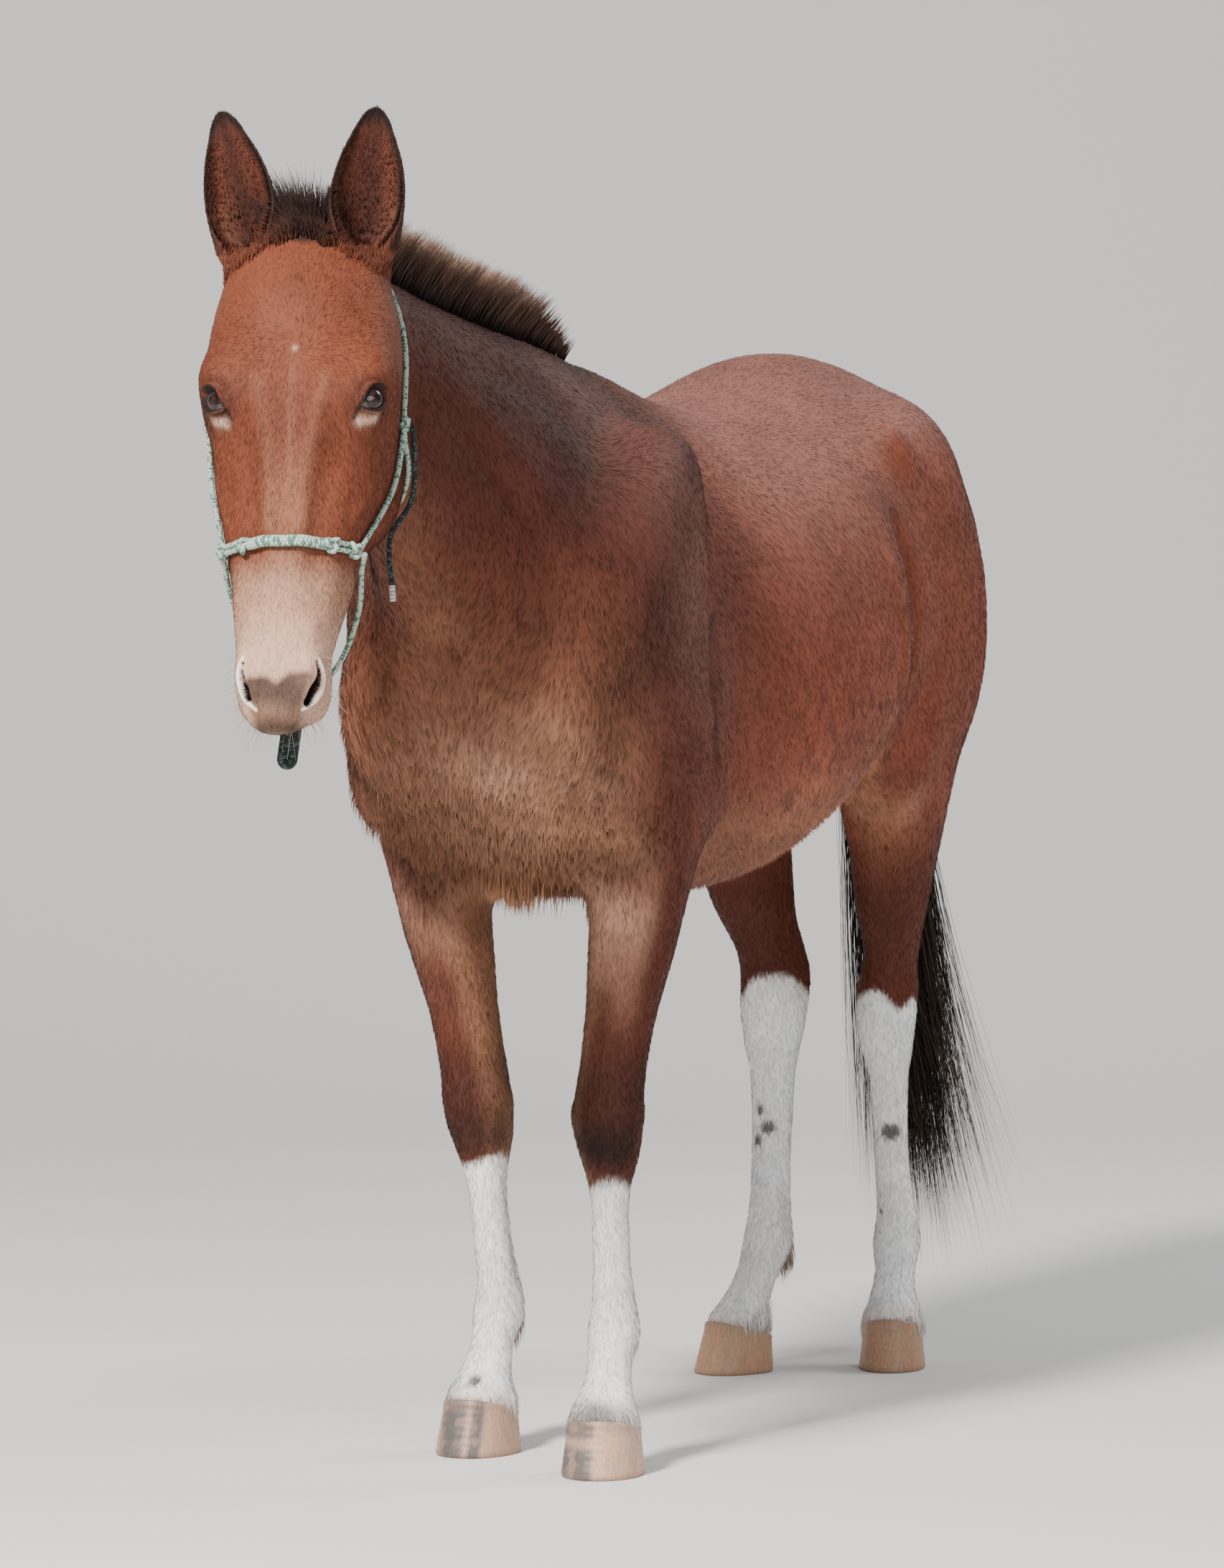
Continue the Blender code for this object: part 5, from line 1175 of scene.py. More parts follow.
def lie_of_coat(points, normals):
    """The direction of the hair at each point, along the skin."""
    place, face = points - SHIFT, in_head(points)
    x, y, z = place.T
    flow = np.tile(np.array((0.0, 0.62, -0.78)), (len(points), 1))
    top = ramp(normals[:, 2], 0.3, 1.00)
    flow = flow * (1 - top[:, None]) + np.array((0, 1.0, -0.05)) * top[:, None]
    under = ramp(-normals[:, 2], 0.4, 0.9)[:, None]
    flow = flow * (1 - under) + np.array((0, 1.0, 0.0)) * under
    rump = ramp(y, 1.05, 1.3)[:, None]
    flow = flow * (1 - rump) + np.array((0, 0.15, -1.0)) * rump
    breast = (ramp(-y, -0.05, 0.24) * (1 - ramp(z, 1.1, 1.45)))[:, None]
    swirl = np.stack([-0.35 * np.sign(x) * ramp(np.abs(x), 0, 0.06), -0.1 + 0 * x, -1.0 + 0 * x], 1)
    flow = flow * (1 - breast) + swirl * breast
    leg = (1 - ramp(z, 0.72, 0.92))[:, None]
    flow = flow * (1 - leg) + np.array((0, 0.12, -1.0)) * leg
    whorl = np.array((0.0045, -0.088, -0.155))
    away = face - whorl
    away[:, 1] *= 0.5
    reach = lengths(away)[:, None]
    radial = away / np.maximum(reach, 1e-6)
    twist = np.stack([-radial[:, 2], 0 * reach[:, 0], radial[:, 0]], 1) * np.exp(-reach / 0.04)
    local = radial + twist * 0.9
    local += np.array((0, 0.12, -0.75)) * ramp(-away[:, 2], -0.03, 0.1)[:, None]
    on_head = (ramp(throat_side(points), -0.02, 0.04) * (z > 0.93))[:, None]
    flow = flow * (1 - on_head) + (local @ HEAD.T) * on_head
    for side in (-1, 1):
        spot = in_ear(points, side)
        up = np.array(EAR_FRAMES[side].to_3x3())[:, 2]
        there = ((spot[:, 2] > 0.012) & (off_axis(spot) < 0.068))[:, None]
        flow = np.where(there, up, flow)
    flow -= normals * np.sum(flow * normals, axis=1)[:, None]
    return flow / np.maximum(lengths(flow), 1e-6)[:, None]


# %% Places on the skin for the roots


def skin_triangles(mesh):
    mesh.calc_loop_triangles()
    triangles = np.empty(len(mesh.loop_triangles) * 3, np.int32)
    mesh.loop_triangles.foreach_get("vertices", triangles)
    return triangles.reshape(-1, 3)


skin_points, skin_normals = read_points(skin.data), read_normals(skin.data)
triangles = skin_triangles(skin.data)
corners = skin_points[triangles]
areas = lengths(np.cross(corners[:, 1] - corners[:, 0], corners[:, 2] - corners[:, 0])) / 2
middles = corners.mean(axis=1)


def scatter(count, weight, seed):
    """So many places on the skin: position, normal and colour, more where the weight is larger."""
    draw = np.random.default_rng(seed)
    share = areas * weight
    chosen = draw.choice(len(areas), size=count, p=share / share.sum())
    a, b = draw.random((2, count))
    flip = a + b > 1
    a[flip], b[flip] = 1 - a[flip], 1 - b[flip]
    mix = np.stack([1 - a - b, a, b], 1)[:, :, None]
    spot = (skin_points[triangles[chosen]] * mix).sum(1)
    normal = (skin_normals[triangles[chosen]] * mix).sum(1)
    normal /= lengths(normal)[:, None]
    colour = (skin_colours[triangles[chosen]] * mix).sum(1)
    return spot, normal, colour


def bake_place(points, normals):
    """A place on an unwrap of the skin: each region is laid out six ways, by the side that it faces."""
    place = points - SHIFT
    x, y, z = place.T
    on_head = (throat_side(points) > 0) & (z > 0.93)
    on_leg = z < 0.74
    local = np.where(on_head[:, None], in_head(points), place)
    facing = np.where(on_head[:, None], normals @ HEAD, normals)
    axis = np.argmax(np.abs(facing), axis=1)
    chart = axis * 2 + (facing[np.arange(len(axis)), axis] > 0)
    u = np.where(axis == 0, local[:, 1], local[:, 0])
    v = np.where(axis == 2, local[:, 1], local[:, 2])
    found = np.empty((len(points), 2))
    trunk = ~on_head & ~on_leg
    spans = {"trunk": (-0.5, 2.1), "head": (-0.68, 0.95), "leg": (-0.3, 1.7)}
    for mask, name, cell_w, cell_h, per_row, low_v in (
        (trunk, "trunk", 1 / 3, 1 / 4, 3, 0.0),
        (on_head, "head", 1 / 6, 1 / 4, 6, 0.5),
        (on_leg, "leg", 1 / 6, 1 / 4, 6, 0.75),
    ):
        low_value, size = spans[name]
        cell = chart[mask]
        du = np.clip((u[mask] - low_value) / size, 0.02, 0.98)
        dv = np.clip((v[mask] - low_value) / size, 0.02, 0.98)
        found[mask, 0] = (cell % per_row + du) * cell_w
        found[mask, 1] = low_v + (cell // per_row + dv) * cell_h
    return found


print("skin area", round(float(areas.sum()), 2), "m2")

# %% Many small closed shapes as one mesh
# half the width of a shape's patch on the unwrap
PATCH = 0.0015


def many(name, shapes, faces, colour, tone, bake, shading=None):
    """One mesh of n like shapes. Points are n by k by 3, and colour, tone and bake are one to a shape."""
    n, k = shapes.shape[:2]
    faces = np.asarray(faces, np.int64)
    corner = (faces[None] + (np.arange(n) * k)[:, None, None]).reshape(-1)
    mesh = bpy.data.meshes.new(name)
    mesh.vertices.add(n * k)
    mesh.vertices.foreach_set("co", shapes.astype(np.float32).ravel())
    mesh.loops.add(len(corner))
    mesh.loops.foreach_set("vertex_index", corner.astype(np.int32))
    mesh.polygons.add(n * len(faces))
    mesh.polygons.foreach_set("loop_start", (np.arange(n * len(faces)) * 3).astype(np.int32))
    mesh.update(calc_edges=True)
    colour = np.broadcast_to(colour if colour.ndim == 3 else colour[:, None, :], (n, k, 3))
    paint(mesh, colour.reshape(-1, 3))
    attribute = mesh.attributes.new("tone", "FLOAT", "POINT")
    attribute.data.foreach_set("value", np.repeat(tone, k).astype(np.float32))
    turns = 2 * np.pi * np.arange(k) / k
    offsets = np.stack([np.cos(turns), np.sin(turns)], 1) * PATCH
    uv = (bake[:, None, :] + offsets[None]).reshape(-1, 2)[corner]
    layer = mesh.uv_layers.new(name="OFBake")
    layer.data.foreach_set("uv", uv.astype(np.float32).ravel())
    mesh.shade_smooth()
    if shading is not None:
        mesh.normals_split_custom_set_from_vertices(shading.reshape(-1, 3).astype(np.float32))
    return mesh


def unit(vectors):
    return vectors / np.maximum(np.linalg.norm(vectors, axis=-1, keepdims=True), 1e-9)


TUFT_FACES = [(0, 3, 1), (0, 1, 2), (0, 2, 3), (1, 3, 2)]
# painted shade at the root and on the underside, and a painted highlight at the tip: the two sides of the
# root, the underside and the tip
TUFT_SHADES = np.array((0.86, 0.86, 0.72, 1.16))


def make_tufts(name, count, weight, length, wide, lift, seed, tone=0.16):
    """Flat slivers over the skin. Length and lift may be numbers or functions of the roots."""
    draw = np.random.default_rng(seed)
    spot, normal, colour = scatter(count, weight, seed)
    long, rise = (v(spot, normal) if callable(v) else np.full(count, float(v)) for v in (length, lift))
    flow = lie_of_coat(spot, normal)
    side = np.cross(flow, normal)
    flow = unit(flow + side * draw.normal(0, 0.16, count)[:, None])
    rise = rise * draw.uniform(0.6, 1.4, count)
    heading = flow * np.cos(rise)[:, None] + normal * np.sin(rise)[:, None]
    long = long * draw.uniform(0.65, 1.2, count)
    side = unit(np.cross(flow, normal))
    shapes = np.empty((count, 4, 3))
    shapes[:, 0] = spot + side * wide / 2
    shapes[:, 1] = spot - side * wide / 2
    shapes[:, 2] = spot - normal * wide * 0.45
    shapes[:, 3] = spot + heading * long[:, None]
    tones = draw.normal(0, tone, count).clip(-0.45, 0.5)
    lean = side * draw.normal(0, 0.38, count)[:, None] - flow * 0.03
    shading = np.repeat(unit(normal + lean)[:, None, :], 4, axis=1)
    # painted shade towards the root and underneath, lighter at the tip
    shades = colour[:, None] * TUFT_SHADES[None, :, None]
    mesh = many(name, shapes, TUFT_FACES, shades, tones, bake_place(spot, normal), shading)
    mesh.materials.append(tuft_material)
    add_piece(name, mesh)
    print(name, count, "tufts")


# %% Body, leg and face coats
skin_place, face_middles = middles - SHIFT, in_head(middles)
mid_normals = unit(skin_normals[triangles].mean(axis=1))
head_part = (throat_side(middles) > -0.01) & (skin_place[:, 2] > 0.93)
leg_part = (skin_place[:, 2] < 0.74) & ~head_part
trunk_part = ~head_part & ~leg_part
open_skin = np.ones(len(middles))
for side in (-1, 1):
    eye = in_eye(middles, side)
    open_skin *= 1 - (almond(eye[:, 0], eye[:, 1]) < 1.45) * (lengths(eye) < 0.05)
    open_skin *= to_line(face_middles, nostril_lines[side])[0] >= 0.0095
    open_skin *= 1 - 0.8 * (to_line(face_middles, rim_lines[side])[0] < 0.004)
open_skin *= (to_line(face_middles, lip_line)[0] >= 0.003) & (middles[:, 2] > 0.074)


def shaggy(spot, normal):
    """Where the coat is longer and stands out more: 1 below the belly, and 1 low on the chest."""
    x, y, z = (spot - SHIFT).T
    return ramp(-normal[:, 2], 0.2, 0.9), ramp(-y, 0.05, 0.18) * (1 - ramp(z, 0.95, 1.25))


def body_length(spot, normal):
    under, low_chest = shaggy(spot, normal)
    return 0.012 + 0.009 * under * ((spot - SHIFT)[:, 2] > 0.6) + 0.01 * low_chest


def body_lift(spot, normal):
    under, low_chest = shaggy(spot, normal)
    return 0.13 + 0.16 * under + 0.12 * low_chest


trunk_skin, leg_skin = trunk_part * open_skin, leg_part * open_skin
for k in range(4):
    make_tufts(f"coat_body_{k + 1}", 30000, trunk_skin, body_length, 0.0016, body_lift, 40 + k, tone=0.23)
for k in range(2):
    make_tufts(f"coat_legs_{k + 1}", 22000, leg_skin, 0.01, 0.0016, 0.16, 50 + k, 0.1)


def face_length(spot, normal):
    face = in_head(spot)
    return 0.0065 - 0.003 * ramp(-face[:, 2], 0.42, 0.56) + 0.004 * ramp(face[:, 1], 0.03, 0.1)


ear_part = np.zeros(len(middles), bool)
for side in (-1, 1):
    local = in_ear(middles, side)
    ear_part |= (local[:, 2] > 0.01) & (off_axis(local) < 0.068)
face_skin = head_part * ~ear_part * open_skin
for k in range(2):
    make_tufts(f"coat_face_{k + 1}", 25500, face_skin, face_length, 0.001, 0.15, 60 + k)
make_tufts("coat_ears", 13000, ear_part * open_skin, 0.006, 0.001, 0.2, 65)

# %% [markdown]
# ## Long hair
#
# Mane, forelock, tail, lashes and whiskers are strands: three-sided, tapered, and ending in a point.
# Hair never lies evenly, so each strand leans part of the way to the tip of the lock that it is in.

# %% Strands along paths


STRAND_FLATNESS = 0.55


def strand_mesh(name, paths, radii, colours, tones, bake, across):
    """Closed tapered strands. Paths are n by rows by 3 and radii n by rows, where the last is the tip."""
    n, rows = paths.shape[:2]
    along = unit(np.gradient(paths, axis=1))
    side = unit(np.cross(along, across[:, None, :]))
    up = np.cross(along, side)
    ring = 3 * (rows - 1)
    shapes = np.empty((n, ring + 1, 3))
    shades = np.empty((n, ring + 1, 3))
    for k in range(3):
        a = 2 * math.pi * k / 3
        way = side[:, :-1] * math.cos(a) + up[:, :-1] * math.sin(a) * STRAND_FLATNESS
        shapes[:, k:ring:3] = paths[:, :-1] + way * radii[:, :-1, None]
        shades[:, k:ring:3] = colours[:, :-1]
    shapes[:, -1], shades[:, -1] = paths[:, -1], colours[:, -1]
    faces = [(0, 2, 1)]
    for i in range(rows - 2):
        for k in range(3):
            a, b = i * 3 + k, i * 3 + (k + 1) % 3
            faces += [(a, b, b + 3), (a, b + 3, a + 3)]
    last = ring - 3
    faces += [(last + k, last + (k + 1) % 3, ring) for k in range(3)]
    mesh = many(name, shapes, faces, shades, tones, bake)
    mesh.materials.append(long_material)
    return mesh


def grow(name, count, weight, rule, seed, rows=4, locks=0, pull=0.5, thick=0.0011):
    """Strands from the skin. The rule gives direction, length, droop and the colours of root and tip."""
    draw = np.random.default_rng(seed)
    spot, normal, colour = scatter(count, weight, seed)
    heading, long, droop, root_colour, tip_colour = rule(spot, normal, colour, draw)
    long = long * draw.uniform(0.75, 1.12, count)
    t = np.linspace(0, 1, rows)
    start = spot - normal * 0.0015
    paths = start[:, None] + heading[:, None] * long[:, None, None] * t[None, :, None]
    paths += droop[:, None] * (long[:, None] * t**2)[:, :, None]
    tones = draw.normal(0, 0.18, count)
    if locks:
        leaders = draw.choice(count, locks, replace=False)
        gap = ((spot[:, None] - spot[leaders][None]) ** 2).sum(2)
        mine = leaders[np.argmin(gap, axis=1)]
        share = (pull * draw.uniform(0.4, 1.0, count))[:, None, None] * (t**1.3)[None, :, None]
        led = paths[mine] - start[mine][:, None] + (start * 0.35 + start[mine] * 0.65)[:, None]
        paths = paths * (1 - share) + led * share
        tones = tones * 0.6 + tones[mine] * 0.7
    taper = np.array([1.0, *np.linspace(0.95, 0.45, rows - 2), 0.0])
    radii = thick * taper[None] * draw.uniform(0.7, 1.2, count)[:, None]
    blend = (t**0.85)[None, :, None]
    shades = root_colour[:, None] * (1 - blend) + tip_colour[:, None] * blend
    mesh = strand_mesh(name, paths, radii, shades, tones.clip(-0.5, 0.6), bake_place(spot, normal), normal)
    add_piece(name, mesh)
    print(name, count, "strands")


def same(colour, count):
    return np.tile(np.array(colour, float), (count, 1))


# %% The clipped mane
MANE_HEIGHT, MANE_FROM, MANE_TO = 0.088, -0.49, 0.085
BLACK_HAIR, BROWN_HAIR, TAN_HAIR = (0.007, 0.005, 0.005), (0.11, 0.055, 0.037), (0.7, 0.43, 0.3)
x, y, z = skin_place.T
crest_x, crest_z = crest_at(y)
mane_part = (np.abs(x - crest_x) < 0.034) & (z > crest_z - 0.016)
mane_part &= (y > MANE_FROM) & (y < MANE_TO) & (z > 1.4)


def mane_rule(spot, normal, colour, draw):
    x, y, z = (spot - SHIFT).T
    middle_x, middle_z = crest_at(y)
    ends = ramp(y, MANE_FROM - 0.05, MANE_FROM + 0.05) * (1 - ramp(y, MANE_TO - 0.2, MANE_TO + 0.02))
    target = MANE_HEIGHT * (0.25 + 0.75 * ends) * (1 - 0.3 * np.abs(x - middle_x) / 0.034)
    long = np.clip(target - (z - middle_z), 0.012, 0.1)
    fan, n = (x - middle_x) / 0.034, len(x)
    sideways, back = 0.06 + 0.34 * fan + draw.normal(0, 0.08, n), 0.34 + draw.normal(0, 0.08, n)
    droop = np.stack([0.16 * fan + 0.06, 0.12 + 0 * x, -0.05 + 0 * x], 1)
    bleached = np.clip((target - 0.03) / 0.05, 0, 1) * ramp(z - middle_z, -0.012, 0.012)
    bleached = (bleached * ramp(draw.random(n), 0.05, 0.35))[:, None]
    tip = same(BROWN_HAIR, n) * (1 - bleached) + same(TAN_HAIR, n) * bleached
    return unit(np.stack([sideways, back, 1.0 + 0 * x], 1)), long, droop, same(BLACK_HAIR, n), tip


grow("mane", 7200, mane_part, mane_rule, 71, locks=420, pull=0.55, thick=0.0012)

# %% The forelock between the ears
fx, fy, fz = face_middles.T
hairline = 0.006 - 0.38 * np.abs(fx) + 0.004 * wavering(face_middles, 150, 6)
lock_part = (np.abs(fx) < 0.032) & (np.abs(fy + 0.006) < 0.06) & (fz > hairline)
lock_part &= throat_side(middles) > -0.03
FORELOCK_TIP = (0.026, 0.013, 0.01)


def forelock_rule(spot, normal, colour, draw):
    x, y, z = in_head(spot).T
    n = len(spot)
    sideways, back = -0.16 + x * 9 + draw.normal(0, 0.24, n), -0.28 + y * 4 + draw.normal(0, 0.14, n)
    heading = unit(np.stack([sideways, back, 1.0 + np.zeros(n)], 1)) @ HEAD.T
    long = 0.118 - np.abs(x + 0.006) * 1.3 - np.clip(-y - 0.006, 0, 1) * 2.0
    droop = same((-0.06, 0.02, -0.04), n) + heading * np.array((0.35, 0.2, 0))
    front = 0.5 * ramp(-y, 0.028, 0.046)[:, None]
    root = same(BLACK_HAIR, n) * (1 - front) + colour * front
    tip = same(FORELOCK_TIP, n) * (1 - 0.6 * front) + colour * 0.6 * front
    return heading, np.clip(long, 0.022, 0.11), droop, root, tip


grow("forelock", 2300, lock_part, forelock_rule, 72, locks=110, pull=0.55)

# %% The dock and the tail
DOCK = [
    (0.000, 1.27, 1.39, 0.046),
    (0.002, 1.34, 1.385, 0.042),
    (0.006, 1.388, 1.355, 0.038),
    (0.012, 1.422, 1.28, 0.033),
    (0.02, 1.436, 1.18, 0.028),
    (0.03, 1.44, 1.08, 0.022),
    (0.034, 1.44, 1.05, 0.012),
]
dock_rows = smooth_rows(DOCK, 8)
dock_mesh = tube_mesh("dock", dock_rows[:, :3] + SHIFT, dock_rows[:, 3] * 0.86, 24, across=(1, 0, 0))
dock_points = read_points(dock_mesh)
paint(dock_mesh, mixed(same(BAY, len(dock_points)), BLACK_HAIR, 1 - ramp(dock_points[:, 2], 1.34, 1.42)))
dock_mesh.materials.append(hide_material)
dock = add_piece("tail_dock", dock_mesh, ["tail"])


def tail_strands(name, count, seed):
    draw = np.random.default_rng(seed)
    share = draw.random(count) ** 0.85
    rows = 7
    down_dock = np.linspace(0, 1, len(dock_rows))
    spot = np.array([np.interp(0.16 + 0.82 * share, down_dock, dock_rows[:, k]) for k in range(4)]).T
    angle = draw.uniform(0, 2 * np.pi, count)
    out = np.stack([np.cos(angle), 0.25 + 0.75 * np.sin(angle), 0 * angle], 1)
    root = spot[:, :3] + out * spot[:, 3:] * 0.6 + SHIFT
    lock = draw.integers(0, 64, count)
    lock_drift = 0.01 + 0.235 * draw.random(64) ** 2.2
    lock_tip = draw.uniform(0.065, 0.48, 64)
    lock_back = draw.uniform(-0.02, 0.05, 64)
    drift = lock_drift[lock] * draw.uniform(0.85, 1.15, count)
    reach = np.clip(spot[:, 2] - (lock_tip[lock] + draw.uniform(0, 0.16, count)), 0.25, 1.12)
    t = np.linspace(0, 1, rows)[None, :]
    swell = np.sin(np.minimum(t * 2.2, 1.6)) * 0.024 * (1 - 0.55 * t)
    swing = drift[:, None] * (reach[:, None] * t / 1.15) ** 2
    wave = 0.006 * np.sin(t * draw.uniform(4, 9, (count, 1)) + draw.uniform(0, 6, (count, 1))) * t
    paths = np.stack([
        root[:, :1] + out[:, :1] * swell + swing + wave,
        root[:, 1:2] + out[:, 1:2] * swell + lock_back[lock][:, None] * t + wave * 0.7,
        root[:, 2:] - reach[:, None] * t + 0.02 * (1 - t) * out[:, 1:2],
    ], axis=2)
    taper = np.array([1.0, *np.linspace(1.0, 0.4, rows - 2), 0])
    radii = 0.00105 * taper[None] * draw.uniform(0.7, 1.2, count)[:, None]
    light = (draw.random(64)[lock] < 0.45)[:, None, None] * ramp(t, 0.35, 0.95)[:, :, None]
    shades = np.array(BLACK_HAIR) * (1 - light) + np.array((0.11, 0.068, 0.045)) * light
    tones = draw.normal(0, 0.15, count).clip(-0.4, 0.4)
    bake = np.stack([0.7 + 0.28 * share, 0.3 + 0.15 * angle / 6.3], 1)
    mesh = strand_mesh(name, paths, radii, np.broadcast_to(shades, (count, rows, 3)), tones, bake, out)
    add_piece(name, mesh)
    print(name, count, "strands")


tail_strands("tail_hair_1", 1750, 81)
tail_strands("tail_hair_2", 1750, 82)

# %% Fringes: ears, chest, fetlocks and the hair over the hooves
def ear_inside(points, normals, side):
    """Share of the ear's length, angle round it, that angle's limit, and inside the cup or not."""
    share, a, limit, _, inside = ear_place(points, normals, side)
    return share, a, limit, inside & (off_axis(in_ear(points, side)) < 0.068)


fringe_part = np.zeros(len(middles))
for side in (-1, 1):
    share, a, limit, inside = ear_inside(middles, mid_normals, side)
    near_edge = 0.25 + 2.2 * spread(np.abs(a), limit * 0.86, 0.3)
    fringe_part += inside * (share > 0.04) * (share < 0.8) * near_edge


def fringe_rule(spot, normal, colour, draw):
    n = len(spot)
    heading = np.zeros((n, 3))
    long = np.full(n, 0.012)
    for side in (-1, 1):
        share, a, limit, inside = ear_inside(spot, normal, side)
        sideways = -0.75 * np.sign(a) * spread(np.abs(a), limit, 0.7)
        way = np.stack([sideways, -0.45 + 0 * a, 0.85 + 0 * a], 1)
        local = in_ear(spot, side)
        there = (np.abs(local[:, 2] - 0.1) < 0.13) & (off_axis(local) < 0.07)
        heading[there] = (way @ np.array(EAR_FRAMES[side].to_3x3()).T)[there]
        long[there] = (0.02 - 0.012 * share)[there]
    heading = unit(unit(heading) + normal * 0.2 + draw.normal(0, 0.15, (n, 3)))
    return heading, long, heading * 0 - normal * 0.05, colour * 0.95, colour * 1.1


grow("ear_fringe", 4300, fringe_part, fringe_rule, 91, rows=3, locks=500, pull=0.4, thick=0.0006)
ear_foot = np.zeros(len(middles))
for side in (-1, 1):
    local = in_ear(middles, side)
    round_root = lengths(local[:, :2] / np.array((1.0, 0.85)))
    ring = spread(round_root, 0.047, 0.011) * spread(local[:, 2], 0.000, 0.016)
    ear_foot += ring * (throat_side(middles) > -0.03)


def foot_rule(spot, normal, colour, draw):
    n = len(spot)
    left = lengths(in_ear(spot, 1)) < 0.1
    left_up, right_up = (np.array(EAR_FRAMES[side].to_3x3())[:, 2] for side in (1, -1))
    ups = np.where(left[:, None], left_up, right_up)
    heading = unit(ups + normal * 0.3 + draw.normal(0, 0.16, (n, 3)))
    return heading, np.full(n, 0.019), -normal * 0.35, colour * 0.95, same((0.12, 0.04, 0.024), n)


grow("ear_foot_fur", 4200, ear_foot, foot_rule, 98, rows=3, locks=900, pull=0.3, thick=0.0006)


def hanging(long, out, down, root_colour=None, tip_colour=None):
    """A rule for hair of one length that stands out from the skin and then droops."""
    def rule(spot, normal, colour, draw):
        n = len(spot)
        heading = unit(normal * out + np.array((0, 0, -down)) + draw.normal(0, 0.13, (n, 3)))
        first = colour if root_colour is None else same(root_colour, n)
        last = colour if tip_colour is None else same(tip_colour, n)
        droop = same((0, 0, -0.2 - out), n) - normal * 0.4 * out
        return heading, np.full(n, long), droop, first, last
    return rule


x, y, z = skin_place.T
brisket = spread(x, -0.01, 0.03) * spread(y, -0.02, 0.05)
brisket = brisket * (mid_normals[:, 2] < -0.5) * (z < 0.9) * (z > 0.7)
brisket_rule = hanging(0.034, 0.3, 0.9, TAN, (0.36, 0.17, 0.09))
grow("brisket_tuft", 420, brisket, brisket_rule, 92, locks=30, pull=0.7)
chest = spread(x, 0, 0.16) * spread(z, 0.86, 0.09) * (mid_normals[:, 1] < -0.1) * (y < 0.05) * trunk_part
chest_rule = hanging(0.019, 0.35, 0.9)
grow("chest_hair", 4400, chest, chest_rule, 93, rows=3, locks=600, pull=0.6, thick=0.0008)
fetlock_part, coronet_part = np.zeros(len(middles)), np.zeros(len(middles))
for name in FEET:
    line, out, back = leg_axis(name)
    behind = (skin_place - line[1]) @ back
    near_foot = lengths(skin_place[:, :2] - line[1, :2]) < 0.12
    fetlock_part += near_foot * spread(z, 0.165, 0.022) * ramp(behind, 0.015, 0.045)
    coronet_part += near_foot * spread(z, 0.09, 0.013) * (z > 0.072)
fetlock_rule = hanging(0.026, 0.35, 1.0, (0.5, 0.42, 0.36), (0.4, 0.25, 0.17))
coronet_rule = hanging(0.024, 0.62, 0.9)
grow("fetlock_tufts", 1500, fetlock_part, fetlock_rule, 94, locks=60, pull=0.7, thick=0.0008)
grow("coronet_hair", 4400, coronet_part, coronet_rule, 95, locks=420, thick=0.0008)

# %% Lashes and whiskers
lash_paths, lash_across = [], []
draw = np.random.default_rng(96)
for side in (-1, 1):
    for _ in range(54):
        u = draw.uniform(-0.95, 0.72) * LID_LONG
        v = LID_OPEN * (1 - (u / LID_LONG) ** 2) ** 0.75
        forward = math.sqrt(max(EYE_RADIUS**2 - u * u - v * v, 1e-6))
        root = unit(np.array((u, v, forward))) * (EYE_RADIUS + 0.002)
        way = unit(np.array((u * 14, 0.35 + draw.normal(0, 0.12), 1.0 + draw.normal(0, 0.1))))
        long = draw.uniform(0.007, 0.012)
        t = np.linspace(0, 1, 5)[:, None]
        path = root + way * long * t + np.array((0, -0.55, 0.0)) * long * t**2
        lash_paths.append(from_eye(path, side))
        lash_across.append(np.array(EYES[side].to_3x3())[:, 0])
lash_paths, lash_across = np.array(lash_paths), np.array(lash_across)
n = len(lash_paths)
radii = np.tile(0.00034 * np.array((1, 0.9, 0.7, 0.4, 0)), (n, 1))
black = np.tile(np.array(BLACK_HAIR), (n, 5, 1))
bake = bake_place(lash_paths[:, 0], lash_across)
mesh = strand_mesh("lashes", lash_paths, radii, black, np.zeros(n), bake, lash_across)
add_piece("lashes", mesh)
x, y, z = face_middles.T
chin_side = spread(z, -0.625, 0.035) + 0.5 * spread(z, -0.57, 0.04)
chin_side = chin_side * ramp(np.abs(x) + y * 0.6, 0.015, 0.05) * (head_part > 0) * (z < -0.5)


def whisker_rule(spot, normal, colour, draw):
    n = len(spot)
    heading = unit(normal + draw.normal(0, 0.22, (n, 3)) + np.array((0, 0, -0.25)))
    root, tip = same((0.25, 0.17, 0.12), n), same((0.55, 0.45, 0.35), n)
    return heading, draw.uniform(0.018, 0.042, n), same((0, 0, -0.3), n), root, tip


grow("whiskers", 150, chin_side, whisker_rule, 97, rows=6, thick=0.00035)

# %% [markdown]
# ## Eyes
#
# The eye is nearly a ball with a dark brown iris and a pupil that lies across it like a slot. Most of
# its life is the wet shine, so the horn-like front bulges a little and is as smooth as glass.

# %% Eyeballs


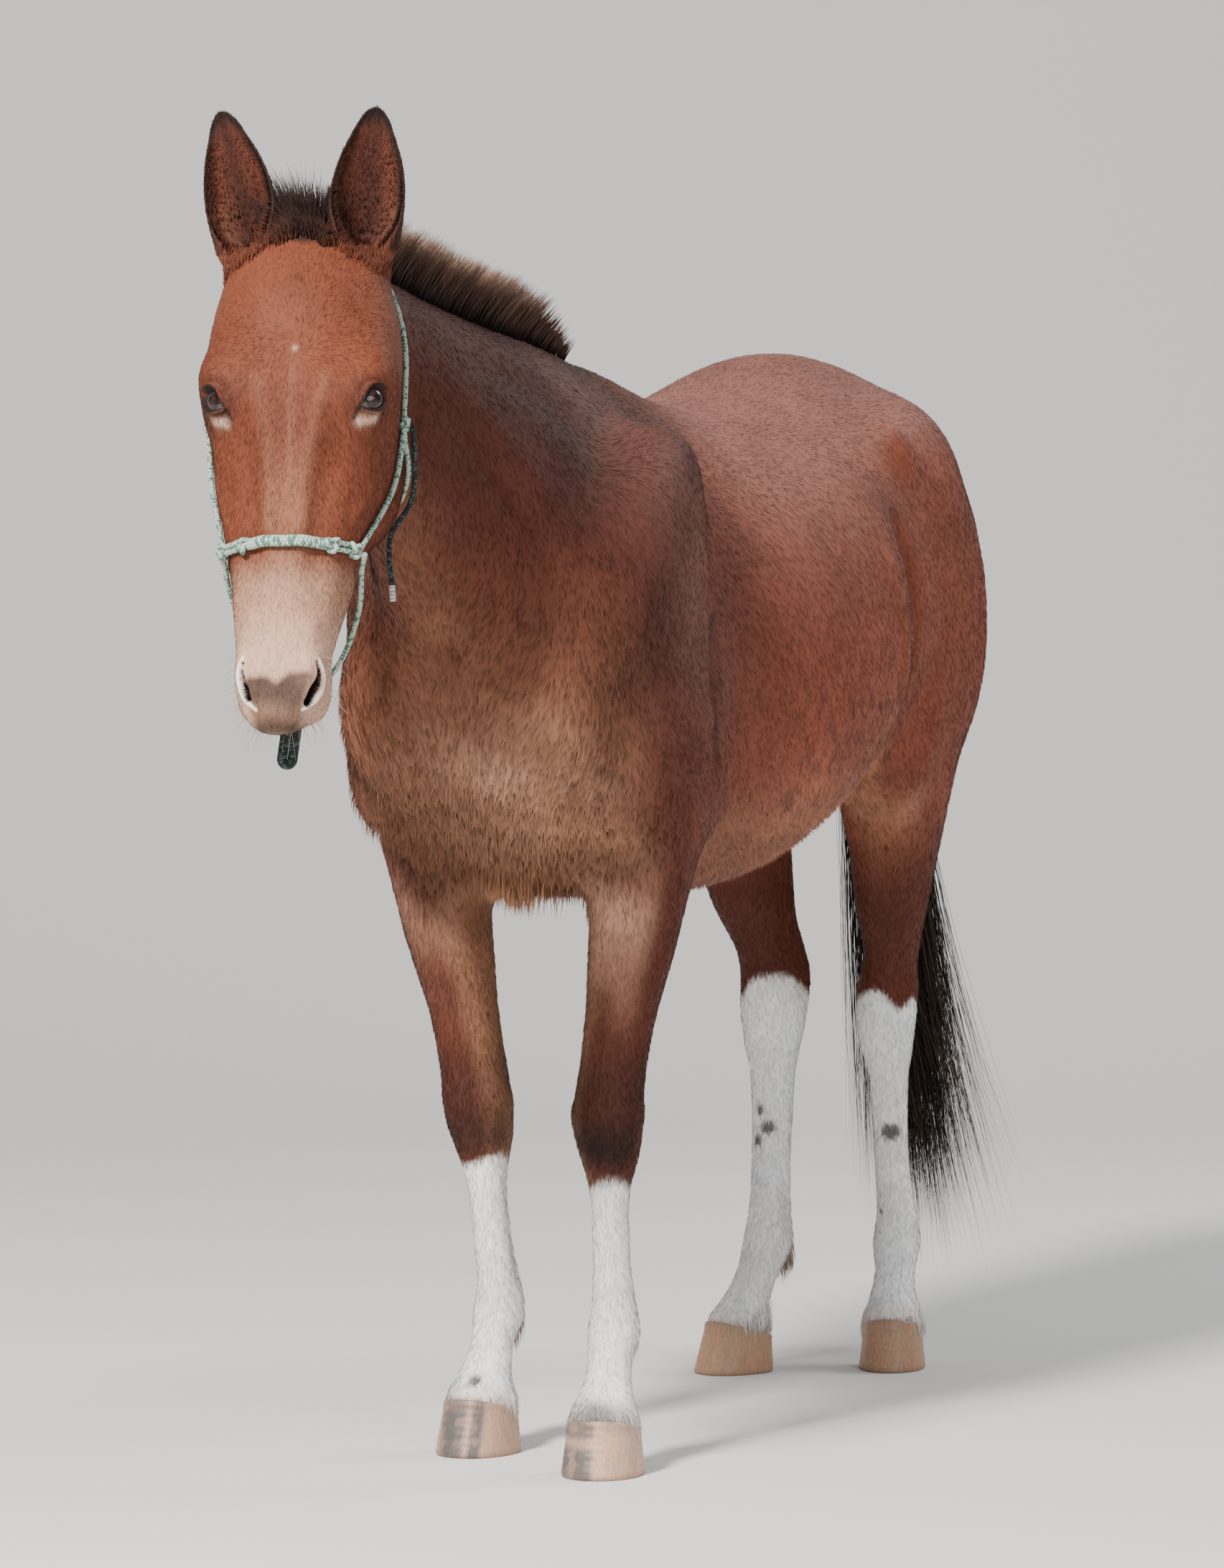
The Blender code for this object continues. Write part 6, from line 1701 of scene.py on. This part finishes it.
def eyeball(side):
    rings, around = 40, 64
    points, colours = [], []
    level = head_way(side, (1, 0, 0))
    level = np.array((level.x, level.y)) / math.hypot(level.x, level.y)
    for i in range(rings + 1):
        polar = math.pi * i / rings
        for k in range(around):
            a = 2 * math.pi * k / around
            point = np.array((math.sin(polar) * math.cos(a), math.sin(polar) * math.sin(a), math.cos(polar)))
            bulge = 1 + 0.035 * math.exp(-((polar / 0.42) ** 4))
            points.append(point * (EYE_RADIUS - 0.0009) * bulge)
            along, over = point[:2] @ level, point[0] * -level[1] + point[1] * level[0]
            edge = math.hypot(point[0], point[1]) if polar < math.pi / 2 else 1.0
            slot = math.hypot(along / 0.34, over / 0.17)
            ray = 0.5 + 0.5 * math.sin(a * 37) * math.sin(a * 23 + 1)
            iris = np.array((0.03, 0.012, 0.009)) * (0.7 + 0.6 * ray)
            if edge >= 0.66:
                iris = np.array((0.01, 0.007, 0.007))
            if 0.6 < edge < 0.7:
                iris = np.array((0.008, 0.005, 0.005))
            if edge > 0.8:
                iris = np.array((0.04, 0.026, 0.022))
            colours.append(np.array((0.002, 0.002, 0.004)) if slot < 1 else iris)
    mesh = bpy.data.meshes.new("eyeball")
    mesh.from_pydata([tuple(p) for p in points], [], ring_faces(rings + 1, around, other_way=True))
    paint(mesh, np.array(colours))
    mesh.transform(EYES[side])
    face_outwards(mesh, weld=0.00001)
    mesh.shade_smooth()
    return mesh


def colour_mix(tree, first, second, share):
    """A blend of two colours, by a share that another node gives."""
    mix = add_node(tree, "Mix", data_type="RGBA")
    mix.inputs["A"].default_value, mix.inputs["B"].default_value = (*first, 1), (*second, 1)
    tree.links.new(share, mix.inputs["Factor"])
    return mix.outputs["Result"]


eye_material, eye_tree, eye_shader = new_material("eye_wet", 0.05, 0.3)
speckle = noise_node(eye_tree, 600, 2.0, own_place(eye_tree))
tinted = scaled_colour(
    eye_tree, painted_colour(eye_tree), math_node(eye_tree, "MULTIPLY_ADD", speckle, 0.8, 0.6)
)
eye_tree.links.new(tinted, eye_shader.inputs["Base Color"])
eye_shader.inputs["Coat Weight"].default_value = 0.25
eye_shader.inputs["Coat Roughness"].default_value = 0.02
lid_material, lid_tree, lid_shader = new_material("lid_rim", 0.45, 0.2)
grain = noise_node(lid_tree, 900, 2.0, own_place(lid_tree))
lid_colour = colour_mix(lid_tree, (0.01, 0.007, 0.006), (0.022, 0.013, 0.011), grain)
lid_tree.links.new(lid_colour, lid_shader.inputs["Base Color"])
for side, name in ((-1, "right"), (1, "left")):
    mesh = eyeball(side)
    mesh.materials.append(eye_material)
    add_piece("eyeball_" + name, mesh, ["eye_" + name])
    rim = []
    for k in range(72):
        a = 2 * math.pi * k / 72
        u = LID_LONG * 0.985 * math.cos(a)
        tall = LID_OPEN if math.sin(a) > 0 else LID_OPEN * 0.92
        v = math.copysign(tall * max(1 - (u / LID_LONG) ** 2, 0) ** 0.75, math.sin(a))
        rim.append(unit(np.array((u, v, math.sqrt(EYE_RADIUS**2 - u * u - v * v)))) * (EYE_RADIUS + 0.0006))
    rim = from_eye(np.array(rim + rim[:2]), side)
    rim_mesh = tube_mesh("lid_rim", rim, 0.0012, 8)
    rim_mesh.materials.append(lid_material)
    add_piece("lid_rim_" + name, rim_mesh)
print("eyes set")

# %% [markdown]
# ## Hooves
#
# The wall of a hoof grows down from the coronet like a fingernail, and leaves faint rings round it. It
# slopes forward at the toe. Each hoof is lofted in many rings, and its colour runs down in streaks.

# %% Hoof walls
HOOF = {"fore": (0.051, 0.058, 0.05), "hind": (0.046, 0.055, 0.05)}
HORN_TAN, HORN_SLATE = (0.5, 0.31, 0.21), (0.06, 0.066, 0.076)
HORN_AMBER, HORN_PINK = (0.48, 0.27, 0.155), (0.58, 0.36, 0.26)


def hoof_outline(kind, z, a):
    """The wall's outline at a height and an angle from the toe: sideways and backwards, in metres."""
    half, fore, back = HOOF[kind]
    heights = (0.0, 0.004, 0.045, 0.094)
    wide = np.interp(z, heights, (half * 1.07, half * 1.09, half * 0.99, half * 0.86))
    ahead = np.interp(z, heights, (fore + 0.019, fore + 0.021, fore + 0.007, fore - 0.009))
    behind = np.interp(z, heights, (back * 0.92, back * 0.97, back * 0.98, back * 0.9))
    front = np.cos(a) > 0
    power = 2 / np.where(front, 2.2, 2.6)
    x = wide * np.sign(np.sin(a)) * np.abs(np.sin(a)) ** power
    y = np.where(front, -ahead, behind) * np.abs(np.cos(a)) ** power
    return x, y


def horn_colour(name, x, y, z, a):
    """Streaks of slate and tan down the wall, as each foot has its own."""
    wobble = 0.25 * np.sin(a * 9 + 1) + 0.18 * np.sin(a * 23 + 2)
    if name == "fore_right":
        slate = ramp(0.036 - np.abs(x + 0.002), 0, 0.008) * (np.cos(a) > 0)
        slate = slate * (1 - 0.85 * spread(x, 0.011, 0.004))
        base = HORN_TAN
    elif name == "fore_left":
        slate = ramp(-x, -0.006, 0.004) * (np.cos(a) > -0.4) * (1 - 0.7 * spread(z, 0.048, 0.008))
        base = HORN_PINK
    else:
        slate = 0.14 * (1 + wobble)
        base = HORN_AMBER
    scratches = wavering(np.stack([x * 0.6, y * 0.6, z + 0 * x], 1), 300, 7)
    scratches = scratches + wavering(np.stack([x, y, z * 0.12 + 0 * x], 1), 260, 8)
    slate = np.clip(slate * (0.86 - 0.3 * ramp(scratches, 0.1, 1.3)), 0, 1)
    colour = mixed(same(base, len(x)), HORN_SLATE, slate)
    colour = mixed(colour, (0.3, 0.2, 0.14), 0.55 * ramp(z, 0.052, 0.078))
    colour = mixed(colour, (0.16, 0.1, 0.07), 0.45 * (1 - ramp(z, 0.000, 0.01)))
    return colour * (1 + 0.1 * wobble + 0.02 * np.sin(z * 690 + 0.8 * np.sin(a * 3)))[:, None]


horn_material, horn_tree, horn_shader = new_material("hoof_horn", 0.46, 0.45)
downwards = add_node(horn_tree, "Mapping", {"Scale": (420, 420, 22), "Vector": own_place(horn_tree)})
fibre = noise_node(horn_tree, 1.0, 3.0, downwards.outputs["Vector"])
streaked = math_node(horn_tree, "MULTIPLY_ADD", fibre, 0.8, 0.5)
horn_tree.links.new(
    scaled_colour(horn_tree, painted_colour(horn_tree), streaked), horn_shader.inputs["Base Color"]
)
add_bump(horn_tree, horn_shader, fibre, 0.5, 0.0006)

around, levels = 104, 34
for name, (side, hoof, toe, joint) in FEET.items():
    kind = name.split("_")[0]
    half, fore, back = HOOF[kind]
    a = 2 * np.pi * np.arange(around) / around
    rings, colours = [], []
    for z, shrink in ((0.0035, 0.45), (0.003, 0.78), (0.0, 0.9)):
        x, y = hoof_outline(kind, 0.0, a)
        rings.append(np.stack([x * shrink, y * shrink, np.full(around, z)], 1))
        colours.append(same((0.11, 0.085, 0.07), around))
    for level in range(levels + 1):
        s = level / levels
        x, y = hoof_outline(kind, 0.078 * s, a)
        top = 0.08 + (y + fore) * (-0.028 / (fore + back))
        z = s * top
        x, y = hoof_outline(kind, z, a)
        ripple = 0.00022 * np.sin(z * 640 + 0.6 * np.sin(a * 2))
        ripple = ripple + 0.0013 * np.exp(-(((s - 0.93) / 0.06) ** 2))
        reach = np.hypot(x, y)
        ripple = ripple + 0.00015 * np.sin(a * 31) * (s < 0.9)
        x, y = x * (1 + ripple / reach), y * (1 + ripple / reach)
        rings.append(np.stack([x, y, z], 1))
        colours.append(horn_colour(name, x, y, z, a))
    rings.append(rings[-1] * np.array((0.86, 0.86, 1.0)) - np.array((0, 0, 0.001)))
    colours.append(same(BEIGE, around))
    points, rows = np.concatenate(rings), len(rings)
    faces = [tuple(range(around)), tuple((rows - 1) * around + k for k in range(around))[::-1]]
    faces += ring_faces(rows, around, other_way=True)
    mesh = bpy.data.meshes.new("hoof_" + name)
    mesh.from_pydata(points.tolist(), [], faces)
    paint(mesh, np.concatenate(colours).clip(0.01, 0.9))
    place_foot = Matrix.Translation((hoof[0] * side + SHIFT[0], hoof[1] + SHIFT[1], 0))
    mesh.transform(place_foot @ Matrix.Rotation(math.radians(toe) * side, 4, "Z"))
    face_outwards(mesh)
    mesh.shade_smooth()
    mesh.materials.append(horn_material)
    add_piece("horn_" + name, mesh, ["hoof_" + name])
print("hooves done")

# %% [markdown]
# ## The rope halter
#
# The halter is one length of braided rope, tied in knots: doubled over the nose with a wrapped middle,
# single along the cheeks, behind the ears and under the jaw. The braid is a bump and a colour that
# follow each rope's own map, once round and metres along.

# %% The braid
braid, given, result = new_group("braid", {"Turns": "Float"}, {"Height": "Float", "Fleck": "Float"})
rope_map = add_node(braid, "UVMap", uv_map="rope").outputs["UV"]
parts = add_node(braid, "SeparateXYZ", {"Vector": rope_map}).outputs
round_it = math_node(braid, "MULTIPLY", parts["X"], given["Turns"])
along_it = math_node(braid, "MULTIPLY", parts["Y"], 210.0)
ways = [math_node(braid, operation, round_it, along_it) for operation in ("ADD", "SUBTRACT")]
waves = [math_node(braid, "SINE", math_node(braid, "MULTIPLY", way, math.pi)) for way in ways]
ridges = [math_node(braid, "ABSOLUTE", wave) for wave in waves]
braid.links.new(math_node(braid, "MULTIPLY", *ridges), result["Height"])
cells = [math_node(braid, "FLOOR", way) for way in ways]
cell = add_node(braid, "CombineXYZ", {"X": cells[0], "Y": cells[1]}).outputs["Vector"]
chance = add_node(braid, "TexWhiteNoise", {"Vector": cell}).outputs["Value"]
braid.links.new(math_node(braid, "GREATER_THAN", chance, 0.76), result["Fleck"])


def rope_material(name, main, fleck, turns):
    made, tree, shader = new_material(name, 0.72, 0.3)
    group = add_node(tree, "Group", node_tree=braid)
    group.inputs["Turns"].default_value = turns
    height = group.outputs["Height"]
    flecked = colour_mix(tree, main, fleck, group.outputs["Fleck"])
    shadowed = scaled_colour(tree, flecked, math_node(tree, "MULTIPLY_ADD", height, 0.5, 0.62))
    tree.links.new(shadowed, shader.inputs["Base Color"])
    add_bump(tree, shader, height, 0.9, 0.0012)
    return made


sage = rope_material("sage_braid", (0.43, 0.54, 0.45), (0.11, 0.215, 0.17), 4)
dark_braid = rope_material("dark_braid", (0.012, 0.016, 0.016), (0.045, 0.085, 0.075), 4)
whipping = rope_material("white_whipping", (0.62, 0.6, 0.55), (0.5, 0.47, 0.42), 1)
end_mesh.materials.append(dark_braid)
rope_tip.data.materials.append(whipping)

# %% Ropes and knots of the halter
skin_tree = BVHTree.FromPolygons([Vector(p) for p in skin_points], [tuple(t) for t in triangles])


def on_skin(local, stand_off):
    point, normal, _, _ = skin_tree.find_nearest(head @ Vector(local))
    return np.array(point + normal * stand_off)


def held_off(place, room):
    point = Vector(place)
    nearest, normal, _, _ = skin_tree.find_nearest(point)
    out = (point - nearest).dot(normal)
    return np.array(point if out > room else point + normal * (room - out))


def evened(path, spacing=0.004):
    """The same path with its points a set way apart, after a light smoothing."""
    path = np.asarray(path)
    for _ in range(3):
        path[1:-1] = 0.5 * path[1:-1] + 0.25 * (path[:-2] + path[2:])
    run = run_of(path)
    wanted = np.linspace(0, run[-1], max(int(run[-1] / spacing), 4))
    return np.array([np.interp(wanted, run, path[:, k]) for k in range(3)]).T


def both_sides(half_path):
    return [(-x, y, z) for x, y, z in half_path[:-1]] + half_path[::-1]


OFF = ROPE_RADIUS * 1.45
DOWN = HEAD @ np.array((0, 0, -1))
CHEEK = [(0.09, -0.012, -0.408), (0.106, 0.026, -0.35), (0.116, 0.05, -0.28), (0.116, 0.056, -0.205)]
CHEEK += [(0.112, 0.054, -0.13), (0.104, 0.056, -0.06)]
CROWN = [(0.104, 0.056, -0.06), (0.092, 0.064, 0.000), (0.05, 0.062, 0.028), (0, 0.058, 0.036)]
THROAT = [(0.116, 0.06, -0.215), (0.104, 0.12, -0.262), (0.066, 0.166, -0.296), (0, 0.17, -0.305)]
CURB = [(0.094, -0.022, -0.409), (0.086, 0.004, -0.426), (0.078, 0.04, -0.47)]
CURB += [(0.046, 0.08, -0.53), (-0.01, 0.098, -0.572)]
TIE_KNOT, CHIN_KNOT = (0.116, 0.058, -0.207), (-0.01, 0.1, -0.574)


def nose_point(degrees, drop=0.0, off=OFF):
    a = math.radians(degrees)
    return on_skin((0.11 * math.sin(a), -0.01 - 0.08 * math.cos(a), -0.408 - drop), off)


halter_paths = []
for drop in (-0.004, 0.004):
    halter_paths.append(evened([nose_point(d, drop + 0.0006 * math.sin(d * 0.4)) for d in range(-76, 77, 4)]))
halter_paths.append(evened([on_skin(p, OFF) for p in smooth_rows(both_sides(CROWN), 8)]))
for line in (CHEEK, flipped(CHEEK)):
    halter_paths.append(evened([on_skin(p, OFF) for p in smooth_rows(line, 10)]))
for line in (both_sides(CURB), both_sides(THROAT)):
    halter_paths.append(evened([held_off(head @ Vector(p), OFF) for p in smooth_rows(line, 10)]))
wrap_path = evened([nose_point(d, 0, OFF * 1.15) for d in range(-35, 36, 3)])
wrap_tube = tube_mesh("wrap", wrap_path, 0.0076, 20, flat=0.66, across=DOWN)


def knot_path(centre, out, along, size):
    """A fist knot: a closed winding that passes three times over itself."""
    third = np.cross(out, along)
    t = np.linspace(0, 2 * np.pi, 70)
    x = (np.sin(t) + 2 * np.sin(2 * t)) * 0.3
    y = (np.cos(t) - 2 * np.cos(2 * t)) * 0.3
    z = -np.sin(3 * t) * 0.42
    return centre + (x[:, None] * along + y[:, None] * third + z[:, None] * out) * size


knot_places = [(nose_point(d, off=OFF * 1.5), 0.0104) for d in (-76, -38, 38, 76)]
knot_places += [(on_skin((TIE_KNOT[0] * s, TIE_KNOT[1], TIE_KNOT[2]), OFF * 1.2), 0.0092) for s in (-1, 1)]
knot_places.append((held_off(head @ Vector(CHIN_KNOT), ROPE_RADIUS * 2), 0.0104))
meshes = [tube_mesh("rope", path, ROPE_RADIUS, 12) for path in halter_paths] + [wrap_tube]
for centre, size in knot_places:
    out = unit(centre - np.array(skin_tree.find_nearest(Vector(centre))[0]))
    along = unit(np.cross(out, DOWN))
    meshes.append(tube_mesh("knot", knot_path(centre, out, along, size), ROPE_RADIUS * 0.95, 10))
shape = bmesh.new()
for mesh in meshes:
    shape.from_mesh(mesh)
    bpy.data.meshes.remove(mesh)
halter_mesh = bpy.data.meshes.new("halter_rope")
shape.to_mesh(halter_mesh)
shape.free()
halter_mesh.materials.append(sage)
add_piece("halter_rope", halter_mesh, ["halter"])
print("halter", len(halter_paths), "ropes,", len(knot_places), "knots,", len(halter_mesh.polygons), "faces")

# %% The dark loop under the chin
top = held_off(head @ Vector(CHIN_KNOT), 0.008)
bottom = np.array((top[0] - 0.012, top[1], 0.984))
down = unit(bottom - top)
across_loop = HEAD @ np.array((1, 0, 0))
across_loop = unit(across_loop - down * (across_loop @ down))
straight = np.linalg.norm(bottom - top) - 0.0068
loop = [top + down * straight * t - across_loop * 0.0068 for t in np.linspace(0, 0.95, 12)]
for k in range(13):
    a = math.pi * k / 12
    loop.append(top + down * straight + (down * math.sin(a) - across_loop * math.cos(a)) * 0.0068)
loop += [top + down * straight * t + across_loop * 0.0068 for t in np.linspace(0.95, 0, 12)]
loop_mesh = tube_mesh("chin_loop", loop, 0.0066, 14, across=np.cross(down, across_loop))
loop_mesh.materials.append(dark_braid)
add_piece("chin_loop", loop_mesh, ["halter_chin_loop"])
print("chin loop", round(float(straight), 3), "m long")

# %% [markdown]
# ## Floor and lights
#
# The studio is a pale sweep that runs up behind the mule without a corner, one large soft lamp high
# at the front, as the sun was, and weaker ones that open the shadows and draw the back's edge.

# %% The pale sweep
profile = [(-9.0, 0.0), (4.5, 0.0)]
profile += [(4.5 + 3.5 * math.sin(a), 3.5 - 3.5 * math.cos(a)) for a in np.linspace(0.1, math.pi / 2, 24)]
profile += [(8.0, 9.0)]
turn = math.radians(22)
along = Vector((-math.sin(turn), math.cos(turn), 0))
sideways = Vector((math.cos(turn), math.sin(turn), 0))
sweep_points, sweep_faces = [], []
for d, z in profile:
    for w in (-13.0, 13.0):
        sweep_points.append(tuple(along * d + sideways * w + Vector((0, 0, z))))
for i in range(len(profile) - 1):
    sweep_faces.append((2 * i, 2 * i + 1, 2 * i + 3, 2 * i + 2))
sweep_mesh = bpy.data.meshes.new("sweep")
sweep_mesh.from_pydata(sweep_points, [], sweep_faces)
sweep_mesh.shade_smooth()
sweep = new_object("sweep", sweep_mesh)
paper, paper_tree, paper_shader = new_material("paper", 0.9, 0.1)
paper_shader.inputs["Base Color"].default_value = (0.74, 0.735, 0.72, 1)
behind = paper_tree.nodes.new("ShaderNodeNewGeometry")
clear = paper_tree.nodes.new("ShaderNodeBsdfTransparent")
one_sided = paper_tree.nodes.new("ShaderNodeMixShader")
paper_tree.links.new(behind.outputs["Backfacing"], one_sided.inputs["Fac"])
paper_tree.links.new(paper_shader.outputs["BSDF"], one_sided.inputs[1])
paper_tree.links.new(clear.outputs["BSDF"], one_sided.inputs[2])
for node in paper_tree.nodes:
    if node.type == "OUTPUT_MATERIAL":
        paper_tree.links.new(one_sided.outputs["Shader"], node.inputs["Surface"])
sweep_mesh.materials.append(paper)
world = bpy.data.worlds.new("studio")
world.use_nodes = True
world.node_tree.nodes["Background"].inputs["Color"].default_value = (0.86, 0.9, 0.96, 1)
world.node_tree.nodes["Background"].inputs["Strength"].default_value = 0.38
bpy.context.scene.world = world

# %% Lamps


def area_light(name, place, aim, size, power, colour):
    data = bpy.data.lights.new(name, "AREA")
    data.shape, data.size, data.energy, data.color = "DISK", size, power, colour
    lamp = new_object(name, data)
    lamp.location = place
    lamp.rotation_euler = (Vector(aim) - Vector(place)).to_track_quat("-Z", "Y").to_euler()


area_light("key", (-0.9, -6.3, 5.9), (0, 0, 0.9), 1.4, 1380, (1.0, 0.96, 0.91))
area_light("fill", (5.5, -5.0, 3.0), (0, 0, 0.9), 4.0, 190, (0.92, 0.96, 1.0))
area_light("edge", (2.6, 3.6, 4.6), (0, 0.4, 1.1), 2.2, 140, (1.0, 0.98, 0.95))
